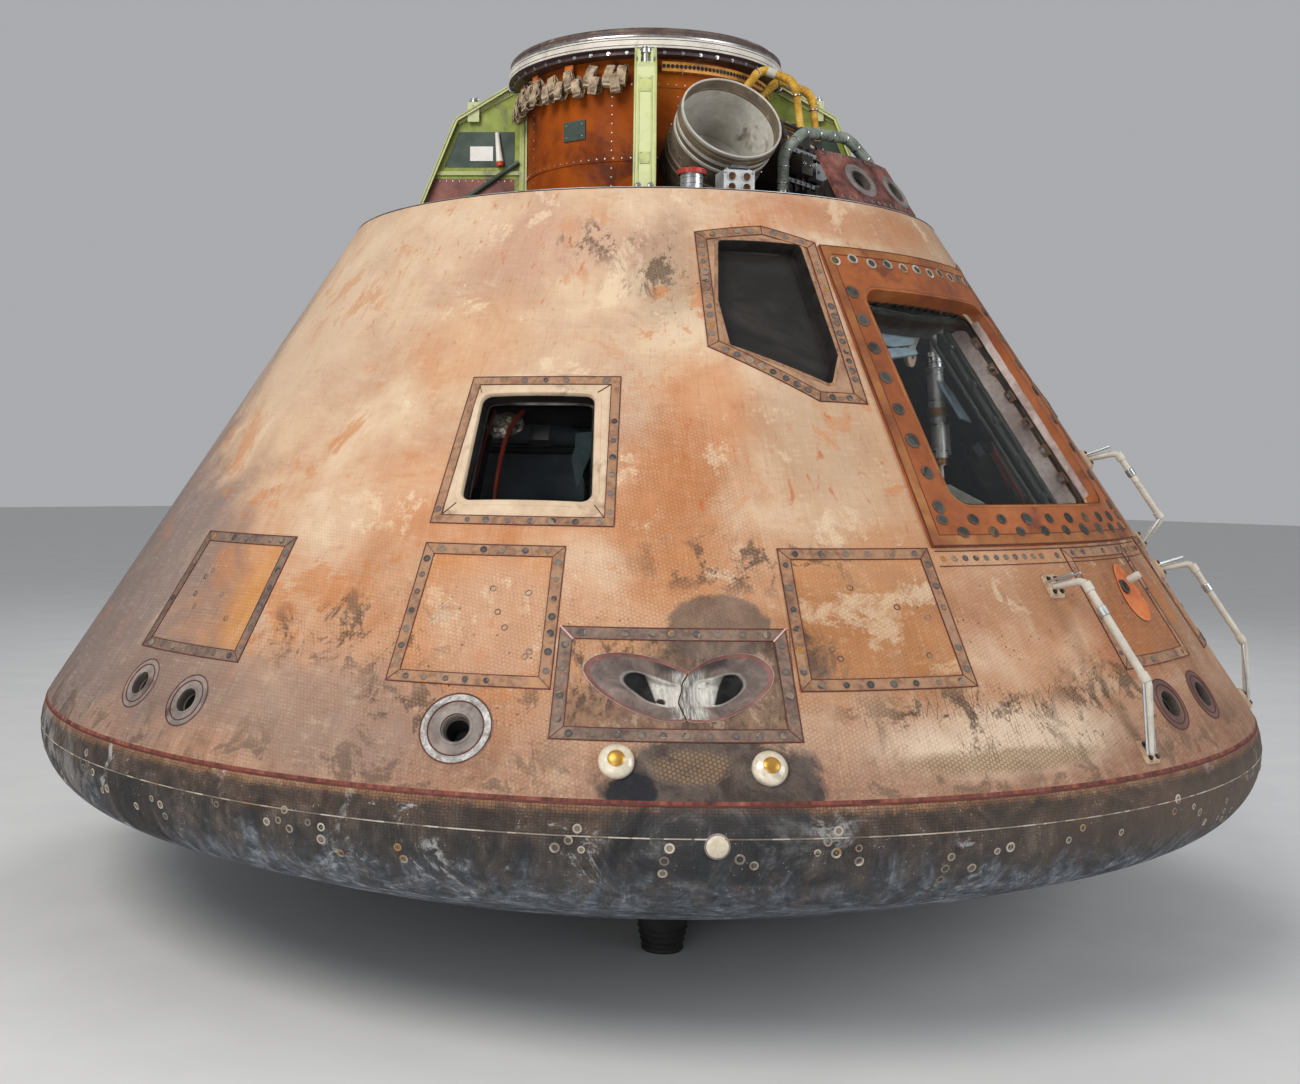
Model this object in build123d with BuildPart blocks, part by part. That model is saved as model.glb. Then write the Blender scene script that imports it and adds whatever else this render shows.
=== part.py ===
from build123d import *
from math import sin, cos, tan, radians, sqrt, atan2, degrees
import os

os.makedirs("parts", exist_ok=True)

# ---------------------------------------------------------------- frame
# Millimetres. +Z up along the capsule's axis, origin on the floor under the
# dome's pole. Azimuth 0 looks at the side hatch and is the -Y direction;
# azimuth grows towards +X. Heights named *_h are above the dome's pole.
POLE_Z = 15.0                 # pole above the floor, set by the rubber pads

# ---------------------------------------------------------------- mould line
MAX_R = 1955.8                # largest radius of the capsule
CORNER_R = 195.58             # radius of the rounded shoulder
DOME_R = 4693.92              # radius of the heat shield's dome
CONE_DEG = 33.0               # half angle of the crew cone
WALL = 145.0                  # crew wall, outer skin to cabin lining
SHIELD_T = 60.0               # heat shield thickness
SEAM_LOW_H = 631.0            # top of the heat shield
SEAM_HIGH_H = 640.0           # bottom of the crew shell
RIM_H = 2121.6                # top edge of the crew shell
FLOOR_LOW_H = 571.0           # underside of the cabin floor
RIM_INNER_R = 1762.0          # inner radius of the heat shield's rim

ca, sa, ta = cos(radians(CONE_DEG)), sin(radians(CONE_DEG)), tan(radians(CONE_DEG))
TORUS_R = MAX_R - CORNER_R
TORUS_H = DOME_R - sqrt((DOME_R - CORNER_R) ** 2 - TORUS_R ** 2)
TAN_R = TORUS_R + CORNER_R * ca           # cone meets shoulder
TAN_H = TORUS_H + CORNER_R * sa
DOME_TAN_R = TORUS_R * DOME_R / (DOME_R - CORNER_R)
DOME_TAN_H = DOME_R - sqrt(DOME_R ** 2 - DOME_TAN_R ** 2)


def cone_r(h):
    return TAN_R - (h - TAN_H) * ta


def dome_h(r, depth=0.0):
    return DOME_R - sqrt((DOME_R - depth) ** 2 - r ** 2)


def shoulder_r(h):
    return TORUS_R + sqrt(CORNER_R ** 2 - (h - TORUS_H) ** 2)


def meridian(az):
    """Plane through the axis: local x is radius, local y is height above the pole."""
    a = radians(az)
    return Plane(origin=(0, 0, POLE_Z), x_dir=(sin(a), -cos(a), 0), z_dir=(-cos(a), -sin(a), 0))


def skin_point(az, h, out=0.0):
    a = radians(az)
    r = cone_r(h) + out * ca
    return Vector(r * sin(a), -r * cos(a), POLE_Z + h + out * sa)


def skin_plane(az, h, out=0.0):
    """Plane lying on the cone: local x runs around it, y up its slope, z outward."""
    a = radians(az)
    return Plane(origin=skin_point(az, h, out), x_dir=(cos(a), sin(a), 0),
                 z_dir=(ca * sin(a), -ca * cos(a), sa))


def on_plane(plane, az, h):
    p = plane.to_local_coords(skin_point(az, h))
    return (p.X, p.Y)


def deck_plane(az, r, h):
    """Plane on the forward deck: local x radial, local y around, z up."""
    a = radians(az)
    return Plane(origin=(r * sin(a), -r * cos(a), POLE_Z + h), x_dir=(sin(a), -cos(a), 0), z_dir=(0, 0, 1))


def slab(h0, h1, top, bottom):
    """Section of a panel in the skin between two heights, from 'top' outside
    the skin to 'bottom' below it, with ends square to the skin."""
    return [(cone_r(h0) + top * ca, h0 + top * sa), (cone_r(h1) + top * ca, h1 + top * sa),
            (cone_r(h1) - bottom * ca, h1 - bottom * sa), (cone_r(h0) - bottom * ca, h0 - bottom * sa)]


SIDES = (-1, 1)               # port is -1 (towards -X), starboard is +1

# Small round antenna windows on the heat shield's shoulder, every 90 degrees.
ANTENNA_R = 27.5
ANTENNA_AZ = -40.0
ANTENNA_H = 549.0
with BuildPart() as antenna_discs:
    for k in range(4):
        a = radians(ANTENNA_AZ + 90 * k)
        face = Plane(origin=((MAX_R - 14) * sin(a), -(MAX_R - 14) * cos(a), POLE_Z + ANTENNA_H),
                     x_dir=(cos(a), sin(a), 0), z_dir=(sin(a), -cos(a), 0))
        with BuildSketch(face):
            Circle(ANTENNA_R)
        extrude(amount=14)
antenna_discs.part.label = "antenna_discs"

with BuildPart() as antenna_sockets:
    for k in range(4):
        a = radians(ANTENNA_AZ + 90 * k)
        face = Plane(origin=((MAX_R - 14) * sin(a), -(MAX_R - 14) * cos(a), POLE_Z + ANTENNA_H),
                     x_dir=(cos(a), sin(a), 0), z_dir=(sin(a), -cos(a), 0))
        with BuildSketch(face):
            Circle(ANTENNA_R)
        extrude(amount=30)

# ---------------------------------------------------------------- heat shield
with BuildPart() as aft_heat_shield:
    with BuildSketch(meridian(90)):
        with BuildLine():
            t = radians(14)
            mid = (TORUS_R + CORNER_R * cos(-t), TORUS_H + CORNER_R * sin(-t))
            half = DOME_TAN_R / 2
            inner_r = 1700.0
            ThreePointArc((0, 0), (half, dome_h(half)), (DOME_TAN_R, DOME_TAN_H))
            ThreePointArc((DOME_TAN_R, DOME_TAN_H), mid, (shoulder_r(SEAM_LOW_H), SEAM_LOW_H))
            Polyline((shoulder_r(SEAM_LOW_H), SEAM_LOW_H), (RIM_INNER_R, SEAM_LOW_H),
                     (RIM_INNER_R, FLOOR_LOW_H), (inner_r, FLOOR_LOW_H),
                     (inner_r, dome_h(inner_r, SHIELD_T)))
            ThreePointArc((inner_r, dome_h(inner_r, SHIELD_T)),
                          (inner_r / 2, dome_h(inner_r / 2, SHIELD_T)), (0, SHIELD_T))
            Line((0, SHIELD_T), (0, 0))
        make_face()
    revolve(axis=Axis.Z)
    add(antenna_sockets.part, mode=Mode.SUBTRACT)
aft_heat_shield.part.label = "aft_heat_shield"

with BuildPart() as seam_seal:
    with BuildSketch(meridian(90)):
        with BuildLine():
            Polyline((RIM_INNER_R + 3, SEAM_LOW_H), (shoulder_r(SEAM_LOW_H), SEAM_LOW_H),
                     (shoulder_r(SEAM_HIGH_H), SEAM_HIGH_H), (RIM_INNER_R + 3, SEAM_HIGH_H), close=True)
        make_face()
    revolve(axis=Axis.Z)
seam_seal.part.label = "seam_seal"

with BuildPart() as cabin_floor:
    with BuildSketch(Plane.XY.offset(POLE_Z + FLOOR_LOW_H)):
        Circle(RIM_INNER_R)
    extrude(amount=SEAM_LOW_H - FLOOR_LOW_H)
cabin_floor.part.label = "cabin_floor"

# Four tapered rubber pads hold the dome clear of the floor.
PAD_RING_R = 940.0
PAD_TOP_R = 80.0
PAD_FOOT_R = 55.0
PAD_FIRST_AZ = -40.0
with BuildPart() as support_pads:
    for k in range(4):
        a = radians(PAD_FIRST_AZ + 90 * k)
        base = Plane(origin=(PAD_RING_R * sin(a), -PAD_RING_R * cos(a), 0), z_dir=(0, 0, 1))
        with BuildSketch(base):
            Circle(PAD_FOOT_R)
        with BuildSketch(base.offset(130)):
            Circle(PAD_TOP_R)
        loft()
    with BuildSketch(meridian(90)):
        with BuildLine():
            ThreePointArc((0, 0), (700, dome_h(700)), (1400, dome_h(1400)))
            Polyline((1400, dome_h(1400)), (1400, 600), (0, 600), (0, 0))
        make_face()
    revolve(axis=Axis.Z, mode=Mode.SUBTRACT)
support_pads.part.label = "support_pads"

# ---------------------------------------------------------------- windows
# Corners as (azimuth, height) on the port side; starboard mirrors them.
RENDEZVOUS_OUTER = [(-37.7, 1988), (-27.3, 2014), (-18.95, 1974), (-19.9, 1517), (-25.7, 1521), (-37.5, 1660)]
RENDEZVOUS_GLASS = [(-34.3, 1966), (-21.6, 1964), (-21.55, 1649), (-23.6, 1567), (-34.8, 1667), (-35.5, 1791)]
SIDE_OUTER = [(-64.15, 1206), (-47.25, 1206), (-47.25, 1578), (-64.15, 1578)]
SIDE_GLASS = [(-61.9, 1262), (-49.3, 1262), (-49.9, 1533), (-62.6, 1533)]
WINDOW_FRAME_T = 40.0
WINDOW_GLASS_T = 12.0
RENDEZVOUS_MID = (-28.0, 1780.0)
SIDE_MID = (-55.7, 1395.0)
WINDOW_ROUND = 28.0


def outline(plane, corners, side):
    pts = [on_plane(plane, -side * az, h) for az, h in corners]
    return pts if side < 0 else pts[::-1]


with BuildPart() as rendezvous_window_frames:
    for s in SIDES:
        pl = skin_plane(-s * RENDEZVOUS_MID[0], RENDEZVOUS_MID[1])
        with BuildSketch(pl.offset(6)):
            with BuildLine():
                Polyline(*outline(pl, RENDEZVOUS_OUTER, s), close=True)
            make_face()
            fillet(vertices(), radius=12)
            with BuildLine():
                Polyline(*outline(pl, RENDEZVOUS_GLASS, s), close=True)
            make_face(mode=Mode.SUBTRACT)
        extrude(amount=-(WINDOW_FRAME_T + 6))
    # trim the outside to the cone
    with BuildSketch(meridian(90)):
        with BuildLine():
            Polyline((cone_r(1300), 1300), (cone_r(2200), 2200), (cone_r(2200) + 300, 2200),
                     (cone_r(1300) + 300, 1300), close=True)
        make_face()
    revolve(axis=Axis.Z, mode=Mode.SUBTRACT)
rendezvous_window_frames.part.label = "rendezvous_window_frames"

with BuildPart() as rendezvous_window_glass:
    for s in SIDES:
        pl = skin_plane(-s * RENDEZVOUS_MID[0], RENDEZVOUS_MID[1])
        with BuildSketch(pl.offset(-45)):
            with BuildLine():
                Polyline(*outline(pl, RENDEZVOUS_GLASS, s), close=True)
            make_face()
        extrude(amount=-WINDOW_GLASS_T)
rendezvous_window_glass.part.label = "rendezvous_window_glass"

with BuildPart() as side_window_frames:
    for s in SIDES:
        pl = skin_plane(-s * SIDE_MID[0], SIDE_MID[1])
        with BuildSketch(pl.offset(20)):
            with BuildLine():
                Polyline(*outline(pl, SIDE_OUTER, s), close=True)
            make_face()
            fillet(vertices(), radius=14)
        extrude(amount=-(WINDOW_FRAME_T + 40))
        with BuildSketch(pl.offset(20)):
            with BuildLine():
                Polyline(*outline(pl, SIDE_GLASS, s), close=True)
            make_face()
            fillet(vertices(), radius=WINDOW_ROUND)
        extrude(amount=-(WINDOW_FRAME_T + 60), mode=Mode.SUBTRACT)
    with BuildSketch(meridian(90)):
        with BuildLine():
            Polyline((cone_r(1000), 1000), (cone_r(1800), 1800), (cone_r(1800) + 300, 1800),
                     (cone_r(1000) + 300, 1000), close=True)
        make_face()
    revolve(axis=Axis.Z, mode=Mode.SUBTRACT)
side_window_frames.part.label = "side_window_frames"

with BuildPart() as side_window_glass:
    for s in SIDES:
        pl = skin_plane(-s * SIDE_MID[0], SIDE_MID[1])
        with BuildSketch(pl.offset(-40)):
            with BuildLine():
                Polyline(*outline(pl, SIDE_GLASS, s), close=True)
            make_face()
            fillet(vertices(), radius=WINDOW_ROUND)
        extrude(amount=-WINDOW_GLASS_T)
side_window_glass.part.label = "side_window_glass"

# ---------------------------------------------------------------- skin panels
# name, from azimuth, to azimuth, from height, to height
PANELS = [
    ("panel_a", -92.7, -78.2, 855, 1160),
    ("panel_b", -63.9, -51.25, 850, 1160),
    ("panel_c", -33.45, -19.2, 852, 1161),
]
PANEL_D = ("panel_d", -2.2, 11.8, 857, 1153)
PANEL_T = 30.0
with BuildPart() as access_panels:
    for name, az0, az1, h0, h1 in PANELS:
        for s in SIDES:
            lo, hi = (az0, az1) if s < 0 else (-az1, -az0)
            with BuildSketch(meridian(lo)):
                with BuildLine():
                    Polyline(*slab(h0, h1, 0, PANEL_T), close=True)
                make_face()
            revolve(axis=Axis.Z, revolution_arc=hi - lo)
    with BuildSketch(meridian(PANEL_D[1])):
        with BuildLine():
            Polyline(*slab(PANEL_D[3], PANEL_D[4], 0, PANEL_T), close=True)
        make_face()
    revolve(axis=Axis.Z, revolution_arc=PANEL_D[2] - PANEL_D[1])
access_panels.part.label = "access_panels"

# Twin slanted roll nozzles share one panel on each side.
ROLL_MID = (-41.3, 862.0)
ROLL_PANEL = (-51.05, -33.8, 751.5, 984.0)
ROLL_PANEL_T = 36.0
ROLL_THROAT_R = 24.0
ROLL_SHELL_T = 5.0
ROLL_DEPTH = 72.0             # throat below the skin
ROLL_GAP = 18.0               # throat offset from the panel's middle
ROLL_DROP = 26.0              # throat below the panel's middle
ROLL_RISE = 18.0              # each nozzle's lean also rises by this much
# twin (-1 is the one further from the hatch), lean off the skin's normal, length, mouth radius
ON_AXIS = (Align.CENTER, Align.CENTER, Align.MIN)
ROLL_NOZZLES = [(-1, 49.0, 222.0, 86.0), (1, 46.0, 190.0, 72.0)]


def roll_axis(side, twin, lean):
    """Plane at a nozzle's throat, local z out along the nozzle."""
    base = skin_plane(-side * ROLL_MID[0] if side > 0 else ROLL_MID[0], ROLL_MID[1])
    t, rise = radians(lean), radians(ROLL_RISE)
    away = twin if side < 0 else -twin
    sideways = base.x_dir * (away * cos(rise)) + base.y_dir * sin(rise)
    out = base.z_dir * cos(t) + sideways * sin(t)
    start = base.origin + base.x_dir * (away * ROLL_GAP) - base.y_dir * ROLL_DROP - base.z_dir * ROLL_DEPTH
    return Plane(origin=start, x_dir=base.y_dir, z_dir=out)


roll_cones = []
for s in SIDES:
    base = skin_plane(-s * ROLL_MID[0] if s > 0 else ROLL_MID[0], ROLL_MID[1])
    lo, hi = (ROLL_PANEL[0], ROLL_PANEL[1]) if s < 0 else (-ROLL_PANEL[1], -ROLL_PANEL[0])
    for twin, lean, length, mouth in ROLL_NOZZLES:
        away = twin if s < 0 else -twin
        # the room that one nozzle may fill: under the skin, on its own side of the panel's middle
        with BuildPart() as one:
            with BuildSketch(meridian(lo)):
                with BuildLine():
                    Polyline((1300, 650), (cone_r(650), 650), (cone_r(1080), 1080), (1300, 1080), close=True)
                make_face()
            revolve(axis=Axis.Z, revolution_arc=hi - lo)
            with BuildSketch(Plane(origin=base.origin - base.x_dir * (away * 200.5), x_dir=base.x_dir, z_dir=base.y_dir)):
                Rectangle(402, 900)
            extrude(amount=500, both=True, mode=Mode.SUBTRACT)
            with Locations(roll_axis(s, twin, lean)):
                Cone(ROLL_THROAT_R + ROLL_SHELL_T, mouth + ROLL_SHELL_T, length, align=ON_AXIS, mode=Mode.INTERSECT)
            with Locations(roll_axis(s, twin, lean).offset(6)):
                Cone(ROLL_THROAT_R, mouth, length, align=ON_AXIS, mode=Mode.SUBTRACT)
        roll_cones.append(one.part.solids().sort_by(SortBy.VOLUME)[-1])

with BuildPart() as roll_thruster_nozzles:
    add(roll_cones)
roll_thruster_nozzles.part.label = "roll_thruster_nozzles"

with BuildPart() as roll_thruster_panels:
    for s in SIDES:
        lo, hi = (ROLL_PANEL[0], ROLL_PANEL[1]) if s < 0 else (-ROLL_PANEL[1], -ROLL_PANEL[0])
        with BuildSketch(meridian(lo)):
            with BuildLine():
                Polyline(*slab(ROLL_PANEL[2], ROLL_PANEL[3], 0, ROLL_PANEL_T), close=True)
            make_face()
        revolve(axis=Axis.Z, revolution_arc=hi - lo)
    for s in SIDES:
        for twin, lean, length, mouth in ROLL_NOZZLES:
            with Locations(roll_axis(s, twin, lean)):
                Cone(ROLL_THROAT_R + ROLL_SHELL_T, mouth + ROLL_SHELL_T, length, align=ON_AXIS, mode=Mode.SUBTRACT)
roll_thruster_panels.part.label = "roll_thruster_panels"

# Round ports: azimuth, height, outer radius, hole radius, hole depth
YAW_PORTS = [(-89.2, 772, 70, 30, 75), (-81.9, 757, 70, 30, 75),
             (89.2, 772, 70, 30, 75), (81.9, 757, 70, 30, 75)]
PITCH_PORTS = [(1.5, 767, 70, 34, 75), (8.7, 767, 70, 34, 75)]
VENT_PORT = [(-57.6, 763, 60, 32, 75)]
DUMP_PORTS = [(-46.4, 712, 39, 9, 20), (-36.4, 702, 39, 9, 20)]
PORT_T = 90.0

with BuildPart() as yaw_thruster_nozzles:
    for az, h, ro, ri, depth in YAW_PORTS:
        pl = skin_plane(az, h)
        with BuildSketch(pl.offset(-1)):
            Circle(ro)
        extrude(amount=-PORT_T)
        with BuildSketch(pl.offset(-1)):
            Circle(ri)
        extrude(amount=-depth, mode=Mode.SUBTRACT)
yaw_thruster_nozzles.part.label = "yaw_thruster_nozzles"

with BuildPart() as pitch_thruster_nozzles:
    for az, h, ro, ri, depth in PITCH_PORTS:
        pl = skin_plane(az, h)
        with BuildSketch(pl.offset(-1)):
            Circle(ro)
        extrude(amount=-PORT_T)
        with BuildSketch(pl.offset(-1)):
            Circle(ri)
        extrude(amount=-depth, mode=Mode.SUBTRACT)
pitch_thruster_nozzles.part.label = "pitch_thruster_nozzles"

with BuildPart() as steam_vent:
    for az, h, ro, ri, depth in VENT_PORT:
        pl = skin_plane(az, h)
        with BuildSketch(pl.offset(-1)):
            Circle(ro)
        extrude(amount=-PORT_T)
        with BuildSketch(pl.offset(-1)):
            Circle(ri)
        extrude(amount=-depth, mode=Mode.SUBTRACT)
steam_vent.part.label = "steam_vent"

with BuildPart() as dump_nozzles:
    for az, h, ro, ri, depth in DUMP_PORTS:
        pl = skin_plane(az, h)
        with BuildSketch(pl.offset(5)):
            Circle(ro)
        extrude(amount=-30)
        with BuildSketch(pl.offset(5)):
            Circle(19)
        extrude(amount=12, taper=28)
dump_nozzles.part.label = "dump_nozzles"

# ---------------------------------------------------------------- side hatchway
HATCH_AZ = 18.75              # half width of the proud frame
HATCH_H = (1161.0, 1963.0)
WAY_AZ = 14.4                 # half width of the opening
WAY_H = (1257.0, 1841.0)
WAY_ROUND = 55.0
STEP_DEPTH = 78.0             # depth of the ledge that carries the cover
STEP_W = 24.0                 # ledge width
COVER_T = 12.0
COVER_GAP = 6.0
FRAME_PROUD = 9.0
FRAME_DEEP = 40.0
HATCH_MID_H = 1549.0
hatch_pl = skin_plane(0, HATCH_MID_H)
way_low, way_high = WAY_H
way_mid_low = on_plane(hatch_pl, 0, way_low)
way_mid_high = on_plane(hatch_pl, 0, way_high)
way_corner = [on_plane(hatch_pl, -WAY_AZ, way_low), on_plane(hatch_pl, WAY_AZ, way_low),
              on_plane(hatch_pl, WAY_AZ, way_high), on_plane(hatch_pl, -WAY_AZ, way_high)]

with BuildSketch(Plane.XY) as hatchway_outline:
    with BuildLine():
        ThreePointArc(way_corner[0], way_mid_low, way_corner[1])
        Line(way_corner[1], way_corner[2])
        ThreePointArc(way_corner[2], way_mid_high, way_corner[3])
        Line(way_corner[3], way_corner[0])
    make_face()
    fillet(hatchway_outline.vertices(), radius=WAY_ROUND)
way_face = hatchway_outline.sketch.faces()[0]

with BuildPart() as hatchway_tool:
    with BuildSketch(hatch_pl.offset(80)):
        add(way_face)
    extrude(amount=-(80 + STEP_DEPTH))
    with BuildSketch(hatch_pl.offset(-STEP_DEPTH + 10)):
        add(way_face)
        offset(amount=-STEP_W, mode=Mode.REPLACE)
    extrude(amount=-260)

with BuildPart() as hatch_frame:
    with BuildSketch(meridian(-HATCH_AZ)):
        with BuildLine():
            Polyline(*slab(HATCH_H[0], HATCH_H[1], FRAME_PROUD, FRAME_DEEP), close=True)
        make_face()
    revolve(axis=Axis.Z, revolution_arc=2 * HATCH_AZ)
    add(hatchway_tool.part, mode=Mode.SUBTRACT)
hatch_frame.part.label = "hatch_frame"

with BuildPart() as hatch_cover:
    with BuildSketch(hatch_pl.offset(-STEP_DEPTH + 0.5)):
        add(way_face)
        offset(amount=-COVER_GAP, mode=Mode.REPLACE)
    extrude(amount=COVER_T)
hatch_cover.part.label = "hatch_cover"

# ---------------------------------------------------------------- crew shell
# name, from azimuth, to azimuth
QUADRANTS = [
    ("crew_shell_front", -43.5, 43.5),
    ("crew_shell_starboard", 43.5, 136.5),
    ("crew_shell_rear", 136.5, 223.5),
    ("crew_shell_port", 223.5, 316.5),
]


def shell_section():
    seam_r = shoulder_r(SEAM_HIGH_H)
    lean = radians(CONE_DEG - 3)
    return seam_r, (TORUS_R + CORNER_R * cos(lean), TORUS_H + CORNER_R * sin(lean))


WALL_R = WALL / ca            # wall thickness measured along the radius
BALANCE_AZ = 12.0
BALANCE_LOW = (1084.0, 1297.0)     # radius and height of the rod's eye
BALANCE_TOP = (1041.0, 1777.0)      # radius and height of the cap's pivot
FITTED = [rendezvous_window_frames, rendezvous_window_glass, side_window_frames,
          side_window_glass, access_panels, roll_thruster_panels, yaw_thruster_nozzles,
          pitch_thruster_nozzles, steam_vent, dump_nozzles, hatch_frame]

with BuildPart() as shell_openings:
    add(hatchway_tool.part)
    for s in SIDES:
        pl = skin_plane(-s * RENDEZVOUS_MID[0], RENDEZVOUS_MID[1])
        with BuildSketch(pl.offset(60)):
            with BuildLine():
                Polyline(*outline(pl, RENDEZVOUS_GLASS, s), close=True)
            make_face()
        extrude(amount=-300)
        pl = skin_plane(-s * SIDE_MID[0], SIDE_MID[1])
        with BuildSketch(pl.offset(60)):
            with BuildLine():
                Polyline(*outline(pl, SIDE_GLASS, s), close=True)
            make_face()
            fillet(vertices(), radius=WINDOW_ROUND)
        extrude(amount=-330)
        for twin, lean, length, mouth in ROLL_NOZZLES:
            with Locations(roll_axis(s, twin, lean)):
                Cone(ROLL_THROAT_R + ROLL_SHELL_T, mouth + ROLL_SHELL_T, length, align=ON_AXIS)
    # notch in the lining above the hatchway for the counterbalance's pivot
    with BuildSketch(meridian(BALANCE_AZ)):
        with BuildLine():
            Polyline((cone_r(1725) - 90 / ca, 1725), (cone_r(1900) - 90 / ca, 1900),
                     (cone_r(1900) - 260 / ca, 1900), (cone_r(1725) - 260 / ca, 1725), close=True)
        make_face()
    extrude(amount=48, both=True)
    for az, h, ro, ri, depth in YAW_PORTS + PITCH_PORTS + VENT_PORT:
        with BuildSketch(skin_plane(az, h, 20)):
            Circle(ro)
        extrude(amount=-(PORT_T + 21))
    for az, h, ro, ri, depth in DUMP_PORTS:
        with BuildSketch(skin_plane(az, h, 20)):
            Circle(ro)
        extrude(amount=-45)

crew_shell = []
for name, az0, az1 in QUADRANTS:
    with BuildPart() as piece:
        with BuildSketch(meridian(az0)):
            with BuildLine():
                seam_r, bend = shell_section()
                ThreePointArc((seam_r, SEAM_HIGH_H), bend, (TAN_R, TAN_H))
                Polyline((TAN_R, TAN_H), (cone_r(RIM_H), RIM_H), (cone_r(RIM_H) - WALL_R, RIM_H),
                         (cone_r(SEAM_HIGH_H) - WALL_R, SEAM_HIGH_H), (seam_r, SEAM_HIGH_H))
            make_face()
        revolve(axis=Axis.Z, revolution_arc=az1 - az0)
        add(shell_openings.part, mode=Mode.SUBTRACT)
        for fitted in FITTED:
            add(fitted.part, mode=Mode.SUBTRACT)
    section = piece.part.solids().sort_by(SortBy.VOLUME)[-1]
    section.label = name
    crew_shell.append((name, section))

# ---------------------------------------------------------------- handrails
# azimuth and height of the upper foot, azimuth and height of the lower foot
RAILS = [(-6.4, 1061, -5.2, 672), (26.0, 1392, 26.3, 1140), (26.5, 1061, 27.2, 672)]
RAIL_R = 11.0
RAIL_OUT = 88.0
RAIL_LEAN = 26.0
with BuildPart() as hatch_handrails:
    for az_top, h_top, az_low, h_low in RAILS:
        span = (h_top - h_low)
        up = h_top - RAIL_LEAN
        low = h_low + (0.32 * span if span > 300 else RAIL_LEAN)
        path_pts = [skin_point(az_top, h_top, -20), skin_point(az_top, up, RAIL_OUT),
                    skin_point(az_low, low, RAIL_OUT), skin_point(az_low, h_low, -20)]
        with BuildLine() as rail_path:
            FilletPolyline(*path_pts, radius=26)
        with BuildSketch(Plane(origin=path_pts[0], z_dir=path_pts[1] - path_pts[0])):
            Circle(RAIL_R)
        sweep(path=rail_path.wires()[0])
    # the feet end on the skin
    with BuildSketch(meridian(90)):
        with BuildLine():
            Polyline((0, 500), (shoulder_r(SEAM_HIGH_H), 600), (cone_r(660), 660), (cone_r(1700), 1700),
                     (0, 1700), close=True)
        make_face()
    revolve(axis=Axis.Z, mode=Mode.SUBTRACT)
hatch_handrails.part.label = "hatch_handrails"

# ---------------------------------------------------------------- forward deck
DECK_T = 60.0
TUNNEL_R = 400.0              # outside of the tunnel wall
TUNNEL_BORE = 376.0
RING_BORE = 372.0
RING_R = 461.0
BAND_R = 466.0
RING_H = (2640.0, 2720.0)
LEDGE_R = 335.0
LEDGE_T = 24.0
with BuildPart() as forward_deck:
    with BuildSketch(meridian(90)):
        with BuildLine():
            Polyline((TUNNEL_R, RIM_H - DECK_T), (cone_r(RIM_H - DECK_T) - WALL_R, RIM_H - DECK_T),
                     (cone_r(RIM_H) - WALL_R, RIM_H), (TUNNEL_R, RIM_H), close=True)
        make_face()
    revolve(axis=Axis.Z)
forward_deck.part.label = "forward_deck"

with BuildPart() as docking_tunnel:
    with BuildSketch(meridian(90)):
        with BuildLine():
            base_h = RIM_H - DECK_T
            Polyline((LEDGE_R, base_h), (TUNNEL_R, base_h), (TUNNEL_R, RING_H[0]),
                     (TUNNEL_BORE, RING_H[0]), (TUNNEL_BORE, base_h + LEDGE_T),
                     (LEDGE_R, base_h + LEDGE_T), close=True)
        make_face()
    revolve(axis=Axis.Z)
docking_tunnel.part.label = "docking_tunnel"

with BuildPart() as docking_ring:
    with BuildSketch(meridian(90)):
        with BuildLine():
            Polyline((RING_BORE, RING_H[0]), (448, RING_H[0]), (448, 2655), (BAND_R, 2655),
                     (BAND_R, 2687), (RING_R, 2687), (RING_R, RING_H[1] - 6), (RING_R - 6, RING_H[1]),
                     (RING_BORE, RING_H[1]), close=True)
        make_face()
    revolve(axis=Axis.Z)
docking_ring.part.label = "docking_ring"

# Forward hatch: a disc on the ledge at the foot of the tunnel.
FWD_HATCH_R = 365.0
FWD_HATCH_T = 34.0
with BuildPart() as forward_hatch:
    base_h = POLE_Z + RIM_H - DECK_T + LEDGE_T + 0.5
    with BuildSketch(Plane.XY.offset(base_h)):
        Circle(FWD_HATCH_R)
    extrude(amount=FWD_HATCH_T)
    with BuildSketch(Plane.XY.offset(base_h + FWD_HATCH_T)):
        Circle(250)
        Circle(205, mode=Mode.SUBTRACT)
    extrude(amount=14)
    with BuildSketch(Plane.XY.offset(base_h + FWD_HATCH_T)):
        Circle(70)
    extrude(amount=30)
    with BuildSketch(Plane.XY.offset(base_h + FWD_HATCH_T + 30)):
        Rectangle(190, 26)
    extrude(amount=18)
forward_hatch.part.label = "forward_hatch"

# A steel pin stands in the head of each gusset.
GUSSET_AZ = (-45.0, 45.0, 135.0, 225.0)
PIN_R = 13.0
with BuildPart() as gusset_head_pins:
    for az in GUSSET_AZ:
        with BuildSketch(deck_plane(az, 588.0, 2536.0)):
            Circle(PIN_R)
        extrude(amount=84)
gusset_head_pins.part.label = "gusset_head_pins"

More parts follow.
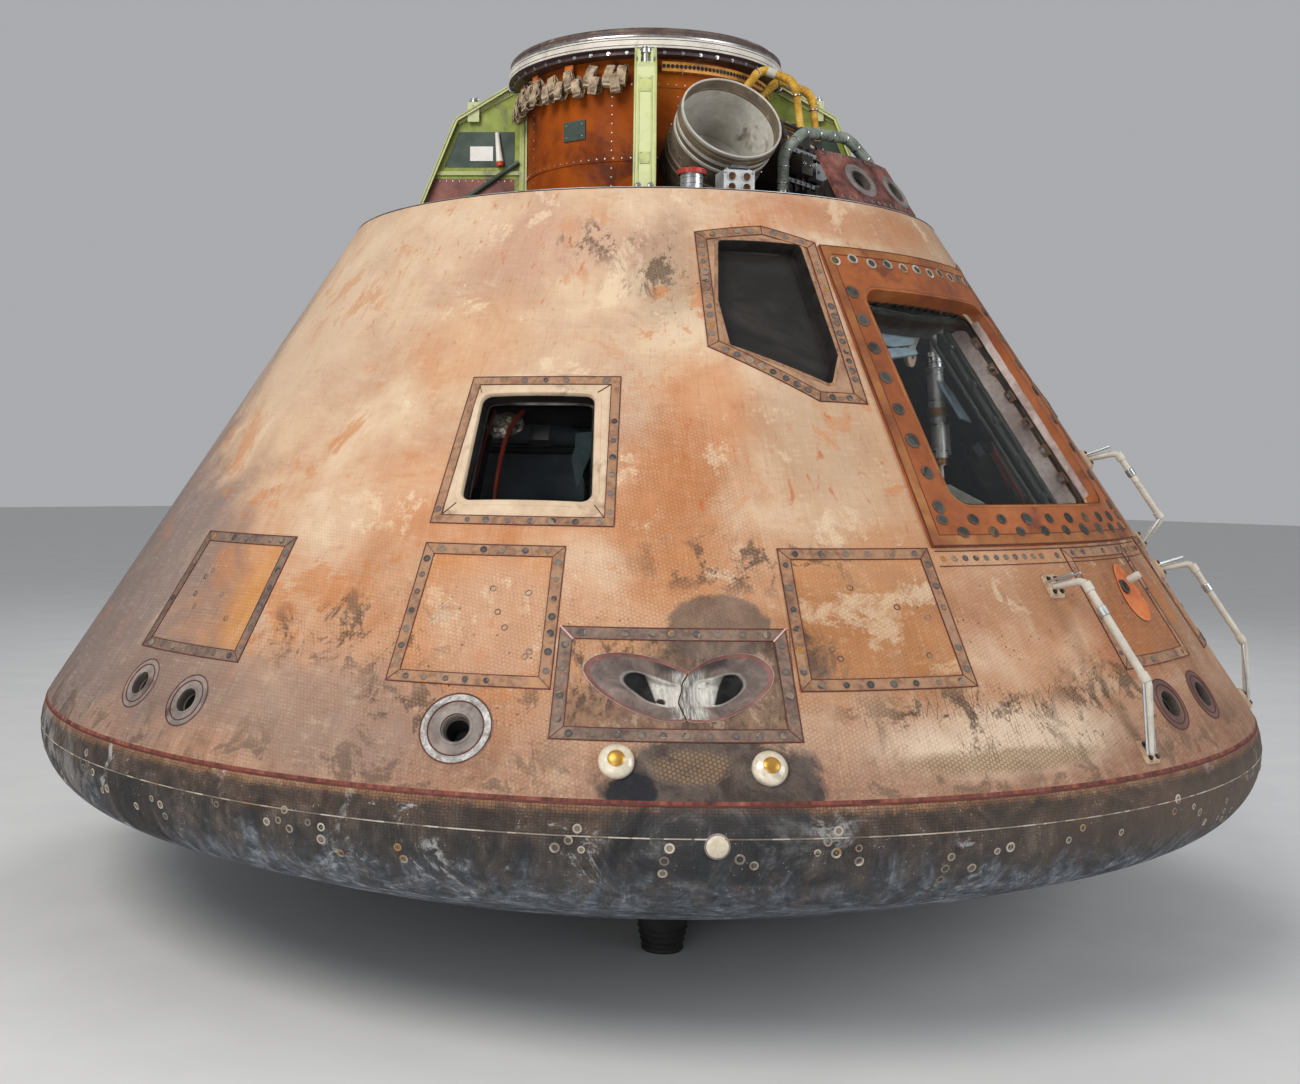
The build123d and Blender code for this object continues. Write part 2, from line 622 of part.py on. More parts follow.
# Four green gussets brace the tunnel: a T section of outer flange and web.
GUSSET_W = 62.0
GUSSET_WEB = 8.0
GUSSET_FLANGE = 7.0
GUSSET_EDGE = [(823.0, RIM_H), (649.0, 2545.0), (469.0, 2652.0)]
with BuildPart() as tunnel_gussets:
    for az in GUSSET_AZ:
        pl = meridian(az)
        # outer flange
        (r0, h0), (r1, h1), (r2, h2) = GUSSET_EDGE
        f = GUSSET_FLANGE
        with BuildSketch(pl):
            with BuildLine():
                Polyline((r0, h0), (r1, h1), (r2, h2), (r2 - 2, h2 - f - 2), (r1 - f, h1 - f),
                         (r0 - f - 2, h0), close=True)
            make_face()
        extrude(amount=GUSSET_W / 2, both=True)
        # web
        with BuildSketch(pl):
            with BuildLine():
                Polyline((r0 - 3, h0), (r1 - 3, h1 - 3), (r2 - 1, h2 - 6), (451, 2638),
                         (TUNNEL_R + 1, 2638), (TUNNEL_R + 1, h0), close=True)
            make_face()
        extrude(amount=GUSSET_WEB / 2, both=True)
        # inner flange along the tunnel
        with BuildSketch(pl):
            with BuildLine():
                Polyline((TUNNEL_R + 1.5, h0), (TUNNEL_R + 1.5, 2600), (TUNNEL_R + 9, 2600),
                         (TUNNEL_R + 9, h0), close=True)
            make_face()
        extrude(amount=GUSSET_W / 2 - 6, both=True)
        # foot plate on the deck
        with BuildSketch(pl):
            with BuildLine():
                Polyline((TUNNEL_R + 1.5, h0), (TUNNEL_R + 1.5, h0 + 8), (r0 - 6, h0 + 8), (r0 - 3, h0), close=True)
            make_face()
        extrude(amount=GUSSET_W / 2 - 6, both=True)
    # keep the wide flanges off the round tunnel wall
    with BuildSketch(Plane.XY.offset(POLE_Z + RIM_H - 1)):
        Circle(TUNNEL_R)
    extrude(amount=700, mode=Mode.SUBTRACT)
    add(gusset_head_pins.part, mode=Mode.SUBTRACT)
tunnel_gussets.part.label = "tunnel_gussets"

# Loops of strap tied under the ring between two gussets.
LOOP_AZ = [-127, -119, -111, -103, -95, -87, -79, -71, -63]
with BuildPart() as strap_loops:
    for k, az in enumerate(LOOP_AZ):
        drop = 14 * (k % 2)
        pl = deck_plane(az, TUNNEL_R + 27, 2566.0 - drop)
        with BuildSketch(pl):
            RectangleRounded(44, 40, 10)
        extrude(amount=58)
strap_loops.part.label = "strap_loops"

# Perforated strip round the tunnel in the front bay.
with BuildPart() as perforated_strip:
    with BuildSketch(meridian(-38)):
        with BuildLine():
            Polyline((TUNNEL_R, 2596), (TUNNEL_R + 24, 2596), (TUNNEL_R + 24, 2626),
                     (TUNNEL_R + 20, 2626), (TUNNEL_R + 20, 2600), (TUNNEL_R, 2600), close=True)
        make_face()
    revolve(axis=Axis.Z, revolution_arc=76)
perforated_strip.part.label = "perforated_strip"

# ---------------------------------------------------------------- front bay
# Open mortar can, leaning out over the hatch side.
CAN_MOUTH = (-316.0, -676.0, POLE_Z + 2380.0)
CAN_AXIS = (-0.356, -0.780, 0.515)
CAN_R = 154.0
CAN_FOOT_R = 146.0
CAN_L = 236.0
CAN_WALL = 4.0
can_mouth = Plane(origin=CAN_MOUTH, z_dir=CAN_AXIS)
with BuildPart() as mortar_can:
    with BuildSketch(can_mouth.offset(-CAN_L)):
        Circle(CAN_FOOT_R)
    with BuildSketch(can_mouth):
        Circle(CAN_R)
    loft()
    with BuildSketch(can_mouth.offset(-CAN_L + 10)):
        Circle(CAN_FOOT_R - CAN_WALL)
    with BuildSketch(can_mouth.offset(1)):
        Circle(CAN_R - CAN_WALL)
    loft(mode=Mode.SUBTRACT)
    with BuildSketch(can_mouth.offset(-34)):
        Circle(CAN_R + 3)
        Circle(CAN_R - 3, mode=Mode.SUBTRACT)
    extrude(amount=14)
mortar_can.part.label = "mortar_can"

# Cradle under the can.
with BuildPart() as can_cradle:
    with BuildSketch(deck_plane(-25.0, 560.0, RIM_H)):
        Rectangle(150, 130)
    extrude(amount=110)
    with BuildSketch(can_mouth.offset(-CAN_L - 4)):
        Circle(CAN_FOOT_R + 6)
    with BuildSketch(can_mouth.offset(3)):
        Circle(CAN_R + 5)
    loft(mode=Mode.SUBTRACT)
can_cradle.part.label = "can_cradle"

with BuildPart() as small_canister:
    with BuildSketch(deck_plane(-36.6, 905.0, RIM_H)):
        Circle(32)
    extrude(amount=52)
    with BuildSketch(deck_plane(-36.6, 905.0, RIM_H + 52)):
        Circle(39)
    extrude(amount=14)
small_canister.part.label = "small_canister"

BLOCK_AZ, BLOCK_R = -28.5, 900.0
with BuildPart() as connector_block:
    with BuildSketch(deck_plane(BLOCK_AZ, BLOCK_R, RIM_H)):
        Rectangle(70, 92)
    extrude(amount=64)
    front = Plane(origin=deck_plane(BLOCK_AZ, BLOCK_R + 35, RIM_H + 32).origin,
                  x_dir=(cos(radians(BLOCK_AZ)), sin(radians(BLOCK_AZ)), 0),
                  z_dir=(sin(radians(BLOCK_AZ)), -cos(radians(BLOCK_AZ)), 0))
    with BuildSketch(front):
        with GridLocations(44, 30, 2, 2):
            Circle(11)
    extrude(amount=-22, mode=Mode.SUBTRACT)
connector_block.part.label = "connector_block"

# Red panel on the line of the cone, with the two forward pitch nozzles.
PITCH_PANEL = (-9.4, 14.6, 2124.0, 2288.0)
PITCH_PANEL_T = 14.0
PITCH_HOLES = [(-1.0, 2206.0), (11.0, 2200.0)]
PITCH_HOLE_R = 34.0
PITCH_RING_R = 62.0
with BuildPart() as pitch_engine_panel:
    with BuildSketch(meridian(PITCH_PANEL[0])):
        with BuildLine():
            (a0, b0), (a1, b1), (a2, b2), (a3, b3) = slab(PITCH_PANEL[2] + 8, PITCH_PANEL[3], 0, PITCH_PANEL_T)
            Polyline((a0, b0), (a1, b1), (a2, b2), (a3, b3), (a3, RIM_H), (a3 + 12, RIM_H), close=True)
        make_face()
    revolve(axis=Axis.Z, revolution_arc=PITCH_PANEL[1] - PITCH_PANEL[0])
    for az, h in PITCH_HOLES:
        with BuildSketch(skin_plane(az, h, 30)):
            Circle(PITCH_RING_R - 6)
        extrude(amount=-90, mode=Mode.SUBTRACT)
pitch_engine_panel.part.label = "pitch_engine_panel"

with BuildPart() as forward_pitch_engines:
    for az, h in PITCH_HOLES:
        pl = skin_plane(az, h)
        with BuildSketch(pl.offset(-2)):
            Circle(PITCH_RING_R - 6)
        extrude(amount=-50)
        with BuildSketch(pl.offset(-52)):
            Circle(74)
        extrude(amount=-96)
        with BuildSketch(pl.offset(-2)):
            Circle(PITCH_HOLE_R)
        extrude(amount=-80, mode=Mode.SUBTRACT)
    with BuildSketch(Plane.XY.offset(POLE_Z + RIM_H)):
        Circle(1500)
    extrude(amount=-500, mode=Mode.SUBTRACT)
forward_pitch_engines.part.label = "forward_pitch_engines"

# Recovery gear housing between the tunnel and the pitch engines.
with BuildPart() as recovery_gear_housing:
    with BuildSketch(deck_plane(10.0, 540.0, RIM_H)):
        RectangleRounded(190, 300, 20)
    extrude(amount=250)
    with BuildSketch(deck_plane(10.0, 540.0, RIM_H + 250)):
        RectangleRounded(150, 240, 20)
    extrude(amount=34)
recovery_gear_housing.part.label = "recovery_gear_housing"

# Bent grey hose over the pitch engines and two yellow hoses off the tunnel:
# points as (x, y, height above the pole).
GREY_HOSE = [(-150, -735, 2110), (-148, -735, 2298), (-70, -745, 2368), (90, -790, 2368), (186, -812, 2292), (186, -806, 2198)]
GREY_HOSE_R = 17.0
with BuildPart() as coolant_hose:
    pts = [Vector(x, y, POLE_Z + h) for x, y, h in GREY_HOSE]
    with BuildLine() as grey_path:
        FilletPolyline(*pts, radius=[60, 60, 80, 60])
    with BuildSketch(Plane(origin=pts[0], z_dir=pts[1] - pts[0])):
        Circle(GREY_HOSE_R)
    sweep(path=grey_path.wires()[0])
    add(forward_pitch_engines.part, mode=Mode.SUBTRACT)
    with BuildSketch(Plane.XY.offset(POLE_Z + RIM_H)):
        Circle(1500)
    extrude(amount=-200, mode=Mode.SUBTRACT)
coolant_hose.part.label = "coolant_hose"

# outer radius points of each hose, ends on the tunnel wall and on the housing
YELLOW_HOSES = [
    [(-20, -390, 2545), (-5, -452, 2560), (40, -480, 2632), (118, -560, 2590), (128, -585, 2390)],
    [(70, -385, 2545), (88, -448, 2560), (130, -480, 2612), (205, -560, 2566), (212, -585, 2360)],
]
YELLOW_HOSE_R = 11.0
with BuildPart() as yellow_hoses:
    for hose in YELLOW_HOSES:
        pts = [Vector(x, y, POLE_Z + h) for x, y, h in hose]
        with BuildLine() as yellow_path:
            FilletPolyline(*pts, radius=[22, 38, 60])
        with BuildSketch(Plane(origin=pts[0], z_dir=pts[1] - pts[0])):
            Circle(YELLOW_HOSE_R)
        sweep(path=yellow_path.wires()[0])
    with BuildSketch(Plane.XY.offset(POLE_Z + RIM_H)):
        Circle(TUNNEL_R)
    extrude(amount=600, mode=Mode.SUBTRACT)
    add(recovery_gear_housing.part, mode=Mode.SUBTRACT)
yellow_hoses.part.label = "yellow_hoses"

# ---------------------------------------------------------------- cabin
# Three couches side by side, backs level, legs raised towards the rear.
COUCH_X = (-610.0, 0.0, 610.0)
COUCH_W = 520.0
COUCH_T = 70.0
COUCH_H = 985.0               # underside of the back pad
COUCH_PTS = [(-1080, 0), (-150, 0), (-80, 0), (-60, 430), (330, 430), (330, 500), (-130, 500), (-150, 70), (-1080, 70)]
with BuildPart() as crew_couches:
    for x in COUCH_X:
        # local x is +Y, local y is +Z
        with BuildSketch(Plane(origin=(x - COUCH_W / 2, 0, POLE_Z + COUCH_H), x_dir=(0, 1, 0), z_dir=(1, 0, 0))):
            with BuildLine():
                Polyline(*COUCH_PTS, close=True)
            make_face()
        extrude(amount=COUCH_W)
crew_couches.part.label = "crew_couches"

FRAME_X = (-305.0, 305.0)
with BuildPart() as couch_frame:
    for x in FRAME_X:
        with BuildSketch(Plane(origin=(x - 22, 0, POLE_Z + COUCH_H - 40), x_dir=(0, 1, 0), z_dir=(1, 0, 0))):
            with Locations((-490, 0)):
                Rectangle(1180, 40)
        extrude(amount=44)
        for y in (-900.0, -80.0):
            with BuildSketch(Plane.XY.offset(POLE_Z + SEAM_LOW_H)):
                with Locations((x, y)):
                    Circle(24)
            extrude(amount=COUCH_H - 60 - SEAM_LOW_H)
    for y in (-900.0, -80.0):
        with BuildSketch(Plane(origin=(-820, y, POLE_Z + COUCH_H - 20), x_dir=(0, 1, 0), z_dir=(1, 0, 0))):
            Rectangle(44, 40)
        extrude(amount=1640)
couch_frame.part.label = "couch_frame"

PANEL_W = 1240.0
with BuildPart() as instrument_panel:
    with BuildSketch(Plane(origin=(-PANEL_W / 2, 0, POLE_Z), x_dir=(0, 1, 0), z_dir=(1, 0, 0))):
        with BuildLine():
            Polyline((-330, 1700), (250, 1830), (250, 1930), (-330, 1800), close=True)
        make_face()
    extrude(amount=PANEL_W)
    for x in (-430.0, 430.0):
        with BuildSketch(Plane(origin=(x - 30, 0, POLE_Z), x_dir=(0, 1, 0), z_dir=(1, 0, 0))):
            with BuildLine():
                Polyline((-60, 1820), (120, 1880), (120, RIM_H - DECK_T), (-60, RIM_H - DECK_T), close=True)
            make_face()
        extrude(amount=60)
instrument_panel.part.label = "instrument_panel"

with BuildPart() as equipment_bay:
    with BuildSketch(Plane(origin=(-560, 0, POLE_Z), x_dir=(0, 1, 0), z_dir=(1, 0, 0))):
        with BuildLine():
            Polyline((760, SEAM_LOW_H), (1480, SEAM_LOW_H), (1050, 1330), (820, 1330), close=True)
        make_face()
    extrude(amount=1120)
equipment_bay.part.label = "equipment_bay"

# Counterbalance of the side hatch: an upright gas cylinder inside the cover,
# hung from the wall above the hatchway and footed on the wall below it.
balance_pl = meridian(BALANCE_AZ)
balance_low = balance_pl.from_local_coords(Vector(*BALANCE_LOW))
balance_top = balance_pl.from_local_coords(Vector(*BALANCE_TOP))
balance_dir = (balance_top - balance_low).normalized()


def along(distance):
    return Plane(origin=balance_low + balance_dir * distance, x_dir=balance_pl.z_dir, z_dir=balance_dir)


# start along the rod, length, radius
BALANCE_STEPS = [(14, 56, 10), (69, 24, 21), (92, 126, 24), (217, 26, 29), (242, 122, 25),
                 (363, 46, 33), (408, 60, 12)]
with BuildPart() as counterbalance_cylinder:
    for start, length, r in BALANCE_STEPS:
        with BuildSketch(along(start)):
            Circle(r)
        extrude(amount=length)
    with BuildSketch(along(100)):
        with Locations((-37, 0)):
            Rectangle(32, 32)
    extrude(amount=96)
counterbalance_cylinder.part.label = "counterbalance_cylinder"

ARM_T = 16.0
with BuildPart() as hinge_arm:
    # upper arm, from the pivot to the wall above the hatchway
    with BuildSketch(balance_pl):
        with BuildLine():
            Polyline((BALANCE_TOP[0] - 32, BALANCE_TOP[1] - 14), (BALANCE_TOP[0] + 32, BALANCE_TOP[1] - 14),
                     (BALANCE_TOP[0] + 30, BALANCE_TOP[1] + 20), (BALANCE_TOP[0] - 39, 1900),
                     (BALANCE_TOP[0] - 80, 1900), (BALANCE_TOP[0] - 50, BALANCE_TOP[1] + 20), close=True)
        make_face()
    extrude(amount=ARM_T / 2, both=True)
    # lower arm, from the rod's eye to the wall below the hatchway
    with BuildSketch(balance_pl):
        with BuildLine():
            Polyline((BALANCE_LOW[0] - 20, BALANCE_LOW[1] + 12), (BALANCE_LOW[0] + 20, BALANCE_LOW[1] + 12),
                     (BALANCE_LOW[0] + 400, 1120), (BALANCE_LOW[0] + 400, 1050),
                     (BALANCE_LOW[0] - 20, BALANCE_LOW[1] - 24), close=True)
        make_face()
    extrude(amount=ARM_T / 2, both=True)
    # crank, from the pivot to its stop disc; local y points down
    crank = Plane(origin=balance_top, x_dir=balance_pl.z_dir, z_dir=balance_pl.x_dir)
    with BuildSketch(crank.offset(-40)):
        with BuildLine():
            Polyline((-10, -16), (20, -22), (128, 66), (112, 104), (84, 86), close=True)
        make_face()
    extrude(amount=14)
    # the lower arm ends on the lining
    with BuildSketch(meridian(90)):
        with BuildLine():
            Polyline((cone_r(1000) - WALL_R, 1000), (cone_r(1500) - WALL_R, 1500),
                     (cone_r(1500) + 300, 1500), (cone_r(1000) + 300, 1000), close=True)
        make_face()
    revolve(axis=Axis.Z, mode=Mode.SUBTRACT)
    for start, length, r in BALANCE_STEPS:
        with BuildSketch(along(start)):
            Circle(r)
        extrude(amount=length, mode=Mode.SUBTRACT)
hinge_arm.part.label = "hinge_arm"

# ---------------------------------------------------------------- output
ALL = [aft_heat_shield, seam_seal, cabin_floor, support_pads, rendezvous_window_frames,
       rendezvous_window_glass, side_window_frames, side_window_glass, access_panels,
       roll_thruster_nozzles, roll_thruster_panels, yaw_thruster_nozzles,
       pitch_thruster_nozzles, steam_vent, dump_nozzles, antenna_discs, hatch_frame,
       hatch_cover, hatch_handrails, forward_deck, docking_tunnel, docking_ring,
       forward_hatch, tunnel_gussets, gusset_head_pins, strap_loops, perforated_strip,
       mortar_can, can_cradle, small_canister, connector_block, pitch_engine_panel,
       forward_pitch_engines, recovery_gear_housing, coolant_hose, yellow_hoses,
       crew_couches, couch_frame, instrument_panel, equipment_bay,
       counterbalance_cylinder, hinge_arm]
for item in ALL:
    export_step(item.part, f"parts/{item.part.label}.step")
for name, shape in crew_shell:
    export_step(shape, f"parts/{name}.step")
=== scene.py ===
import bpy, bmesh, math, random
from mathutils import Vector, Matrix


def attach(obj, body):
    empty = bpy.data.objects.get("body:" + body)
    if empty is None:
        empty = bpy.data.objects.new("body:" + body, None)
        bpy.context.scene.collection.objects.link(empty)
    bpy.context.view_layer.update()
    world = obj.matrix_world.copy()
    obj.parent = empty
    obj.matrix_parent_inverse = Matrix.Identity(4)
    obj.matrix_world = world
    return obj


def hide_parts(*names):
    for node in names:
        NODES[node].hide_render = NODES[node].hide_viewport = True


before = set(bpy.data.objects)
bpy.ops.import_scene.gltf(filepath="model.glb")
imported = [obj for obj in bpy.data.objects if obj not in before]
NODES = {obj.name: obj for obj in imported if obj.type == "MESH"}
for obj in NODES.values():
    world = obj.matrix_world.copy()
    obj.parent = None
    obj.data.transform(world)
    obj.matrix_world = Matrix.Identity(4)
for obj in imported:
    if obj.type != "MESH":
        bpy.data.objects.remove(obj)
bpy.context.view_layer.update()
CAPSULE, FWD = "capsule", "forward_hatch_body"

# ------------------------------------------------------------------ geometry of the mould line (metres)
POLE = 0.015
CA, SA, TA = math.cos(math.radians(33)), math.sin(math.radians(33)), math.tan(math.radians(33))
TAN_R, TAN_H = 1.924247, 0.660792
TORUS_R, TORUS_H, CORNER = 1.76022, 0.554272, 0.19558
DOME_R = 4.69392


def cone_r(h):
    return TAN_R - (h - TAN_H) * TA


def skin(az, h, out=0.0):
    """A point on the crew cone: azimuth in degrees, height above the pole, distance out along the normal."""
    a = math.radians(az)
    r = cone_r(h) + out * CA
    return Vector((r * math.sin(a), -r * math.cos(a), POLE + h + out * SA))


def skin_axes(az):
    """Tangent around the cone, tangent up the slope, outward normal."""
    a = math.radians(az)
    return (Vector((math.cos(a), math.sin(a), 0)), Vector((-SA * math.sin(a), SA * math.cos(a), CA)),
            Vector((CA * math.sin(a), -CA * math.cos(a), SA)))


def shield(az, t, out=0.0):
    """A point on the heat shield. t is the distance in metres down from the seam along the section."""
    a = math.radians(az)
    ang0 = math.asin((0.6357 - TORUS_H) / CORNER)
    ang = ang0 - t / CORNER
    low = -math.acos(TORUS_R / (DOME_R - CORNER))
    if ang >= low:
        r = TORUS_R + (CORNER + out) * math.cos(ang)
        z = TORUS_H + (CORNER + out) * math.sin(ang)
    else:
        rest = t - (ang0 - low) * CORNER
        p = math.asin(TORUS_R / (DOME_R - CORNER)) - rest / DOME_R
        r = (DOME_R + out) * math.sin(p)
        z = DOME_R - (DOME_R + out) * math.cos(p)
    return Vector((r * math.sin(a), -r * math.cos(a), POLE + z))


# ------------------------------------------------------------------ camera, lights, floor
CAM_TURN = math.radians(45.2)
PITCH, YAW, ROLL, FOCAL = -0.0391, -0.0622, 0.0125, 1412.24


def turned(x, y, z):
    return Vector((x * math.cos(CAM_TURN) + y * math.sin(CAM_TURN), -x * math.sin(CAM_TURN) + y * math.cos(CAM_TURN), z))


side = Vector((math.cos(YAW), -math.sin(YAW), 0))
ahead0 = Vector((math.sin(YAW), math.cos(YAW), 0))
ahead = ahead0 * math.cos(PITCH) + Vector((0, 0, 1)) * math.sin(PITCH)
over = ahead0 * -math.sin(PITCH) + Vector((0, 0, 1)) * math.cos(PITCH)
right = side * math.cos(ROLL) + over * math.sin(ROLL)
up = over * math.cos(ROLL) - side * math.sin(ROLL)
right, up, ahead = turned(*right), turned(*up), turned(*ahead)
cam_data = bpy.data.cameras.new("camera")
cam = bpy.data.objects.new("camera", cam_data)
bpy.context.scene.collection.objects.link(cam)
m = Matrix((right, up, -ahead)).transposed().to_4x4()
m.translation = turned(0, -4.9185, 1.34 + POLE)
cam.matrix_world = m
cam_data.sensor_width = 36.0
cam_data.lens = 36.0 * FOCAL / 1300.0
cam_data.shift_x = (650 - 550.29) / 1300.0
cam_data.shift_y = -(542 - 525.12) / 1300.0
cam_data.clip_start = 0.05
bpy.context.scene.camera = cam


def area_light(name, where, aim, size, power, color=(1, 1, 1)):
    d = bpy.data.lights.new(name, "AREA")
    d.shape = "DISK"
    d.size = size
    d.energy = power
    d.color = color
    o = bpy.data.objects.new(name, d)
    bpy.context.scene.collection.objects.link(o)
    o.location = where
    o.rotation_euler = (Vector(aim) - Vector(where)).to_track_quat("-Z", "Y").to_euler()
    return o


MID = Vector((0, 0, 1.3))
bpy.context.scene.view_settings.view_transform = "Standard"
area_light("key", turned(-3.2, -5.6, 6.2), MID, 4.0, 430, (1.0, 0.97, 0.93))
area_light("fill", turned(6.0, -4.0, 3.4), MID, 4.0, 190, (0.97, 0.98, 1.0))
area_light("back", turned(0.5, 6.5, 6.0), MID, 4.0, 190)
area_light("low", turned(-2.0, -6.0, 0.7), (0, 0, 0.7), 3.0, 70)

world = bpy.data.worlds.new("studio")
world.use_nodes = True
bg = world.node_tree.nodes["Background"]
bg.inputs[0].default_value = (0.80, 0.82, 0.85, 1)
bg.inputs[1].default_value = 0.50
bpy.context.scene.world = world


# ------------------------------------------------------------------ node helpers
def lin(hexcode, k=1.0):
    c = [int(hexcode[i:i + 2], 16) / 255 for i in (0, 2, 4)]
    c = [(v / 12.92 if v <= 0.04045 else ((v + 0.055) / 1.055) ** 2.4) * k for v in c]
    return (*c, 1.0)


class Mat:
    """A small builder for one material's nodes."""

    def __init__(self, name):
        self.mat = bpy.data.materials.new(name)
        self.mat.use_nodes = True
        self.t = self.mat.node_tree
        self.t.nodes.clear()
        self.out = self.t.nodes.new("ShaderNodeOutputMaterial")
        self.b = self.t.nodes.new("ShaderNodeBsdfPrincipled")
        self.t.links.new(self.b.outputs[0], self.out.inputs[0])
        self.coord = self.t.nodes.new("ShaderNodeTexCoord").outputs["Object"]
        self._xyz = None

    def put(self, sock, value):
        if isinstance(value, bpy.types.NodeSocket):
            self.t.links.new(value, sock)
        elif value is not None:
            sock.default_value = value

    def math(self, op, a, b=None, c=None, clamp=False):
        n = self.t.nodes.new("ShaderNodeMath")
        n.operation = op
        n.use_clamp = clamp
        for s, v in zip(n.inputs, (a, b, c)):
            self.put(s, v)
        return n.outputs[0]

    def vmath(self, op, a, b=None):
        n = self.t.nodes.new("ShaderNodeVectorMath")
        n.operation = op
        self.put(n.inputs[0], a)
        self.put(n.inputs[1], b)
        return n.outputs[0]

    def xyz(self):
        if self._xyz is None:
            n = self.t.nodes.new("ShaderNodeSeparateXYZ")
            self.put(n.inputs[0], self.coord)
            self._xyz = n.outputs
        return self._xyz

    def vec(self, x=0.0, y=0.0, z=0.0):
        n = self.t.nodes.new("ShaderNodeCombineXYZ")
        for s, v in zip(n.inputs, (x, y, z)):
            self.put(s, v)
        return n.outputs[0]

    def scaled(self, sx, sy, sz, vector=None):
        return self.vmath("MULTIPLY", vector or self.coord, (sx, sy, sz))

    def noise(self, scale=5.0, detail=4.0, rough=0.55, dist=0.0, vector=None, dims="3D"):
        n = self.t.nodes.new("ShaderNodeTexNoise")
        n.noise_dimensions = dims
        self.put(n.inputs["Vector"], vector or self.coord)
        n.inputs["Scale"].default_value = scale
        n.inputs["Detail"].default_value = detail
        n.inputs["Roughness"].default_value = rough
        n.inputs["Distortion"].default_value = dist
        return n.outputs["Fac"]

    def voronoi(self, scale=5.0, feature="F1", vector=None, dims="3D", rand=1.0, out="Distance", metric="EUCLIDEAN"):
        n = self.t.nodes.new("ShaderNodeTexVoronoi")
        n.voronoi_dimensions = dims
        n.feature = feature
        if feature not in ("DISTANCE_TO_EDGE", "N_SPHERE_RADIUS"):
            n.distance = metric
        self.put(n.inputs["Vector"], vector or self.coord)
        n.inputs["Scale"].default_value = scale
        n.inputs["Randomness"].default_value = rand
        return n.outputs[out]

    def span(self, v, a, b, lo=0.0, hi=1.0, smooth=True):
        n = self.t.nodes.new("ShaderNodeMapRange")
        n.interpolation_type = "SMOOTHSTEP" if smooth else "LINEAR"
        n.clamp = True
        self.put(n.inputs[0], v)
        for i, x in zip((1, 2, 3, 4), (a, b, lo, hi)):
            self.put(n.inputs[i], x)
        return n.outputs[0]

    def mix(self, fac, a, b, mode="MIX"):
        n = self.t.nodes.new("ShaderNodeMix")
        n.data_type = "RGBA"
        n.blend_type = mode
        n.clamp_factor = True
        self.put(n.inputs[0], fac)
        self.put(n.inputs[6], a)
        self.put(n.inputs[7], b)
        return n.outputs[2]

    def ramp(self, fac, stops):
        n = self.t.nodes.new("ShaderNodeValToRGB")
        self.put(n.inputs[0], fac)
        e = n.color_ramp.elements
        while len(e) < len(stops):
            e.new(0.5)
        for el, (p, c) in zip(e, stops):
            el.position = p
            el.color = c
        return n.outputs[0]

    def bump(self, height, strength=0.3, dist=0.002, normal=None):
        n = self.t.nodes.new("ShaderNodeBump")
        n.inputs["Strength"].default_value = strength
        n.inputs["Distance"].default_value = dist
        self.put(n.inputs["Height"], height)
        if normal is not None:
            self.put(n.inputs["Normal"], normal)
        return n.outputs[0]

    def base(self, color=None, rough=None, metal=None, normal=None, spec=None, coat=None, coat_rough=None,
             trans=None, ior=None, alpha=None, sheen=None):
        i = self.b.inputs
        self.put(i["Base Color"], color)
        self.put(i["Roughness"], rough)
        if metal is not None:
            i["Metallic"].default_value = metal
        if normal is not None:
            self.put(i["Normal"], normal)
        for key, v in (("Specular IOR Level", spec), ("Coat Weight", coat), ("Coat Roughness", coat_rough),
                       ("Transmission Weight", trans), ("IOR", ior), ("Alpha", alpha), ("Sheen Weight", sheen)):
            if v is not None:
                i[key].default_value = v
        return self.mat

    # the capsule's own coordinates: azimuth in degrees, height above the pole
    def azimuth(self):
        x, y, _ = self.xyz()
        return self.math("MULTIPLY", self.math("ARCTAN2", x, self.math("MULTIPLY", y, -1.0)), 180 / math.pi)

    def height(self):
        return self.math("SUBTRACT", self.xyz()[2], POLE)

    def blob(self, az, h, a0, h0, ra, rh, edge=0.35, rag=None, amount=0.5):
        """1 inside an ellipse in azimuth and height, with a soft edge that a noise makes ragged."""
        da = self.math("DIVIDE", self.math("SUBTRACT", az, a0), ra)
        dh = self.math("DIVIDE", self.math("SUBTRACT", h, h0), rh)
        d = self.math("SQRT", self.math("ADD", self.math("MULTIPLY", da, da), self.math("MULTIPLY", dh, dh)))
        if rag is not None:
            d = self.math("ADD", d, self.math("MULTIPLY", self.math("SUBTRACT", rag, 0.5), amount))
        return self.span(d, 1 - edge, 1 + edge, 1.0, 0.0)


# ------------------------------------------------------------------ mesh helpers
def unit(v):
    return v / v.length


class Fr:
    """A local frame: calling it with x, y, z gives a point."""

    def __init__(self, o, x, y, z):
        self.o, self.x, self.y, self.z = Vector(o), Vector(x), Vector(y), Vector(z)

    def __call__(self, x, y, z=0.0):
        return self.o + self.x * x + self.y * y + self.z * z

    def at(self, x, y, z=0.0):
        return Fr(self(x, y, z), self.x, self.y, self.z)


def skin_fr(az, h, out=0.0):
    return Fr(skin(az, h, out), *skin_axes(az))


def deck_fr(az, r, h):
    """Radial x, around y, up z."""
    a = math.radians(az)
    return Fr((r * math.sin(a), -r * math.cos(a), POLE + h), (math.sin(a), -math.cos(a), 0),
              (math.cos(a), math.sin(a), 0), (0, 0, 1))


def axis_fr(p, q, hint=(0, 0, 1)):
    z = unit(Vector(q) - Vector(p))
    x = Vector(hint).cross(z)
    if x.length < 1e-4:
        x = Vector((1, 0, 0)).cross(z)
    x = unit(x)
    return Fr(p, x, z.cross(x), z)


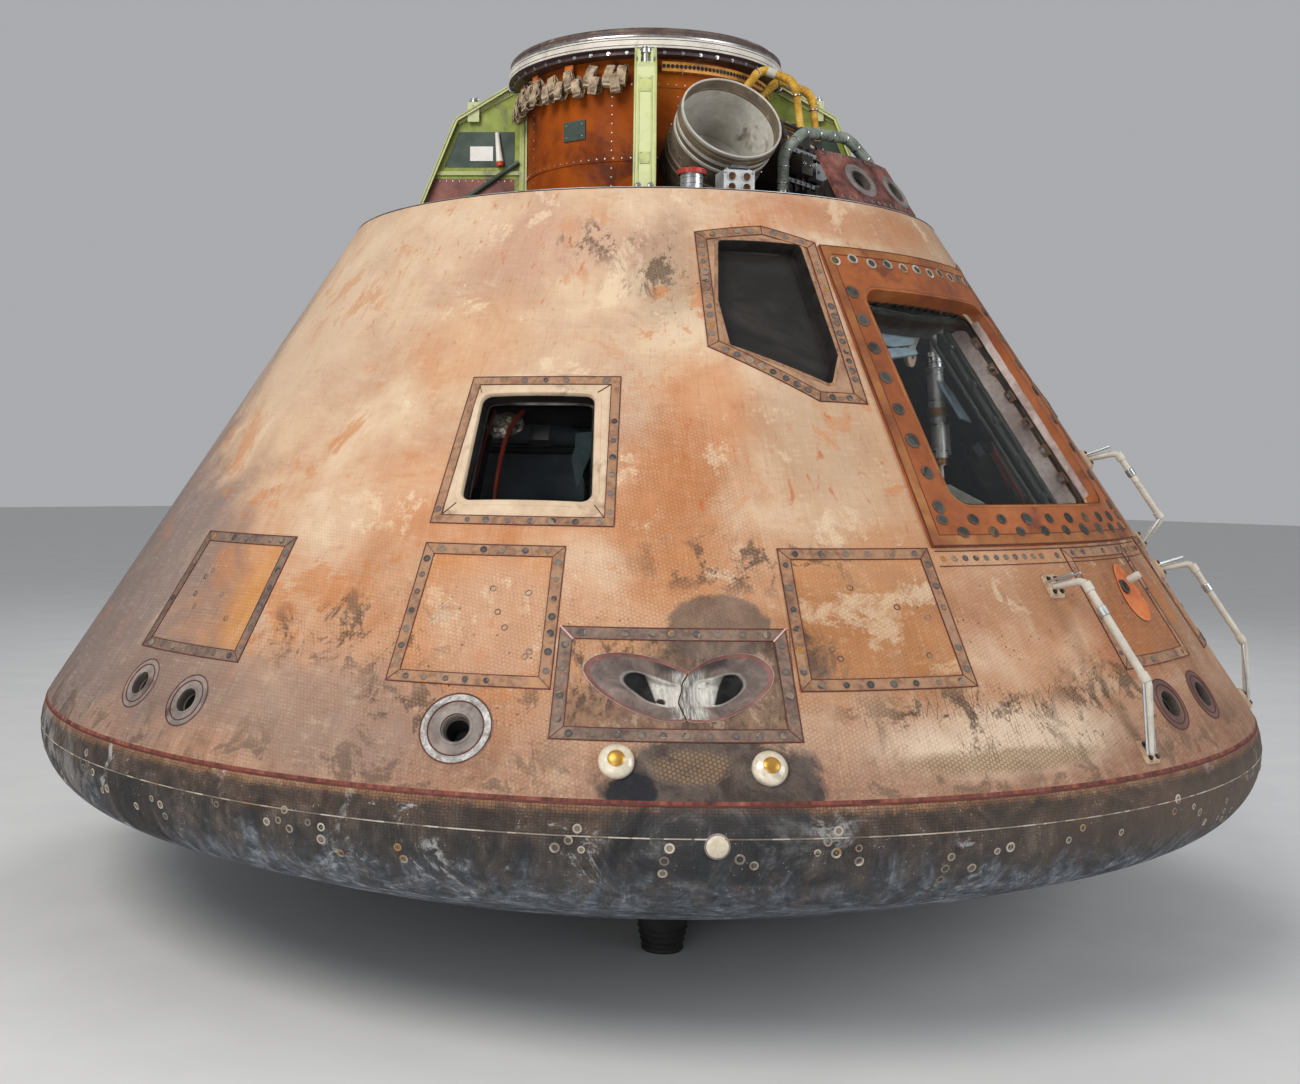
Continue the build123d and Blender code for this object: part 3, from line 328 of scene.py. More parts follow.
class Piece:
    """Collects many small shapes into one mesh."""

    def __init__(self, name, *mats):
        self.name, self.mats = name, mats
        self.v, self.f, self.mi = [], [], []

    def add(self, verts, faces, mat=0):
        k = len(self.v)
        self.v.extend(verts)
        for f in faces:
            self.f.append([i + k for i in f])
            self.mi.append(mat)

    def done(self, body=CAPSULE, replaces=(), bevel=0.0, sharp=32, sub=0):
        me = bpy.data.meshes.new(self.name)
        me.from_pydata([tuple(p) for p in self.v], [], self.f)
        for m in self.mats:
            me.materials.append(m)
        me.polygons.foreach_set("material_index", self.mi)
        me.polygons.foreach_set("use_smooth", [True] * len(self.f))
        me.set_sharp_from_angle(angle=math.radians(sharp))
        me.update()
        o = bpy.data.objects.new(self.name, me)
        bpy.context.scene.collection.objects.link(o)
        if bevel:
            b = o.modifiers.new("edge", "BEVEL")
            b.width, b.segments, b.limit_method, b.angle_limit = bevel, 2, "ANGLE", math.radians(40)
            b.harden_normals = False
        if sub:
            b = o.modifiers.new("smooth", "SUBSURF")
            b.levels = b.render_levels = sub
        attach(o, body)
        if replaces:
            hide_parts(*replaces)
        return o

    # closed shapes
    def prism(self, fr, outline, z0, z1, mat=0, side=None):
        n = len(outline)
        vs = [fr(x, y, z0) for x, y in outline] + [fr(x, y, z1) for x, y in outline]
        self.add(vs, [list(range(n))[::-1], [n + i for i in range(n)]], mat)
        k = len(self.v) - 2 * n
        for i in range(n):
            j = (i + 1) % n
            self.f.append([k + i, k + j, k + n + j, k + n + i])
            self.mi.append(mat if side is None else side)

    def box(self, fr, c, s, mat=0):
        x, y, z = c
        a, b, d = s[0] / 2, s[1] / 2, s[2] / 2
        self.prism(fr, [(x - a, y - b), (x + a, y - b), (x + a, y + b), (x - a, y + b)], z - d, z + d, mat)

    def lathe(self, fr, prof, seg=24, mat=0, mats=None, a0=0.0, a1=360.0):
        """Turns a profile of (radius, z) about the frame's z. A radius of 0 closes it."""
        full = abs(a1 - a0) > 359.9
        cols = seg if full else seg + 1
        k0 = len(self.v)
        rows = []
        for r, z in prof:
            if r <= 1e-7 and full:
                rows.append([len(self.v)])
                self.v.append(fr(0, 0, z))
            else:
                row = []
                for i in range(cols):
                    t = math.radians(a0 + (a1 - a0) * i / seg)
                    row.append(len(self.v))
                    self.v.append(fr(r * math.cos(t), r * math.sin(t), z))
                rows.append(row)
        for q in range(len(rows) - 1):
            A, B = rows[q], rows[q + 1]
            mm = mat if mats is None else mats[q]
            for i in range(seg):
                j = (i + 1) % seg if full else i + 1
                if len(A) == 1 and len(B) == 1:
                    continue
                if len(A) == 1:
                    self.f.append([A[0], B[j], B[i]])
                elif len(B) == 1:
                    self.f.append([A[i], A[j], B[0]])
                else:
                    self.f.append([A[i], A[j], B[j], B[i]])
                self.mi.append(mm)

    def tube(self, pts, r, seg=10, mat=0, radii=None, caps=True, squash=None):
        pts = [Vector(p) for p in pts]
        n = len(pts)
        tang = []
        for i in range(n):
            a, b = pts[max(i - 1, 0)], pts[min(i + 1, n - 1)]
            tang.append(unit(b - a))
        ref = Vector((0, 0, 1)) if abs(tang[0].z) < 0.9 else Vector((1, 0, 0))
        x = unit(ref.cross(tang[0]))
        rows = []
        for i in range(n):
            t = tang[i]
            x = unit(x - t * x.dot(t))
            y = t.cross(x)
            rr = radii[i] if radii else r
            row = []
            for s in range(seg):
                a = 2 * math.pi * s / seg
                row.append(len(self.v))
                self.v.append(pts[i] + x * (rr * math.cos(a)) + y * (rr * math.sin(a) * (squash or 1.0)))
            rows.append(row)
        for i in range(n - 1):
            for s in range(seg):
                q = (s + 1) % seg
                self.f.append([rows[i][s], rows[i][q], rows[i + 1][q], rows[i + 1][s]])
                self.mi.append(mat)
        if caps:
            self.f.append(rows[0][::-1])
            self.f.append(rows[-1][:])
            self.mi += [mat, mat]

    def strap(self, pts, ups, w, t, mat=0, caps=True):
        """A flat band along the points; ups are the directions of its flat face's normal."""
        pts = [Vector(p) for p in pts]
        n = len(pts)
        rows = []
        for i in range(n):
            tg = unit(pts[min(i + 1, n - 1)] - pts[max(i - 1, 0)])
            u = Vector(ups[i])
            u = unit(u - tg * u.dot(tg))
            s = u.cross(tg)
            row = []
            for a, b in ((-1, -1), (1, -1), (1, 1), (-1, 1)):
                row.append(len(self.v))
                self.v.append(pts[i] + s * (a * w / 2) + u * (b * t / 2))
            rows.append(row)
        for i in range(n - 1):
            for s in range(4):
                q = (s + 1) % 4
                self.f.append([rows[i][s], rows[i][q], rows[i + 1][q], rows[i + 1][s]])
                self.mi.append(mat)
        if caps:
            self.f.append(rows[0][::-1])
            self.f.append(rows[-1][:])
            self.mi += [mat, mat]

    def bolt(self, fr, r, h, mat=0):
        """Hex head on a washer."""
        self.lathe(fr, [(0, 0), (r * 1.45, 0), (r * 1.45, h * 0.25), (0, h * 0.25)], 14, mat)
        hexa = [(r * math.cos(math.radians(60 * i)), r * math.sin(math.radians(60 * i))) for i in range(6)]
        self.prism(fr, hexa, h * 0.25, h, mat)

    def rivet(self, fr, r, h, mat=0, seg=8):
        self.lathe(fr, [(r, -0.0005), (r * 0.8, h * 0.7), (0, h)], seg, mat)


def arc_points(pts, radii, step=0.006):
    """A route with rounded corners, sampled."""
    P = [Vector(p) for p in pts]
    out = [P[0]]
    for i in range(1, len(P) - 1):
        a, b, c = P[i - 1], P[i], P[i + 1]
        d0, d1 = unit(a - b), unit(c - b)
        ang = d0.angle(d1)
        if ang > math.pi - 1e-3:
            out.append(b)
            continue
        r = radii[i - 1]
        cut = r / math.tan(ang / 2)
        mid = b + unit(d0 + d1) * (r / math.sin(ang / 2))
        s, e = b + d0 * cut, b + d1 * cut
        turn = math.pi - ang
        n = max(3, int(turn * r / step))
        vs, ve = s - mid, e - mid
        ax = unit(vs.cross(ve))
        for k in range(n + 1):
            out.append(mid + Matrix.Rotation(turn * k / n, 3, ax) @ vs)
    out.append(P[-1])
    return out


# ------------------------------------------------------------------ the skin unrolled flat
def unroll(az, h):
    s = cone_r(h) / SA
    t = math.radians(az) * SA
    return Vector((s * math.sin(t), -s * math.cos(t)))


def az_h(p):
    s = p.length
    t = math.atan2(p.x, -p.y)
    return math.degrees(t) / SA, TAN_H + (TAN_R - s * SA) / TA


def on_skin(p, out=0.0):
    return skin(*az_h(p), out)


def fr_on(p, out=0.0, turn=0.0):
    az, h = az_h(p)
    f = skin_fr(az, h, out)
    if turn:
        c, s = math.cos(turn), math.sin(turn)
        f = Fr(f.o, f.x * c + f.y * s, f.y * c - f.x * s, f.z)
    return f


def edge_loop(corners, step=0.045, clear=0.0):
    """Closed loop of flat points through (azimuth, height) corners, and the corners' indices.
    An edge between equal heights follows the parallel, any other is straight."""
    pts, idx = [], []
    n = len(corners)
    for i in range(n):
        a, b = corners[i], corners[(i + 1) % n]
        pa, pb = unroll(*a), unroll(*b)
        L = (pb - pa).length
        k = max(1, int((L - 2 * clear) / step))
        idx.append(len(pts))
        marks = [0.0] + [(clear + (L - 2 * clear) * q / k) / L for q in range(k + 1)] if clear else [q / k for q in range(k)]
        for f in marks:
            if abs(a[1] - b[1]) < 1e-6:
                pts.append(unroll(a[0] + (b[0] - a[0]) * f, a[1]))
            else:
                pts.append(pa.lerp(pb, f))
    area = sum(p.x * q.y - q.x * p.y for p, q in zip(pts, pts[1:] + pts[:1]))
    if area < 0:
        n = len(pts)
        pts = [pts[0]] + pts[:0:-1]
        idx = sorted((n - i) % n for i in idx)
    return pts, idx


def inset(pts, d):
    out = []
    n = len(pts)
    for i in range(n):
        e0 = unit(pts[i] - pts[i - 1])
        e1 = unit(pts[(i + 1) % n] - pts[i])
        n0, n1 = Vector((-e0.y, e0.x)), Vector((-e1.y, e1.x))
        out.append(pts[i] + (n0 + n1) * (d / (1 + n0.dot(n1))))
    return out


def band(piece, A, B, out, mat=0, low=-0.0012, out_b=None):
    """Closed band on the skin between loop A, outside, and loop B, inside."""
    n = len(A)
    ob = out if out_b is None else out_b
    lb = low if out_b is None else min(low, ob - 0.004)
    vs = [on_skin(p, out) for p in A] + [on_skin(p, ob) for p in B]
    vs += [on_skin(p, low) for p in A] + [on_skin(p, lb) for p in B]
    fs = []
    for i in range(n):
        j = (i + 1) % n
        fs += [[i, j, n + j, n + i], [2 * n + i, 2 * n + j, j, i],
               [n + i, n + j, 3 * n + j, 3 * n + i], [2 * n + j, 2 * n + i, 3 * n + i, 3 * n + j]]
    piece.add(vs, fs, mat)


def stroke(piece, p, q, w, out, mat=0, low=-0.0012, parts=1):
    """Thin raised line on the skin between two flat points."""
    d = unit(q - p)
    s = Vector((-d.y, d.x)) * (w / 2)
    for k in range(parts):
        a, b = p.lerp(q, k / parts), p.lerp(q, (k + 1) / parts)
        vs = [on_skin(x, out) for x in (a - s, b - s, b + s, a + s)] + [on_skin(x, low) for x in (a - s, b - s, b + s, a + s)]
        piece.add(vs, [[0, 1, 2, 3], [7, 6, 5, 4], [4, 5, 1, 0], [5, 6, 2, 1], [6, 7, 3, 2], [7, 4, 0, 3]], mat)


def plug(piece, p, r, top, ring=0, core=1, turn=0.0, long=1.0, seg=16):
    """Round skin plug: a raised ring and a sunk middle."""
    f = fr_on(p, 0.0, turn)
    if long != 1.0:
        f = Fr(f.o, f.x * long, f.y, f.z)
    piece.lathe(f, [(r, -0.001), (r, top), (r * 0.80, top + 0.0006), (r * 0.62, top - 0.0002), (r * 0.56, top - 0.0012),
                    (r * 0.2, top - 0.0010), (0, top - 0.0006)], seg, mats=[ring, ring, ring, core, core, core])


def plug_row(piece, loop, idx, gap, r, top, ring=0, core=1, ends=0.03, skip=0.12, size=0.18, sides=None, seg=16):
    """Plugs along the sides of a closed loop, uneven as the real ones are."""
    n = len(idx)
    for k in range(n):
        if sides is not None and k not in sides:
            continue
        a, b = idx[k], idx[(k + 1) % n]
        seq = loop[a:b + 1] if b > a else loop[a:] + loop[:b + 1]
        d = [0.0]
        for p, q in zip(seq, seq[1:]):
            d.append(d[-1] + (q - p).length)
        m = max(1, int((d[-1] - 2 * ends) / gap))
        for i in range(m + 1):
            if rnd.random() < skip:
                continue
            t = ends + (d[-1] - 2 * ends) * i / m + rnd.uniform(-0.1, 0.1) * gap
            j = max(1, next((x for x in range(1, len(d)) if d[x] >= t), len(d) - 1))
            f = (t - d[j - 1]) / max(d[j] - d[j - 1], 1e-6)
            plug(piece, seq[j - 1].lerp(seq[j], f), r * rnd.uniform(1 - size, 1 + size), top, ring, core, seg=seg)


rnd = random.Random(11)



# ------------------------------------------------------------------ generic worn materials
MATS = {}


def worn(name, stops, scale=6.0, rough=(0.45, 0.7), metal=0.0, bump=0.15, grain=180.0, dist=0.0006, detail=6.0,
         stretch=(1, 1, 1), dirt=None, dirt_amount=0.35, dirt_scale=9.0, spec=None, coat=None, edge=None, fine=0.10):
    """A painted, metal or rubber surface: two scales of colour change, dirt in patches, fine grain in the bump."""
    if name in MATS:
        return MATS[name]
    M = Mat(name)
    v = M.scaled(*stretch)
    a = M.noise(scale, detail, 0.6, 0.3, v)
    b = M.noise(scale * 7.3, 3, 0.6, 0.0, v)
    f = M.math("ADD", M.math("MULTIPLY", a, 1 - fine * 2), M.math("MULTIPLY", b, fine * 2))
    col = M.ramp(f, stops)
    if dirt is not None:
        d = M.span(M.noise(dirt_scale, 5, 0.65, 0.5), 0.62 - dirt_amount * 0.3, 0.80 - dirt_amount * 0.3)
        col = M.mix(d, col, dirt)
    if edge is not None:
        g = M.t.nodes.new("ShaderNodeNewGeometry")
        p = M.math("ADD", M.span(g.outputs["Pointiness"], 0.51, 0.58), M.math("MULTIPLY", M.math("SUBTRACT", b, 0.5), 0.6), clamp=True)
        col = M.mix(M.math("MULTIPLY", p, 0.8), col, edge)
    r = M.span(M.noise(scale * 2.1, 4), 0.3, 0.7, rough[0], rough[1])
    h = M.math("ADD", M.noise(grain, 3, 0.6), M.math("MULTIPLY", b, 0.8))
    MATS[name] = M.base(col, r, metal, M.bump(h, bump, dist), spec=spec, coat=coat)
    return MATS[name]


def c(hexcode, k=1.0):
    return lin(hexcode, k)


white_paint = worn("white_rail_paint", [(0.25, c("8E877B")), (0.5, c("B9B3A6")), (0.75, c("D2CDC1"))], 9, (0.35, 0.6), 0.0, 0.2, 120, 0.0005,
                   dirt=c("8F8274"), dirt_amount=0.30)
alu = worn("bare_aluminium", [(0.3, c("8E9091")), (0.55, c("B4B7B8")), (0.8, c("CFD2D3"))], 8, (0.28, 0.5), 0.85, 0.12, 220, 0.0003,
           dirt=c("5F5B55"), dirt_amount=0.2)
steel = worn("bright_steel_parts", [(0.3, c("8D8D8E")), (0.6, c("BDBDBE")), (0.85, c("DEDEDE"))], 12, (0.16, 0.34), 1.0, 0.08, 260, 0.0003)
dark_metal = worn("dark_oily_metal", [(0.25, c("17120F")), (0.5, c("2C2520")), (0.78, c("4D443C"))], 11, (0.3, 0.6), 0.5, 0.25, 110, 0.0008,
                  dirt=c("6B5B4B"), dirt_amount=0.25)
# painted shade: near-black laid in the bottoms of holes, bores, throats and grooves, where only shade falls; the same
# black also serves the real black faces of the dials
recess_shade_and_dial_black = worn("painted_recess_shade_and_dial_black", [(0.3, c("0B0A0A")), (0.7, c("191614"))], 9, (0.6, 0.9), 0.0, 0.2, 60, 0.001)
rubber_black = worn("black_rubber_detail", [(0.3, c("0F0F0F")), (0.7, c("242322"))], 10, (0.55, 0.8), 0.0, 0.3, 150, 0.0006)
maroon = worn("maroon_line", [(0.3, c("38150F")), (0.55, c("561F16")), (0.8, c("6E3222"))], 14, (0.6, 0.85), 0.0, 0.25, 200, 0.0005)
strip_m = worn("scorched_strip", [(0.26, c("4C362F")), (0.42, c("75543F")), (0.56, c("9A7456")), (0.72, c("8A6E62"))], 9.5, (0.6, 0.85), 0.0, 0.35,
               160, 0.0009, dirt=c("A67C58"), dirt_amount=0.34, dirt_scale=14, fine=0.22)
strip_grey = worn("mauve_strip", [(0.26, c("352B28")), (0.44, c("5E4C43")), (0.58, c("7E6656")), (0.74, c("8C6F5A"))], 9.5, (0.6, 0.85), 0.0, 0.35,
                  160, 0.0009, dirt=c("8A6444"), dirt_amount=0.24, dirt_scale=14, fine=0.22)
hatch_strip = worn("hatch_border", [(0.26, c("5C2C12")), (0.44, c("80481F")), (0.58, c("96602F")), (0.74, c("A0744C"))], 5.5, (0.6, 0.85), 0.0, 0.35,
                   150, 0.0009, dirt=c("5A2C1A"), dirt_amount=0.25, dirt_scale=6)
cream_bevel = worn("cream_bevel", [(0.28, c("9A7E66")), (0.5, c("BEA68A")), (0.72, c("D0BEA4"))], 7.0, (0.5, 0.75), 0.0, 0.3, 130, 0.0008,
                   dirt=c("8A6A50"), dirt_amount=0.3, dirt_scale=8)


def plug_mat(name, tones, hues):
    """Round plugs: each one takes its own tone from the cell it sits in."""
    M = Mat(name)
    cell = M.voronoi(26.0, out="Color")
    n = M.t.nodes.new("ShaderNodeSeparateXYZ")
    M.put(n.inputs[0], cell)
    f = M.math("ADD", M.math("MULTIPLY", n.outputs[0], 0.75), M.math("MULTIPLY", M.noise(220, 3), 0.25))
    col = M.ramp(f, tones)
    col = M.mix(M.span(n.outputs[1], 0.92, 0.95), col, hues)
    M.base(col, M.span(M.noise(90, 3), 0.3, 0.7, 0.55, 0.85), 0.0, M.bump(M.noise(700, 3), 0.3, 0.0005))
    return M.mat


plug_ring = plug_mat("plug_ring", [(0.1, c("332B28")), (0.4, c("554842")), (0.65, c("75655A")), (0.9, c("95836F"))], c("A0743A"))
plug_core = plug_mat("plug_core", [(0.1, c("3A3A3C")), (0.4, c("5A5A58")), (0.7, c("75695C")), (0.95, c("8A7864"))], c("94682F"))
pale_ring = plug_mat("pale_plug_ring", [(0.1, c("5E564E")), (0.4, c("857A6C")), (0.7, c("A2978A")), (0.95, c("C4BCAE"))], c("8F6E4A"))
pale_core = plug_mat("pale_plug_core", [(0.1, c("35302C")), (0.4, c("514941")), (0.7, c("6E6458")), (0.95, c("8C8170"))], c("6E5030"))
dark_ring = plug_mat("dark_plug_ring", [(0.1, c("241F1B")), (0.4, c("38302A")), (0.7, c("4C433A")), (0.95, c("5E5348"))], c("6B4C2C"))
dark_core = plug_mat("dark_plug_core", [(0.1, c("171A16")), (0.4, c("272925")), (0.7, c("3A3832")), (0.95, c("4C4840"))], c("5C4429"))


# ------------------------------------------------------------------ the big scorched skins
def hexes(M, az, h, cell=0.0105):
    """Honeycomb lines on the cone from three crossed waves: 0 at a cell's middle, 1 at its wall."""
    s = M.math("DIVIDE", M.math("SUBTRACT", TAN_R, M.math("MULTIPLY", M.math("SUBTRACT", h, TAN_H), TA)), SA)
    t = M.math("MULTIPLY", az, math.radians(1) * SA)
    x = M.math("MULTIPLY", s, M.math("SINE", t))
    y = M.math("MULTIPLY", s, M.math("COSINE", t))
    k = 2 * math.pi / (cell * 0.866)
    tot = None
    for ang in (15, 75, 135):
        u = M.math("ADD", M.math("MULTIPLY", x, k * math.cos(math.radians(ang))), M.math("MULTIPLY", y, k * math.sin(math.radians(ang))))
        w = M.math("COSINE", u)
        tot = w if tot is None else M.math("ADD", tot, w)
    return M.span(tot, -1.5, 0.2, 1.0, 0.0)


def mult(M, *vals):
    r = vals[0]
    for v in vals[1:]:
        r = M.math("MULTIPLY", r, v)
    return r


def cone_material(name, kind):
    M = Mat(name)
    az, h = M.azimuth(), M.height()
    x, y, z = M.xyz()
    rad = M.math("SQRT", M.math("ADD", M.math("MULTIPLY", x, x), M.math("MULTIPLY", y, y)))
    # depth under the mould line
    skin_r = M.math("SUBTRACT", TAN_R, M.math("MULTIPLY", M.math("SUBTRACT", h, TAN_H), TA))
    depth = M.math("MULTIPLY", M.math("SUBTRACT", skin_r, rad), CA)
    big = M.noise(1.1, 5, 0.6, 0.4)
    mid = M.noise(3.4, 6, 0.62, 0.6)
    small = M.noise(14.0, 6, 0.68, 0.6)
    fine = M.noise(60.0, 4, 0.6)
    # fibres run round and up the cone
    weave_a = M.noise(1.0, 5, 0.65, 0.3, M.vec(M.math("MULTIPLY", az, 3.1), M.math("MULTIPLY", h, 9.0), 0.0))
    weave_b = M.noise(1.0, 5, 0.65, 0.3, M.vec(M.math("MULTIPLY", az, 0.45), M.math("MULTIPLY", h, 110.0), 0.0))
    linen = M.math("ADD", M.math("MULTIPLY", weave_a, 0.5), M.math("MULTIPLY", weave_b, 0.5))
    streak = M.noise(1.0, 5, 0.6, 0.2, M.vec(M.math("MULTIPLY", az, 0.42), M.math("MULTIPLY", h, 0.9), 0.0))
    # flakes of burnt and pale paint, and soft mottling
    flake = M.noise(1.0, 8, 0.74, 0.35, M.vec(M.math("MULTIPLY", az, 0.10), M.math("MULTIPLY", h, 4.6), 2.0))
    mottle = M.noise(1.0, 7, 0.76, 0.45, M.vec(M.math("MULTIPLY", az, 0.30), M.math("MULTIPLY", h, 9.5), 5.5))
    honey = hexes(M, az, h)

    cream, orange, pink = c("CDB69A"), c("B8713A"), c("B48C76")
    mauve, soot = c("7C706C"), c("191613")
    if kind == "shell":
        base = M.ramp(M.math("ADD", M.math("MULTIPLY", big, 0.55), M.math("MULTIPLY", mid, 0.45)),
                      [(0.30, c("9E7D68")), (0.43, c("B4947B")), (0.52, c("C3A88C")), (0.62, c("CDB89D")), (0.75, c("BCA089"))])
        low = M.span(M.math("ADD", h, M.math("MULTIPLY", M.math("SUBTRACT", mid, 0.5), 0.5)), 1.05, 1.62, 1.0, 0.0)
        base = M.mix(M.math("MULTIPLY", low, 0.72), base, M.ramp(mid, [(0.34, c("A56E48")), (0.5, c("B78460")), (0.66, c("C09C80"))]))
        lowest = M.span(M.math("ADD", h, M.math("MULTIPLY", M.math("SUBTRACT", small, 0.5), 0.22)), 0.66, 0.90, 1.0, 0.0)
        base = M.mix(M.math("MULTIPLY", lowest, 0.72), base, M.ramp(mottle, [(0.34, c("544238")), (0.47, c("836050")), (0.60, c("A5836C")), (0.72, c("B79C86"))]))
    else:
        base = M.ramp(M.math("ADD", M.math("MULTIPLY", mid, 0.6), M.math("MULTIPLY", small, 0.4)),
                      [(0.30, c("94603A")), (0.44, c("B37848")), (0.56, c("C08C62")), (0.70, c("AC7E62"))])
    col = M.mix(M.span(streak, 0.52, 0.72, 0.0, 0.5), base, c("BD9A7E"))
    col = M.mix(M.span(M.noise(1.0, 5, 0.65, 0.4, M.vec(M.math("MULTIPLY", az, 0.16), M.math("MULTIPLY", h, 1.6), 3.0)), 0.56, 0.74, 0.0, 0.55), col, pink)
    zones = [
        # azimuth, height, half width in degrees, half height, colour, amount
        (-106, 0.94, 20, 0.42, mauve, 0.9), (-120, 1.35, 14, 0.55, mauve, 0.75), (-96, 1.78, 10, 0.30, c("C4AB92"), 0.5),
        (-57, 1.28, 15, 0.12, orange, 0.40), (-58, 1.96, 20, 0.10, pink, 0.5), (-24, 1.45, 6, 0.30, cream, 0.65),
        (-31, 1.86, 8, 0.14, orange, 0.50), (-38, 1.50, 5, 0.16, orange, 0.55), (-66, 1.66, 8, 0.14, c("B98459"), 0.45),
        (-8, 2.05, 20, 0.07, c("B3704A"), 0.6), (-23, 1.16, 3.6, 0.06, orange, 0.6), (-42, 1.88, 5, 0.14, c("5E4436"), 0.35),
        (24, 1.62, 9, 0.40, c("8E8078"), 0.6), (33, 1.2, 11, 0.5, c("928272"), 0.5), (-42.5, 1.20, 4.5, 0.20, c("B27648"), 0.6),
        (-57, 0.82, 9, 0.08, c("9A6848"), 0.4), (-85, 0.80, 12, 0.10, c("7A6860"), 0.8), (-68, 0.76, 9, 0.12, c("86746A"), 0.6),
        (0, 1.04, 18, 0.10, c("8E5C3A"), 0.5), (3, 0.92, 8, 0.10, c("A05A32"), 0.6), (-19, 0.74, 11, 0.068, c("D2BCA4"), 0.85),
        (-56, 0.99, 6, 0.13, c("BA977E"), 0.62 if kind == "panel" else 0.0), (-78, 1.0, 4.0, 0.14, c("BC8444"), 0.6 if kind == "panel" else 0.0),
        (-26, 1.30, 9, 0.26, c("A5805F"), 0.42), (-27, 0.93, 8.5, 0.15, c("92603A"), 0.58), (-20.5, 1.55, 3.0, 0.40, c("AE8160"), 0.45), (13, 1.02, 12, 0.36, c("7A5642"), 0.55), (-27, 1.44, 7, 0.17, c("9C8068"), 0.32), (-112, 0.90, 12, 0.30, c("625854"), 0.35), (8, 2.03, 24, 0.10, c("94704E"), 0.35), (60, 1.3, 24, 0.6, c("9C8570"), 0.35), (115, 1.1, 30, 0.5, mauve, 0.45), (172, 1.4, 30, 0.6, c("BFA68A"), 0.5)]
    for a0, h0, ra, rh, cc, k in zones:
        if k > 0:
            col = M.mix(M.math("MULTIPLY", M.blob(az, h, a0, h0, ra, rh, 0.45, mid, 1.6), k), col, cc)
    # burnt orange and cream flakes with broken edges
    body = M.span(h, 0.72, 0.95)
    amt = 0.55 if kind == "shell" else 0.35
    col = M.mix(mult(M, M.span(flake, 0.545, 0.585), body, M.math("ADD", M.math("MULTIPLY", M.span(big, 0.42, 0.60), amt), 0.08)), col, c("B4713C"))
    col = M.mix(mult(M, M.span(flake, 0.40, 0.445, 1.0, 0.0), M.span(mottle, 0.36, 0.56), M.span(az, -84.0, -68.0, 0.12, 1.0), M.span(h, 0.80, 1.10, 0.45, 1.0), 0.55), col, c("D6C2A4"))
    # honeycomb shows on the lower cone and in scorched places
    hz = M.math("MAXIMUM", M.span(h, 0.95, 1.40, 0.8, 0.06), M.blob(az, h, -42, 1.15, 8, 0.4, 0.5, mid, 1.2))
    cells = mult(M, honey, hz, M.span(small, 0.30, 0.58, 0.3, 1.0))
    col = M.mix(M.math("MULTIPLY", cells, 0.34), col, c("6A4A38"))
    col = M.mix(M.math("MULTIPLY", M.span(linen, 0.50, 0.68), 0.22), col, c("D6C5AA"))
    col = M.mix(M.math("MULTIPLY", M.span(linen, 0.34, 0.46, 1.0, 0.0), 0.34), col, c("82604A"))
    # red and orange smears, black specks, dark mottled patches
    smear = M.noise(1.0, 6, 0.7, 0.8, M.vec(M.math("MULTIPLY", az, 0.75), M.math("MULTIPLY", h, 16.0), 7.0))
    zone = M.math("MAXIMUM", M.blob(az, h, -72, 1.9, 22, 0.3, 0.5, mid, 1.0), M.blob(az, h, -28, 1.62, 18, 0.5, 0.5, mid, 1.0))
    col = M.mix(M.math("MULTIPLY", M.math("MULTIPLY", M.span(smear, 0.59, 0.68), zone), 0.75), col, c("A9542C"))
    speck = M.span(M.voronoi(46.0, rand=1.0), 0.06, 0.16, 1.0, 0.0)
    where = M.math("MAXIMUM", M.blob(az, h, -41, 1.87, 6, 0.14, 0.5, mid, 1.5),
                   M.math("MAXIMUM", M.blob(az, h, -55, 0.9, 14, 0.16, 0.5, mid, 1.5), M.blob(az, h, -9, 0.95, 16, 0.16, 0.5, mid, 1.5)))
    col = M.mix(mult(M, speck, M.span(small, 0.42, 0.56), M.math("ADD", M.math("MULTIPLY", where, 0.85), 0.10)), col, soot)
    scab = None
    for a0, h0, ra, rh in ((-69, 0.945, 8, 0.085), (-58, 0.79, 9, 0.07), (-44, 1.885, 4.5, 0.10), (-52, 1.96, 5, 0.06), (-22, 0.80, 10, 0.06), (-5, 0.80, 7, 0.09),
                           (-36, 1.13, 8, 0.06), (-26, 1.90, 3, 0.08), (50, 0.9, 12, 0.12), (150, 1.0, 16, 0.2)):
        b = M.blob(az, h, a0, h0, ra, rh, 0.6, mid, 1.4)
        scab = b if scab is None else M.math("MAXIMUM", scab, b)
    col = M.mix(mult(M, M.span(mottle, 0.515, 0.575), scab, M.span(small, 0.30, 0.50, 0.5, 1.0), 0.78), col, M.mix(honey, c("5C4A3C"), c("30261F")))
    low_runs = M.span(h, 0.66, 0.80, 1.0, 0.0)
    col = M.mix(mult(M, M.span(mottle, 0.50, 0.60), low_runs, 0.6), col, c("3C2F29"))
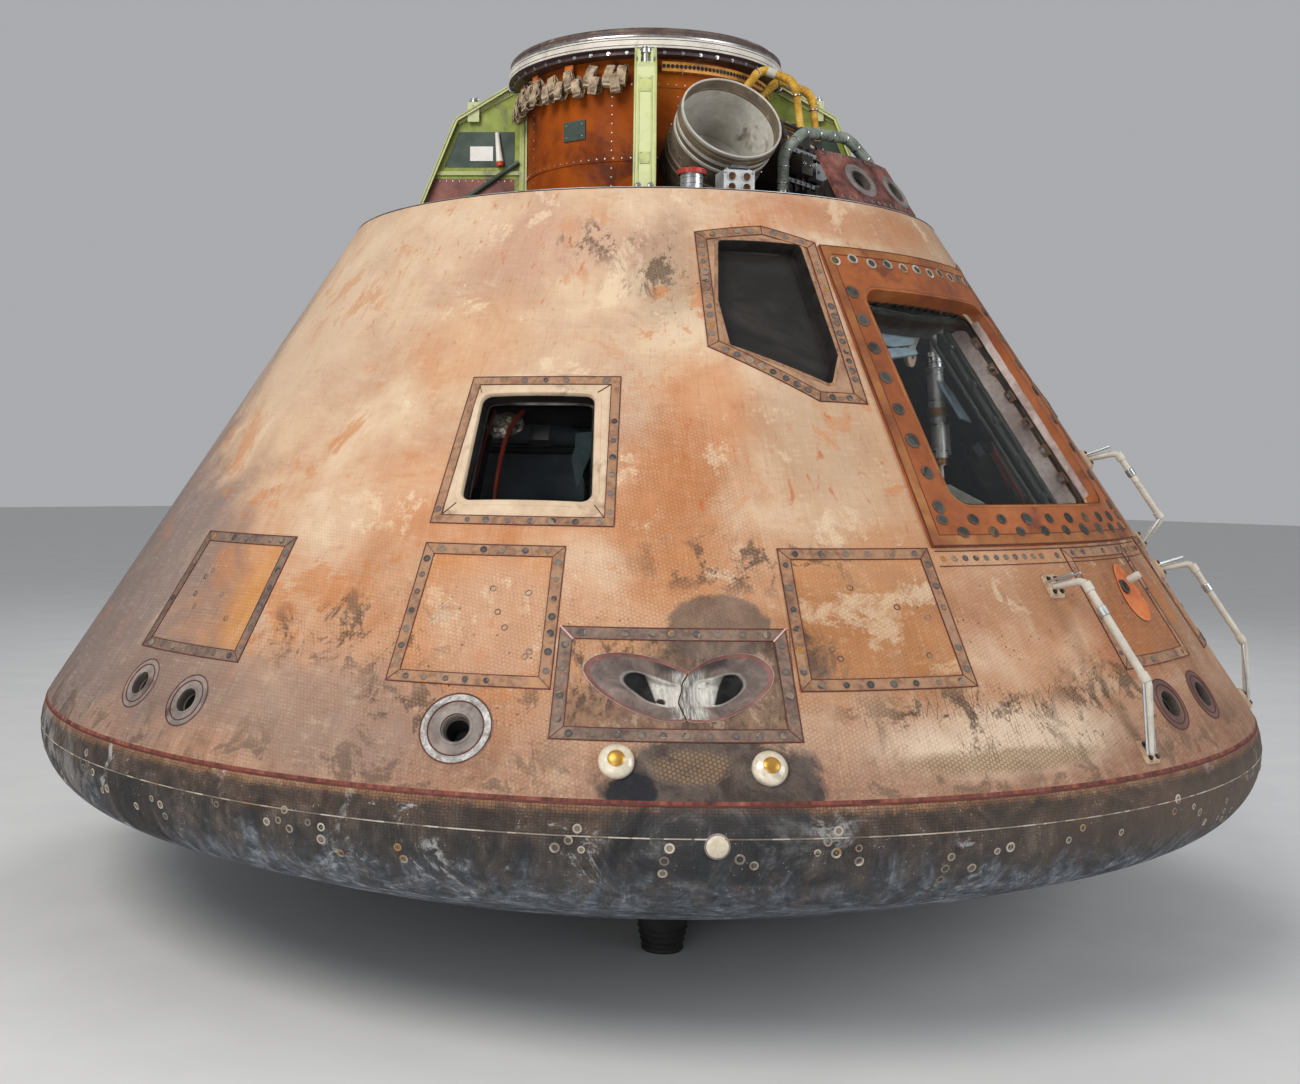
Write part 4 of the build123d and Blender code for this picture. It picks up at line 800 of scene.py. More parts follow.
    # soot round the roll engines
    for sg in (-1, 1):
        if kind == "panel":
            p4 = M.blob(az, h, sg * 37.9, 0.85, 7.4, 0.18, 0.22, small, 1.6)
            col = M.mix(M.math("MULTIPLY", p4, 0.86), col, M.ramp(mottle, [(0.38, c("262322")), (0.48, c("484039")), (0.58, c("6C5B4E")), (0.68, c("87705A"))]))
            p5 = M.blob(az, h, sg * 46.0, 0.80, 6.5, 0.075, 0.35, small, 2.0)
            col = M.mix(M.math("MULTIPLY", p5, 0.75), col, M.ramp(mottle, [(0.38, c("3E342F")), (0.48, c("6A5245")), (0.58, c("8A6A55")), (0.68, c("A0785A"))]))
            area = M.blob(az, h, sg * 41.8, 0.865, 10.0, 0.16, 0.08, mid, 0.6)
            grit = M.noise(1.0, 7, 0.78, 0.4, M.vec(M.math("MULTIPLY", az, 0.9), M.math("MULTIPLY", h, 20.0), 9.0))
            col = M.mix(M.math("MULTIPLY", area, 0.28), col, c("7C6454"))
            col = M.mix(mult(M, area, M.span(grit, 0.50, 0.58), M.span(small, 0.40, 0.56, 0.35, 1.0), 0.80), col, c("40352E"))
            col = M.mix(mult(M, area, M.span(grit, 0.40, 0.44, 1.0, 0.0), 0.5), col, c("A8907A"))
        s1 = M.blob(az, h, sg * 39.0, 0.985, 4.0, 0.072, 0.07, small, 0.55)
        col = M.mix(M.math("MULTIPLY", s1, 0.80), col, M.ramp(mottle, [(0.36, c("4A403A")), (0.5, c("5E5048")), (0.64, c("776458"))]))
        s2 = M.blob(az, h, sg * 40.0, 0.675, 7.2, 0.098, 0.12, small, 0.9)
        col = M.mix(M.math("MULTIPLY", s2, 0.88), col, M.ramp(mottle, [(0.34, c("17191D")), (0.46, c("2B2B2D")), (0.57, c("4B4642")), (0.68, c("6B6056"))]))
        s5 = M.blob(az, h, sg * 41.4, 0.705, 2.7, 0.030, 0.3, small, 1.2)
        col = M.mix(mult(M, s5, M.span(mottle, 0.40, 0.54), 0.75), col, M.mix(honey, c("84694F"), c("4A3E35")))
        s6 = M.blob(az, h, sg * 45.4, 0.655, 1.6, 0.040, 0.12, small, 0.8)
        col = M.mix(M.math("MULTIPLY", s6, 0.9), col, c("1B1D24"))
    # cracks and flaking low on the right
    crack = M.voronoi(11.0, "DISTANCE_TO_EDGE", M.vec(M.math("MULTIPLY", az, 0.17), M.math("MULTIPLY", h, 1.0), M.math("MULTIPLY", small, 0.10)))
    cz = M.blob(az, h, -16, 0.78, 14, 0.09, 0.5, mid, 1.2)
    col = M.mix(mult(M, M.span(crack, 0.006, 0.030, 1.0, 0.0), cz, M.span(small, 0.42, 0.55), 0.8), col, c("2B1A14"))
    ex = M.blob(az, h, -19, 0.70, 8, 0.022, 0.4, small, 1.8)
    col = M.mix(M.math("MULTIPLY", ex, 0.6), col, M.mix(honey, c("8F7048"), c("352A20")))
    # inside the wall: the lining, and the cut edge of the ablator
    lining = M.ramp(M.noise(9, 5), [(0.3, c("171715")), (0.5, c("2C2E2A")), (0.7, c("49473F"))])
    cut = M.ramp(M.noise(30, 4), [(0.3, c("4E382A")), (0.6, c("7A5A44"))])
    inside = M.span(depth, 0.036, 0.048)
    col = M.mix(M.span(depth, 0.004, 0.010), col, cut)
    col = M.mix(inside, col, lining)
    bump = M.math("ADD", M.math("MULTIPLY", linen, 0.8), M.math("MULTIPLY", small, 1.6))
    bump = M.math("ADD", bump, M.math("MULTIPLY", fine, 0.7))
    bump = M.math("ADD", bump, M.math("MULTIPLY", mottle, 1.2))
    bump = M.math("SUBTRACT", bump, M.math("MULTIPLY", cells, 0.9))
    rough = M.span(M.math("ADD", small, M.math("MULTIPLY", fine, 0.3)), 0.45, 0.85, 0.72, 0.92)
    M.base(col, rough, 0.0, M.bump(bump, 0.6, 0.0024), spec=0.26)
    return M.mat


def shield_material():
    M = Mat("charred_heat_shield")
    az, h = M.azimuth(), M.height()
    small = M.noise(12.0, 7, 0.7, 0.5)
    mid = M.noise(3.0, 6, 0.62, 0.6)
    fine = M.noise(70.0, 4, 0.6)
    rough_n = M.noise(26.0, 6, 0.72, 0.8)
    frost = M.noise(7.0, 8, 0.74, 1.0)
    # drips and scours run up the shoulder
    run = M.noise(1.0, 7, 0.72, 0.5, M.vec(M.math("MULTIPLY", az, 0.75), M.math("MULTIPLY", h, 5.0), 0.0))
    # honeycomb of the ablator, finer towards the seam
    vz = M.vec(M.math("MULTIPLY", az, 0.033), M.math("MULTIPLY", h, 1.25), 0.0)
    cell = M.voronoi(118.0, "DISTANCE_TO_EDGE", vz, rand=0.45)
    comb = M.span(cell, 0.02, 0.14, 1.0, 0.0)
    tone = M.math("ADD", M.math("MULTIPLY", small, 0.55), M.math("MULTIPLY", run, 0.45))
    col = M.ramp(tone, [(0.36, c("1B1A1A")), (0.46, c("302D2C")), (0.54, c("48423E")), (0.64, c("665C56"))])
    # brown band under the seam
    top = M.span(M.math("ADD", h, M.math("MULTIPLY", M.math("SUBTRACT", frost, 0.5), 0.20)), 0.520, 0.600)
    warm = M.ramp(small, [(0.34, c("2C231F")), (0.48, c("43362E")), (0.60, c("5C4B40")), (0.72, c("766456"))])
    col = M.mix(M.math("MULTIPLY", top, 0.85), col, warm)
    rim_ = M.span(M.math("ADD", h, M.math("MULTIPLY", M.math("SUBTRACT", rough_n, 0.5), 0.05)), 0.605, 0.628)
    col = M.mix(M.math("MULTIPLY", rim_, 0.75), col, M.ramp(frost, [(0.36, c("6E4E3A")), (0.5, c("92694A")), (0.66, c("AE8A6C"))]))
    col = M.mix(mult(M, comb, M.span(h, 0.46, 0.56), M.span(rough_n, 0.34, 0.55, 0.35, 1.0), 0.62), col, c("2A2320"))
    # pale blue-grey frost low down, broken into specks and patches
    low = M.span(M.math("ADD", h, M.math("MULTIPLY", M.math("SUBTRACT", run, 0.5), 0.42)), 0.36, 0.52, 1.0, 0.0)
    pale = M.ramp(M.math("ADD", M.math("MULTIPLY", frost, 0.55), M.math("MULTIPLY", rough_n, 0.45)),
                  [(0.40, c("2A2D31")), (0.49, c("525962")), (0.56, c("808791")), (0.66, c("B4B8BC"))])
    col = M.mix(M.math("MULTIPLY", low, 0.85), col, pale)
    ash = mult(M, M.span(frost, 0.545, 0.60), M.span(mid, 0.46, 0.58), M.span(rough_n, 0.42, 0.56))
    col = M.mix(M.math("MULTIPLY", ash, 0.75), col, c("A7A8A8"))
    col = M.mix(mult(M, M.blob(az, h, -112, 0.50, 18, 0.13, 0.5, mid, 1.0), M.span(frost, 0.44, 0.56), 0.75), col, c("959390"))
    col = M.mix(M.math("MULTIPLY", M.blob(az, h, 20, 0.53, 34, 0.08, 0.6, mid, 1.0), 0.45), col, c("6E5A4C"))
    # smooth dark repairs
    for a0, a1, h0, h1 in ((-88.5, -82.5, 0.40, 0.565), (58, 63, 0.42, 0.56), (140, 147, 0.40, 0.56)):
        u = mult(M, M.span(az, a0 - 0.15, a0 + 0.15), M.span(az, a1 - 0.15, a1 + 0.15, 1.0, 0.0), M.span(h, h0 - 0.01, h0 + 0.01), M.span(h, h1 - 0.004, h1 + 0.004, 1.0, 0.0))
        col = M.mix(M.math("MULTIPLY", u, 0.85), col, M.ramp(run, [(0.4, c("201E1E")), (0.6, c("36322F"))]))
    for sg in (-1, 1):
        s2 = M.blob(az, h, sg * 40.0, 0.56, 7.2, 0.11, 0.2, small, 1.4)
        col = M.mix(M.math("MULTIPLY", s2, 0.75), col, M.ramp(frost, [(0.38, c("16181C")), (0.52, c("2F3134")), (0.66, c("5E5E5C"))]))
    speck = M.span(M.voronoi(90.0), 0.05, 0.16, 1.0, 0.0)
    col = M.mix(mult(M, speck, M.span(small, 0.48, 0.6), 0.7), col, c("C4C2BE"))
    bump = M.math("ADD", M.math("MULTIPLY", small, 2.0), M.math("MULTIPLY", fine, 1.0))
    bump = M.math("ADD", bump, M.math("MULTIPLY", rough_n, 1.4))
    bump = M.math("SUBTRACT", bump, M.math("MULTIPLY", comb, 0.5))
    M.base(col, M.span(small, 0.35, 0.7, 0.62, 0.92), 0.0, M.bump(bump, 0.7, 0.003), spec=0.3)
    return M.mat


def give(node, mat):
    o = NODES[node]
    if hasattr(o, "data"):
        for i in range(len(o.data.materials)):
            o.data.materials[i] = mat
        if not len(o.data.materials):
            o.data.materials.append(mat)


shell_mat = cone_material("scorched_skin", "shell")
panel_mat = cone_material("scorched_panels", "panel")
shield_mat = shield_material()



# ------------------------------------------------------------------ borders, lines and plugs of the panels
lip_pink0 = worn("pale_pink_line", [(0.3, c("A98078")), (0.7, c("CDA89C"))], 12, (0.6, 0.8), 0.0, 0.2, 120, 0.0006)


def mirror(corners, side):
    """Corners are for the port side; side 1 mirrors them to starboard."""
    return corners if side < 0 else [(-a, h) for a, h in corners][::-1]


def round_loop(corners, r, seg=7, step=0.05):
    P = [unroll(*q) for q in corners]
    area = sum(p.x * q.y - q.x * p.y for p, q in zip(P, P[1:] + P[:1]))
    if area < 0:
        P = P[::-1]
    rr = r if isinstance(r, (list, tuple)) else [r] * len(P)
    out = []
    n = len(P)
    for i in range(n):
        a, b, d = P[i - 1], P[i], P[(i + 1) % n]
        u, v = unit(a - b), unit(d - b)
        ang = u.angle(v)
        cutl = rr[i] / math.tan(ang / 2)
        mid = b + unit(u + v) * (rr[i] / math.sin(ang / 2))
        s, e = b + u * cutl, b + v * cutl
        a0 = math.atan2(s.y - mid.y, s.x - mid.x)
        a1 = math.atan2(e.y - mid.y, e.x - mid.x)
        while a1 < a0:
            a1 += 2 * math.pi
        if a1 - a0 > math.pi:
            a1 -= 2 * math.pi
        for k in range(seg + 1):
            t = a0 + (a1 - a0) * k / seg
            out.append(mid + Vector((math.cos(t), math.sin(t))) * rr[i])
        nxt = P[(i + 1) % n]
        w = unit(nxt - b)
        a2, d2 = b, P[(i + 2) % n]
        ang2 = unit(b - nxt).angle(unit(d2 - nxt))
        end = nxt - w * (rr[(i + 1) % n] / math.tan(ang2 / 2))
        L = (end - e).length
        m = int(L / step)
        for k in range(1, m):
            out.append(e.lerp(end, k / m))
    return out


def rim(piece, loop, prof, mats):
    """Sweeps a profile of (inset, out) round a closed loop, from its outer side inwards."""
    rows = []
    for d, out in prof:
        k = len(piece.v)
        piece.v.extend(on_skin(p, out) for p in (inset(loop, d) if d else loop))
        rows.append(k)
    n = len(loop)
    for q in range(len(rows) - 1):
        a, b = rows[q], rows[q + 1]
        for i in range(n):
            j = (i + 1) % n
            piece.f.append([a + i, a + j, b + j, b + i])
            piece.mi.append(mats[q])


def framed(piece, corners, w, top=0.0012, gap=0.045, r=0.0078, line=0.0023, mitre=True, sides=None, skip=0.12, seg=14, clear=None):
    """A border strip between two thin maroon lines, with mitred corners and a row of plugs.
    Materials: 0 strip, 1 line, 2 plug ring, 3 plug core."""
    loop, idx = edge_loop(corners, 0.045, clear if clear is not None else w * 1.35)
    inner = inset(loop, w)
    band(piece, inset(loop, line * 0.5), inner, top, 0)
    band(piece, loop, inset(loop, line), top + 0.0011, 1)
    band(piece, inner, inset(loop, w + line * 0.8), top + 0.0009, 1)
    if mitre:
        for i in idx:
            stroke(piece, loop[i], inner[i], line * 0.7, top + 0.0009, 1)
    mid = inset(loop, w * 0.52)
    plug_row(piece, mid, idx, gap, r, top + 0.0016, 2, 3, ends=w * 1.1, skip=skip, sides=sides, seg=seg)
    return loop, idx


for sd in (-1, 1):
    tag = "port" if sd < 0 else "starboard"
    for nm, a0, a1, h0, h1 in (("a", -92.7, -78.2, 0.855, 1.160), ("b", -63.9, -51.25, 0.850, 1.160), ("c", -33.45, -19.2, 0.852, 1.161)):
        P = Piece("panel_%s_border_%s" % (nm, tag), strip_m if nm != "a" else strip_grey, maroon, plug_ring, plug_core)
        cs = mirror([(a0, h0), (a1, h0), (a1, h1), (a0, h1)], sd)
        framed(P, cs, 0.029, gap=0.044 if nm == "b" else 0.052)
        # stray round repair marks inside the panel
        lo, hi = min(q[0] for q in cs), max(q[0] for q in cs)
        for k in range(6):
            p = unroll(lo + (hi - lo) * rnd.uniform(0.2, 0.85), h0 + (h1 - h0) * rnd.uniform(0.2, 0.85))
            f = fr_on(p)
            P.lathe(f, [(0.0078, -0.001), (0.0078, 0.0010), (0.0060, 0.0012), (0.0056, -0.001)], 14, 2)
        P.done()
    # the border of the roll engine panel, beside and between panels b and c
    P = Piece("roll_panel_border_%s" % tag, strip_grey, maroon, plug_ring, plug_core, lip_pink0)
    cs = mirror([(-51.05, 0.7515), (-33.8, 0.7515), (-33.8, 0.984), (-51.05, 0.984)], sd)
    loop, idx = framed(P, cs, 0.030, gap=0.047)
    inner = inset(loop, 0.033)
    for q in (2, 3):
        a = loop[idx[q]]
        stroke(P, a, a.lerp(inner[idx[q]], 1.0), 0.0040, 0.0030, 4)
    P.done()

# panel d beside the hatch foot: borders left, top and bottom, plus its oval handle recess
P = Piece("panel_d_border", strip_m, maroon, plug_ring, plug_core)
framed(P, [(-2.2, 0.857), (11.8, 0.857), (11.8, 1.153), (-2.2, 1.153)], 0.030, gap=0.05, skip=0.3)
P.done()
bronze0 = worn("latch_bronze", [(0.28, c("4E3828")), (0.5, c("7A5A40")), (0.72, c("A07E5C"))], 12, (0.35, 0.6), 0.4, 0.25, 130, 0.0007)
recess_m = worn("bright_recess", [(0.25, c("8A3E18")), (0.5, c("C0662E")), (0.8, c("D98A4C"))], 9, (0.5, 0.75), 0.0, 0.35, 90, 0.001)
P = Piece("panel_d_fittings", recess_m, maroon, dark_ring, white_paint, recess_shade_and_dial_black)
ctr = unroll(6.6, 1.03)
leaf = []
for k in range(28):
    t = 2 * math.pi * k / 28
    leaf.append(ctr + Vector((0.062 * math.cos(t) * (1 - 0.25 * math.sin(t)), 0.088 * math.sin(t))))
rim(P, leaf, [(0.0, -0.001), (0.0, 0.0025), (0.006, 0.0035), (0.013, 0.0005), (0.020, 0.0008)], [1, 0, 0, 0])
P.v.extend(on_skin(p, 0.0008) for p in inset(leaf, 0.020))
P.f.append(list(range(len(P.v) - 28, len(P.v))))
P.mi.append(0)
# painted shade: the middles of the round fitting and of the small maroon ring are painted black for the shade in their
# holes
P.lathe(fr_on(unroll(5.7, 1.045)), [(0.021, 0.0), (0.021, 0.006), (0.016, 0.008), (0.0135, 0.002), (0.0, 0.0012)], 22, mats=[2, 2, 2, 4])
P.lathe(fr_on(unroll(7.9, 1.06)), [(0.011, 0.0), (0.011, 0.030), (0.009, 0.034), (0, 0.0345)], 18, 3)
P.lathe(fr_on(unroll(8.7, 1.02)), [(0.007, 0.0), (0.007, 0.0022), (0.0045, 0.0022), (0.004, -0.0005), (0, -0.0005)], 14, mats=[1, 1, 4, 4])
P.done()

# ------------------------------------------------------------------ windows
SIDE_OUT = [(-64.15, 1.206), (-47.25, 1.206), (-47.25, 1.578), (-64.15, 1.578)]
SIDE_GL = [(-61.9, 1.262), (-49.3, 1.262), (-49.9, 1.533), (-62.6, 1.533)]
RV_OUT = [(-37.7, 1.988), (-27.3, 2.014), (-18.95, 1.974), (-19.9, 1.517), (-25.7, 1.521), (-37.5, 1.660)]
RV_GL = [(-34.3, 1.966), (-21.6, 1.964), (-21.55, 1.649), (-23.6, 1.567), (-34.8, 1.667), (-35.5, 1.791)]
gasket = worn("window_gasket", [(0.3, c("0C0B0A")), (0.6, c("1C1715")), (0.85, c("3A2A20"))], 12, (0.35, 0.6), 0.0, 0.2, 120, 0.0006)
tube_red = worn("red_window_tube", [(0.3, c("8E2414")), (0.6, c("C2431F")), (0.85, c("D8643A"))], 10, (0.35, 0.55), 0.0, 0.15, 160, 0.0004)
teal_cloth = worn("teal_cloth", [(0.3, c("5E7A78")), (0.5, c("84A09C")), (0.7, c("A6BCB8"))], 14, (0.7, 0.9), 0.0, 0.35, 90, 0.001)
foil_m = worn("crumpled_foil", [(0.3, c("A8A294")), (0.5, c("DAD2C0")), (0.7, c("F6F0E2"))], 26, (0.08, 0.2), 0.7, 0.6, 60, 0.003)
for sd in (-1, 1):
    tag = "port" if sd < 0 else "starboard"
    P = Piece("side_window_border_" + tag, strip_m, maroon, plug_ring, plug_core, cream_bevel, gasket)
    cs = mirror(SIDE_OUT, sd)
    loop, idx = framed(P, cs, 0.024, gap=0.05, mitre=False, skip=0.3)
    gl = mirror(SIDE_GL, sd)
    g = round_loop(gl, 0.028)
    rim(P, g, [(-0.016, -0.0005), (-0.014, 0.0012), (-0.004, 0.0016), (0.0, 0.0004), (0.0025, -0.003), (0.0035, -0.010), (0.005, -0.037), (0.012, -0.0385)],
        [4, 4, 4, 4, 4, 5, 5])
    # mitre lines across the bevel
    inner = inset(loop, 0.024)
    G = [unroll(*q) for q in gl]
    for i in idx:
        a = inner[i]
        b = min(G, key=lambda q: (q - a).length)
        stroke(P, a, a.lerp(b, 0.86), 0.0018, 0.0016, 1)
    P.done(bevel=0.0)
    # bent red tube and a small instrument behind the glass
    P = Piece("side_window_inside_" + tag, tube_red, alu, recess_shade_and_dial_black, teal_cloth, foil_m)
    q = [(-58.7, 1.535, -0.080), (-59.5, 1.505, -0.075), (-59.95, 1.44, -0.072), (-59.8, 1.36, -0.070), (-59.5, 1.29, -0.075), (-58.9, 1.262, -0.085)]
    pts = [skin(-sd * a, h, o) if sd > 0 else skin(a, h, o) for a, h, o in q]
    P.tube(arc_points(pts, [0.025] * 4), 0.0065, 10, 0)
    q = [(-62.0, 1.53, -0.070), (-62.2, 1.44, -0.066), (-62.0, 1.33, -0.066)]
    pts = [skin(-sd * a, h, o) if sd > 0 else skin(a, h, o) for a, h, o in q]
    P.tube(pts, 0.0035, 8, 0)
    # crumpled foil in the upper corner, hanging cloth on the other side, a lamp wire
    g = skin_fr(-60.6 * -sd, 1.500, -0.085)
    k0 = len(P.v)
    P.v.append(g(0, 0, 0))
    for i in range(1, 8):
        for j in range(26):
            t = 2 * math.pi * (j + 0.5 * (i % 2)) / 26
            P.v.append(g(0.0072 * i * math.cos(t), 0.0058 * i * math.sin(t), rnd.uniform(-0.0055, 0.0055)))
    for j in range(26):
        P.f.append([k0, k0 + 1 + j, k0 + 1 + (j + 1) % 26])
        P.mi.append(4)
    for i in range(6):
        for j in range(26):
            a, b = k0 + 1 + 26 * i + j, k0 + 1 + 26 * i + (j + 1) % 26
            P.f.append([a, a + 26, b + 26, b])
            P.mi.append(4)
    g = skin_fr(-51.6 * -sd, 1.43, -0.11)
    cloth = [(-0.020, 0.075), (0.022, 0.078), (0.028, 0.02), (0.012, -0.04), (0.002, -0.105), (-0.012, -0.05), (-0.024, 0.0), (-0.016, 0.03)]
    P.prism(g, [(x * -sd, y) for x, y in cloth] if sd < 0 else [(x, y) for x, y in cloth[::-1]], -0.003, 0.003, 3)
    a0 = -57.3 if sd < 0 else 57.3
    f = skin_fr(a0, 1.515, -0.16)
    P.box(f, (0, 0, 0), (0.055, 0.045, 0.03), 1)
    P.lathe(skin_fr(a0 - 2.2 * sd, 1.285, -0.12), [(0.0, -0.014), (0.012, -0.009), (0.0165, 0), (0.012, 0.009), (0, 0.014)], 16, 1)
    P.done()

    P = Piece("rendezvous_window_border_" + tag, strip_m, maroon, plug_ring, plug_core, cream_bevel, gasket, tube_red)
    cs = mirror(RV_OUT, sd)
    loop, idx = framed(P, cs, 0.030, gap=0.030, r=0.0088, mitre=True, skip=0.08, clear=0.045)
    g = round_loop(mirror(RV_GL, sd), [0.014] * 6)
    rim(P, g, [(-0.010, -0.0005), (-0.009, 0.0014), (-0.002, 0.0014), (0.0, 0.0002), (0.002, -0.004), (0.003, -0.042), (0.010, -0.0435)], [0, 0, 0, 5, 5, 5])
    # layered sill along the slanted lower edge
    by = lambda az, h: unroll(az * (1 if sd < 0 else -1), h)
    p, q = by(-34.6, 1.667), by(-23.7, 1.570)
    for k, (mt, dd) in enumerate(((4, 0.004), (6, 0.010), (2, 0.016), (1, 0.022))):
        up = Vector((0, 1)) * dd
        a = [p + up, q + up]
        for j in range(8):
            u, v = a[0].lerp(a[1], j / 8), a[0].lerp(a[1], (j + 1) / 8)
            stroke(P, u, v, 0.0055, -0.008 - 0.006 * k, mt, low=-0.042)
    P.done()

# ------------------------------------------------------------------ hatch frame
FR_OUT = [(-18.75, 1.161), (18.75, 1.161), (18.75, 1.963), (-18.75, 1.963)]
hatch_in = worn("hatch_vivid", [(0.26, c("58260C")), (0.42, c("804014")), (0.56, c("985220")), (0.72, c("A46A3E"))], 4.2, (0.55, 0.8), 0.0, 0.4, 150, 0.001,
                dirt=c("6A3014"), dirt_amount=0.25, dirt_scale=5)
P = Piece("hatch_frame_plugs", hatch_strip, maroon, dark_ring, dark_core, pale_ring, pale_core, cream_bevel)
loop, idx = edge_loop(FR_OUT, 0.045, 0.07)
PR = 0.009


def fout(x):
    return PR + x


band(P, loop, inset(loop, 0.0030), fout(0.0013), 1, low=PR - 0.001)
band(P, inset(loop, 0.0028), inset(loop, 0.030), fout(0.0007), 0, low=PR - 0.001)
band(P, inset(loop, 0.030), inset(loop, 0.0322), fout(0.0011), 1, low=PR - 0.001)


def fplug(az, h, r, a, b, long=1.0, turn=0.0):
    f = fr_on(unroll(az, h), PR, turn)
    if long != 1.0:
        f = Fr(f.o, f.x, f.y * long, f.z)
    P.lathe(f, [(r, -0.001), (r, 0.0026), (r * 0.82, 0.0034), (r * 0.66, 0.0024), (r * 0.6, 0.0012), (r * 0.25, 0.0016), (0, 0.0020)], 18,
            mats=[a, a, a, b, b, b])


# left jamb: one column of dark plugs; right jamb: a column of smaller dark plugs
h = 1.255
while h < 1.90:
    fplug(-16.3 + rnd.uniform(-0.2, 0.2), h, 0.0185 * rnd.uniform(0.9, 1.08), 2, 3, 1.12)
    fplug(16.4 + rnd.uniform(-0.15, 0.15), h, 0.0150 * rnd.uniform(0.9, 1.08), 2, 3, 1.1)
    h += 0.096 * CA * rnd.uniform(0.95, 1.05)
a = -17.0
while a < 17.2:
    fplug(a, 1.922 + rnd.uniform(-0.006, 0.006), 0.0170, 4, 3, 1.0)
    a += 3.3
a = -16.6
k = 0
while a < 17.0:
    fplug(a, 1.193 if k % 2 else 1.224, 0.0180 * rnd.uniform(0.85, 1.1), 2, 3, 0.9)
    a += 1.85
    k += 1
# raised lip round the opening, with its gasket
right_ = [(12.2, 1.2620), (12.5, 1.2625), (12.9, 1.2644), (13.2, 1.2676), (13.5, 1.2722), (13.75, 1.2765), (13.95, 1.2820), (14.12, 1.2880),
          (14.25, 1.2950), (14.32, 1.3030)] + [(14.36, 1.3085 + 0.4919 * k / 12) for k in range(13)] + \
         [(14.28, 1.8074), (14.10, 1.8165), (13.9, 1.8253), (13.6, 1.8319), (13.2, 1.8377), (12.7, 1.8423), (12.0, 1.8455)]
way = [unroll(*q) for q in right_ + [(12.0 - 1.2 * k, 1.8460) for k in range(1, 20)] + [(-a_, hh) for a_, hh in right_[::-1]] +
       [(-12.2 + 1.22 * k, 1.2620) for k in range(1, 20)]]
rim(P, way, [(-0.010, PR - 0.001), (-0.009, PR + 0.0010), (-0.003, PR + 0.0006), (-0.0005, PR - 0.002)], [0, 0, 1])
P.done()
jamb_m = worn("pink_silver_jamb", [(0.26, c("5C4C48")), (0.44, c("8E7C76")), (0.58, c("B5A6A0")), (0.74, c("CFC4BE"))], 9, (0.35, 0.6), 0.35, 0.3, 120, 0.0008, dirt=c("6A4434"), dirt_amount=0.35)
P = Piece("hatch_reveal", dark_metal, cream_bevel, rubber_black, bronze0, steel, jamb_m, hatch_in)
rim(P, inset(way, 0.0012), [(0.0, PR - 0.0025), (0.0, -0.012), (0.0004, -0.026), (0.0014, -0.030), (0.0014, -0.034), (0.0, -0.036)], [6, 6, 1, 1, 2])
# worn bright band and sealing strip down the right jamb, both in the pink-silver jamb finish
for a_lo, a_hi, z_lo, z_hi, mt in ((14.20, 14.08, -0.0125, -0.0345, 5), (13.95, 13.15, -0.050, -0.098, 5)):
    n = 24
    k0 = len(P.v)
    for i in range(n + 1):
        hh = 1.285 + (1.815 - 1.285) * i / n
        for a_, z_ in ((a_lo, z_lo), (a_hi, z_hi)):
            P.v.append(skin(a_, hh, z_ + 0.0006 * math.sin(i * 2.1)))
    for i in range(n):
        a = k0 + 2 * i
        P.f.append([a, a + 1, a + 3, a + 2][::-1])
        P.mi.append(mt)
# screws along the top inside face, and latch fittings on the right jamb
for az in [x * 1.9 - 11.4 for x in range(13)]:
    f = skin_fr(az, 1.838, -0.045)
    g = Fr(f.o, f.x, f.z, f.y * -1)
    P.bolt(g, 0.006, 0.006, 0)
for hh in (1.36, 1.44, 1.52, 1.60, 1.68, 1.76):
    f = skin_fr(14.15, hh, -0.052)
    P.box(f, (-0.010, 0, 0), (0.016, 0.034, 0.020), 3)
    P.lathe(Fr(f(-0.018, 0, 0), f.y, f.z, f.x * -1), [(0.0, 0.004), (0.009, 0.004), (0.009, -0.004), (0, -0.004)][::-1], 14, 4)
P.done()

# light blue plates, dark bars and their brackets behind the clear cover
blue_m = worn("pale_blue_fittings", [(0.28, c("5A6A74")), (0.46, c("8296A0")), (0.6, c("9DB0B8")), (0.76, c("B8C6CC"))], 10, (0.35, 0.6), 0.1, 0.25, 110, 0.0008, dirt=c("3E464C"), dirt_amount=0.3)
bar_m = worn("green_black_bars", [(0.28, c("10140F")), (0.5, c("22291F")), (0.74, c("3B443A"))], 10, (0.35, 0.6), 0.2, 0.25, 120, 0.0007)
P = Piece("hatch_inner_fittings", blue_m, bar_m, steel, cream_bevel)


def plate(corners, z, t, mat):
    """A thin plate behind the opening; corners are azimuth and height."""
    lo_ = [skin(a_, hh, z - t) for a_, hh in corners]
    hi_ = [skin(a_, hh, z) for a_, hh in corners]
    n = len(corners)
    P.add(lo_ + hi_, [[n + i for i in range(n)], list(range(n))[::-1]] + [[i, (i + 1) % n, n + (i + 1) % n, n + i] for i in range(n)], mat)


plate([(-8.0, 1.800), (-2.5, 1.785), (3.5, 1.800), (6.0, 1.835), (4.0, 1.862), (-4.0, 1.866), (-8.0, 1.862)], -0.150, 0.006, 0)
plate([(-6.0, 1.745), (-2.0, 1.755), (2.6, 1.768), (2.9, 1.786), (-2.5, 1.780), (-6.0, 1.772)], -0.145, 0.010, 0)
plate([(10.4, 1.61), (14.2, 1.60), (14.2, 1.69), (12.6, 1.735), (10.6, 1.725)], -0.190, 0.005, 0)
plate([(-2.6, 1.262), (0.2, 1.262), (-1.0, 1.325), (-2.4, 1.345)], -0.165, 0.005, 0)
for a0_, a1_, z_, r_ in ((12.0, 11.2, -0.120, 0.0105), (10.4, 9.0, -0.135, 0.007), (12.9, 12.3, -0.104, 0.006)):
    P.tube([skin(a0_ + (a1_ - a0_) * i / 10, 1.285 + 0.535 * i / 10, z_) for i in range(11)], r_, 12, 1)
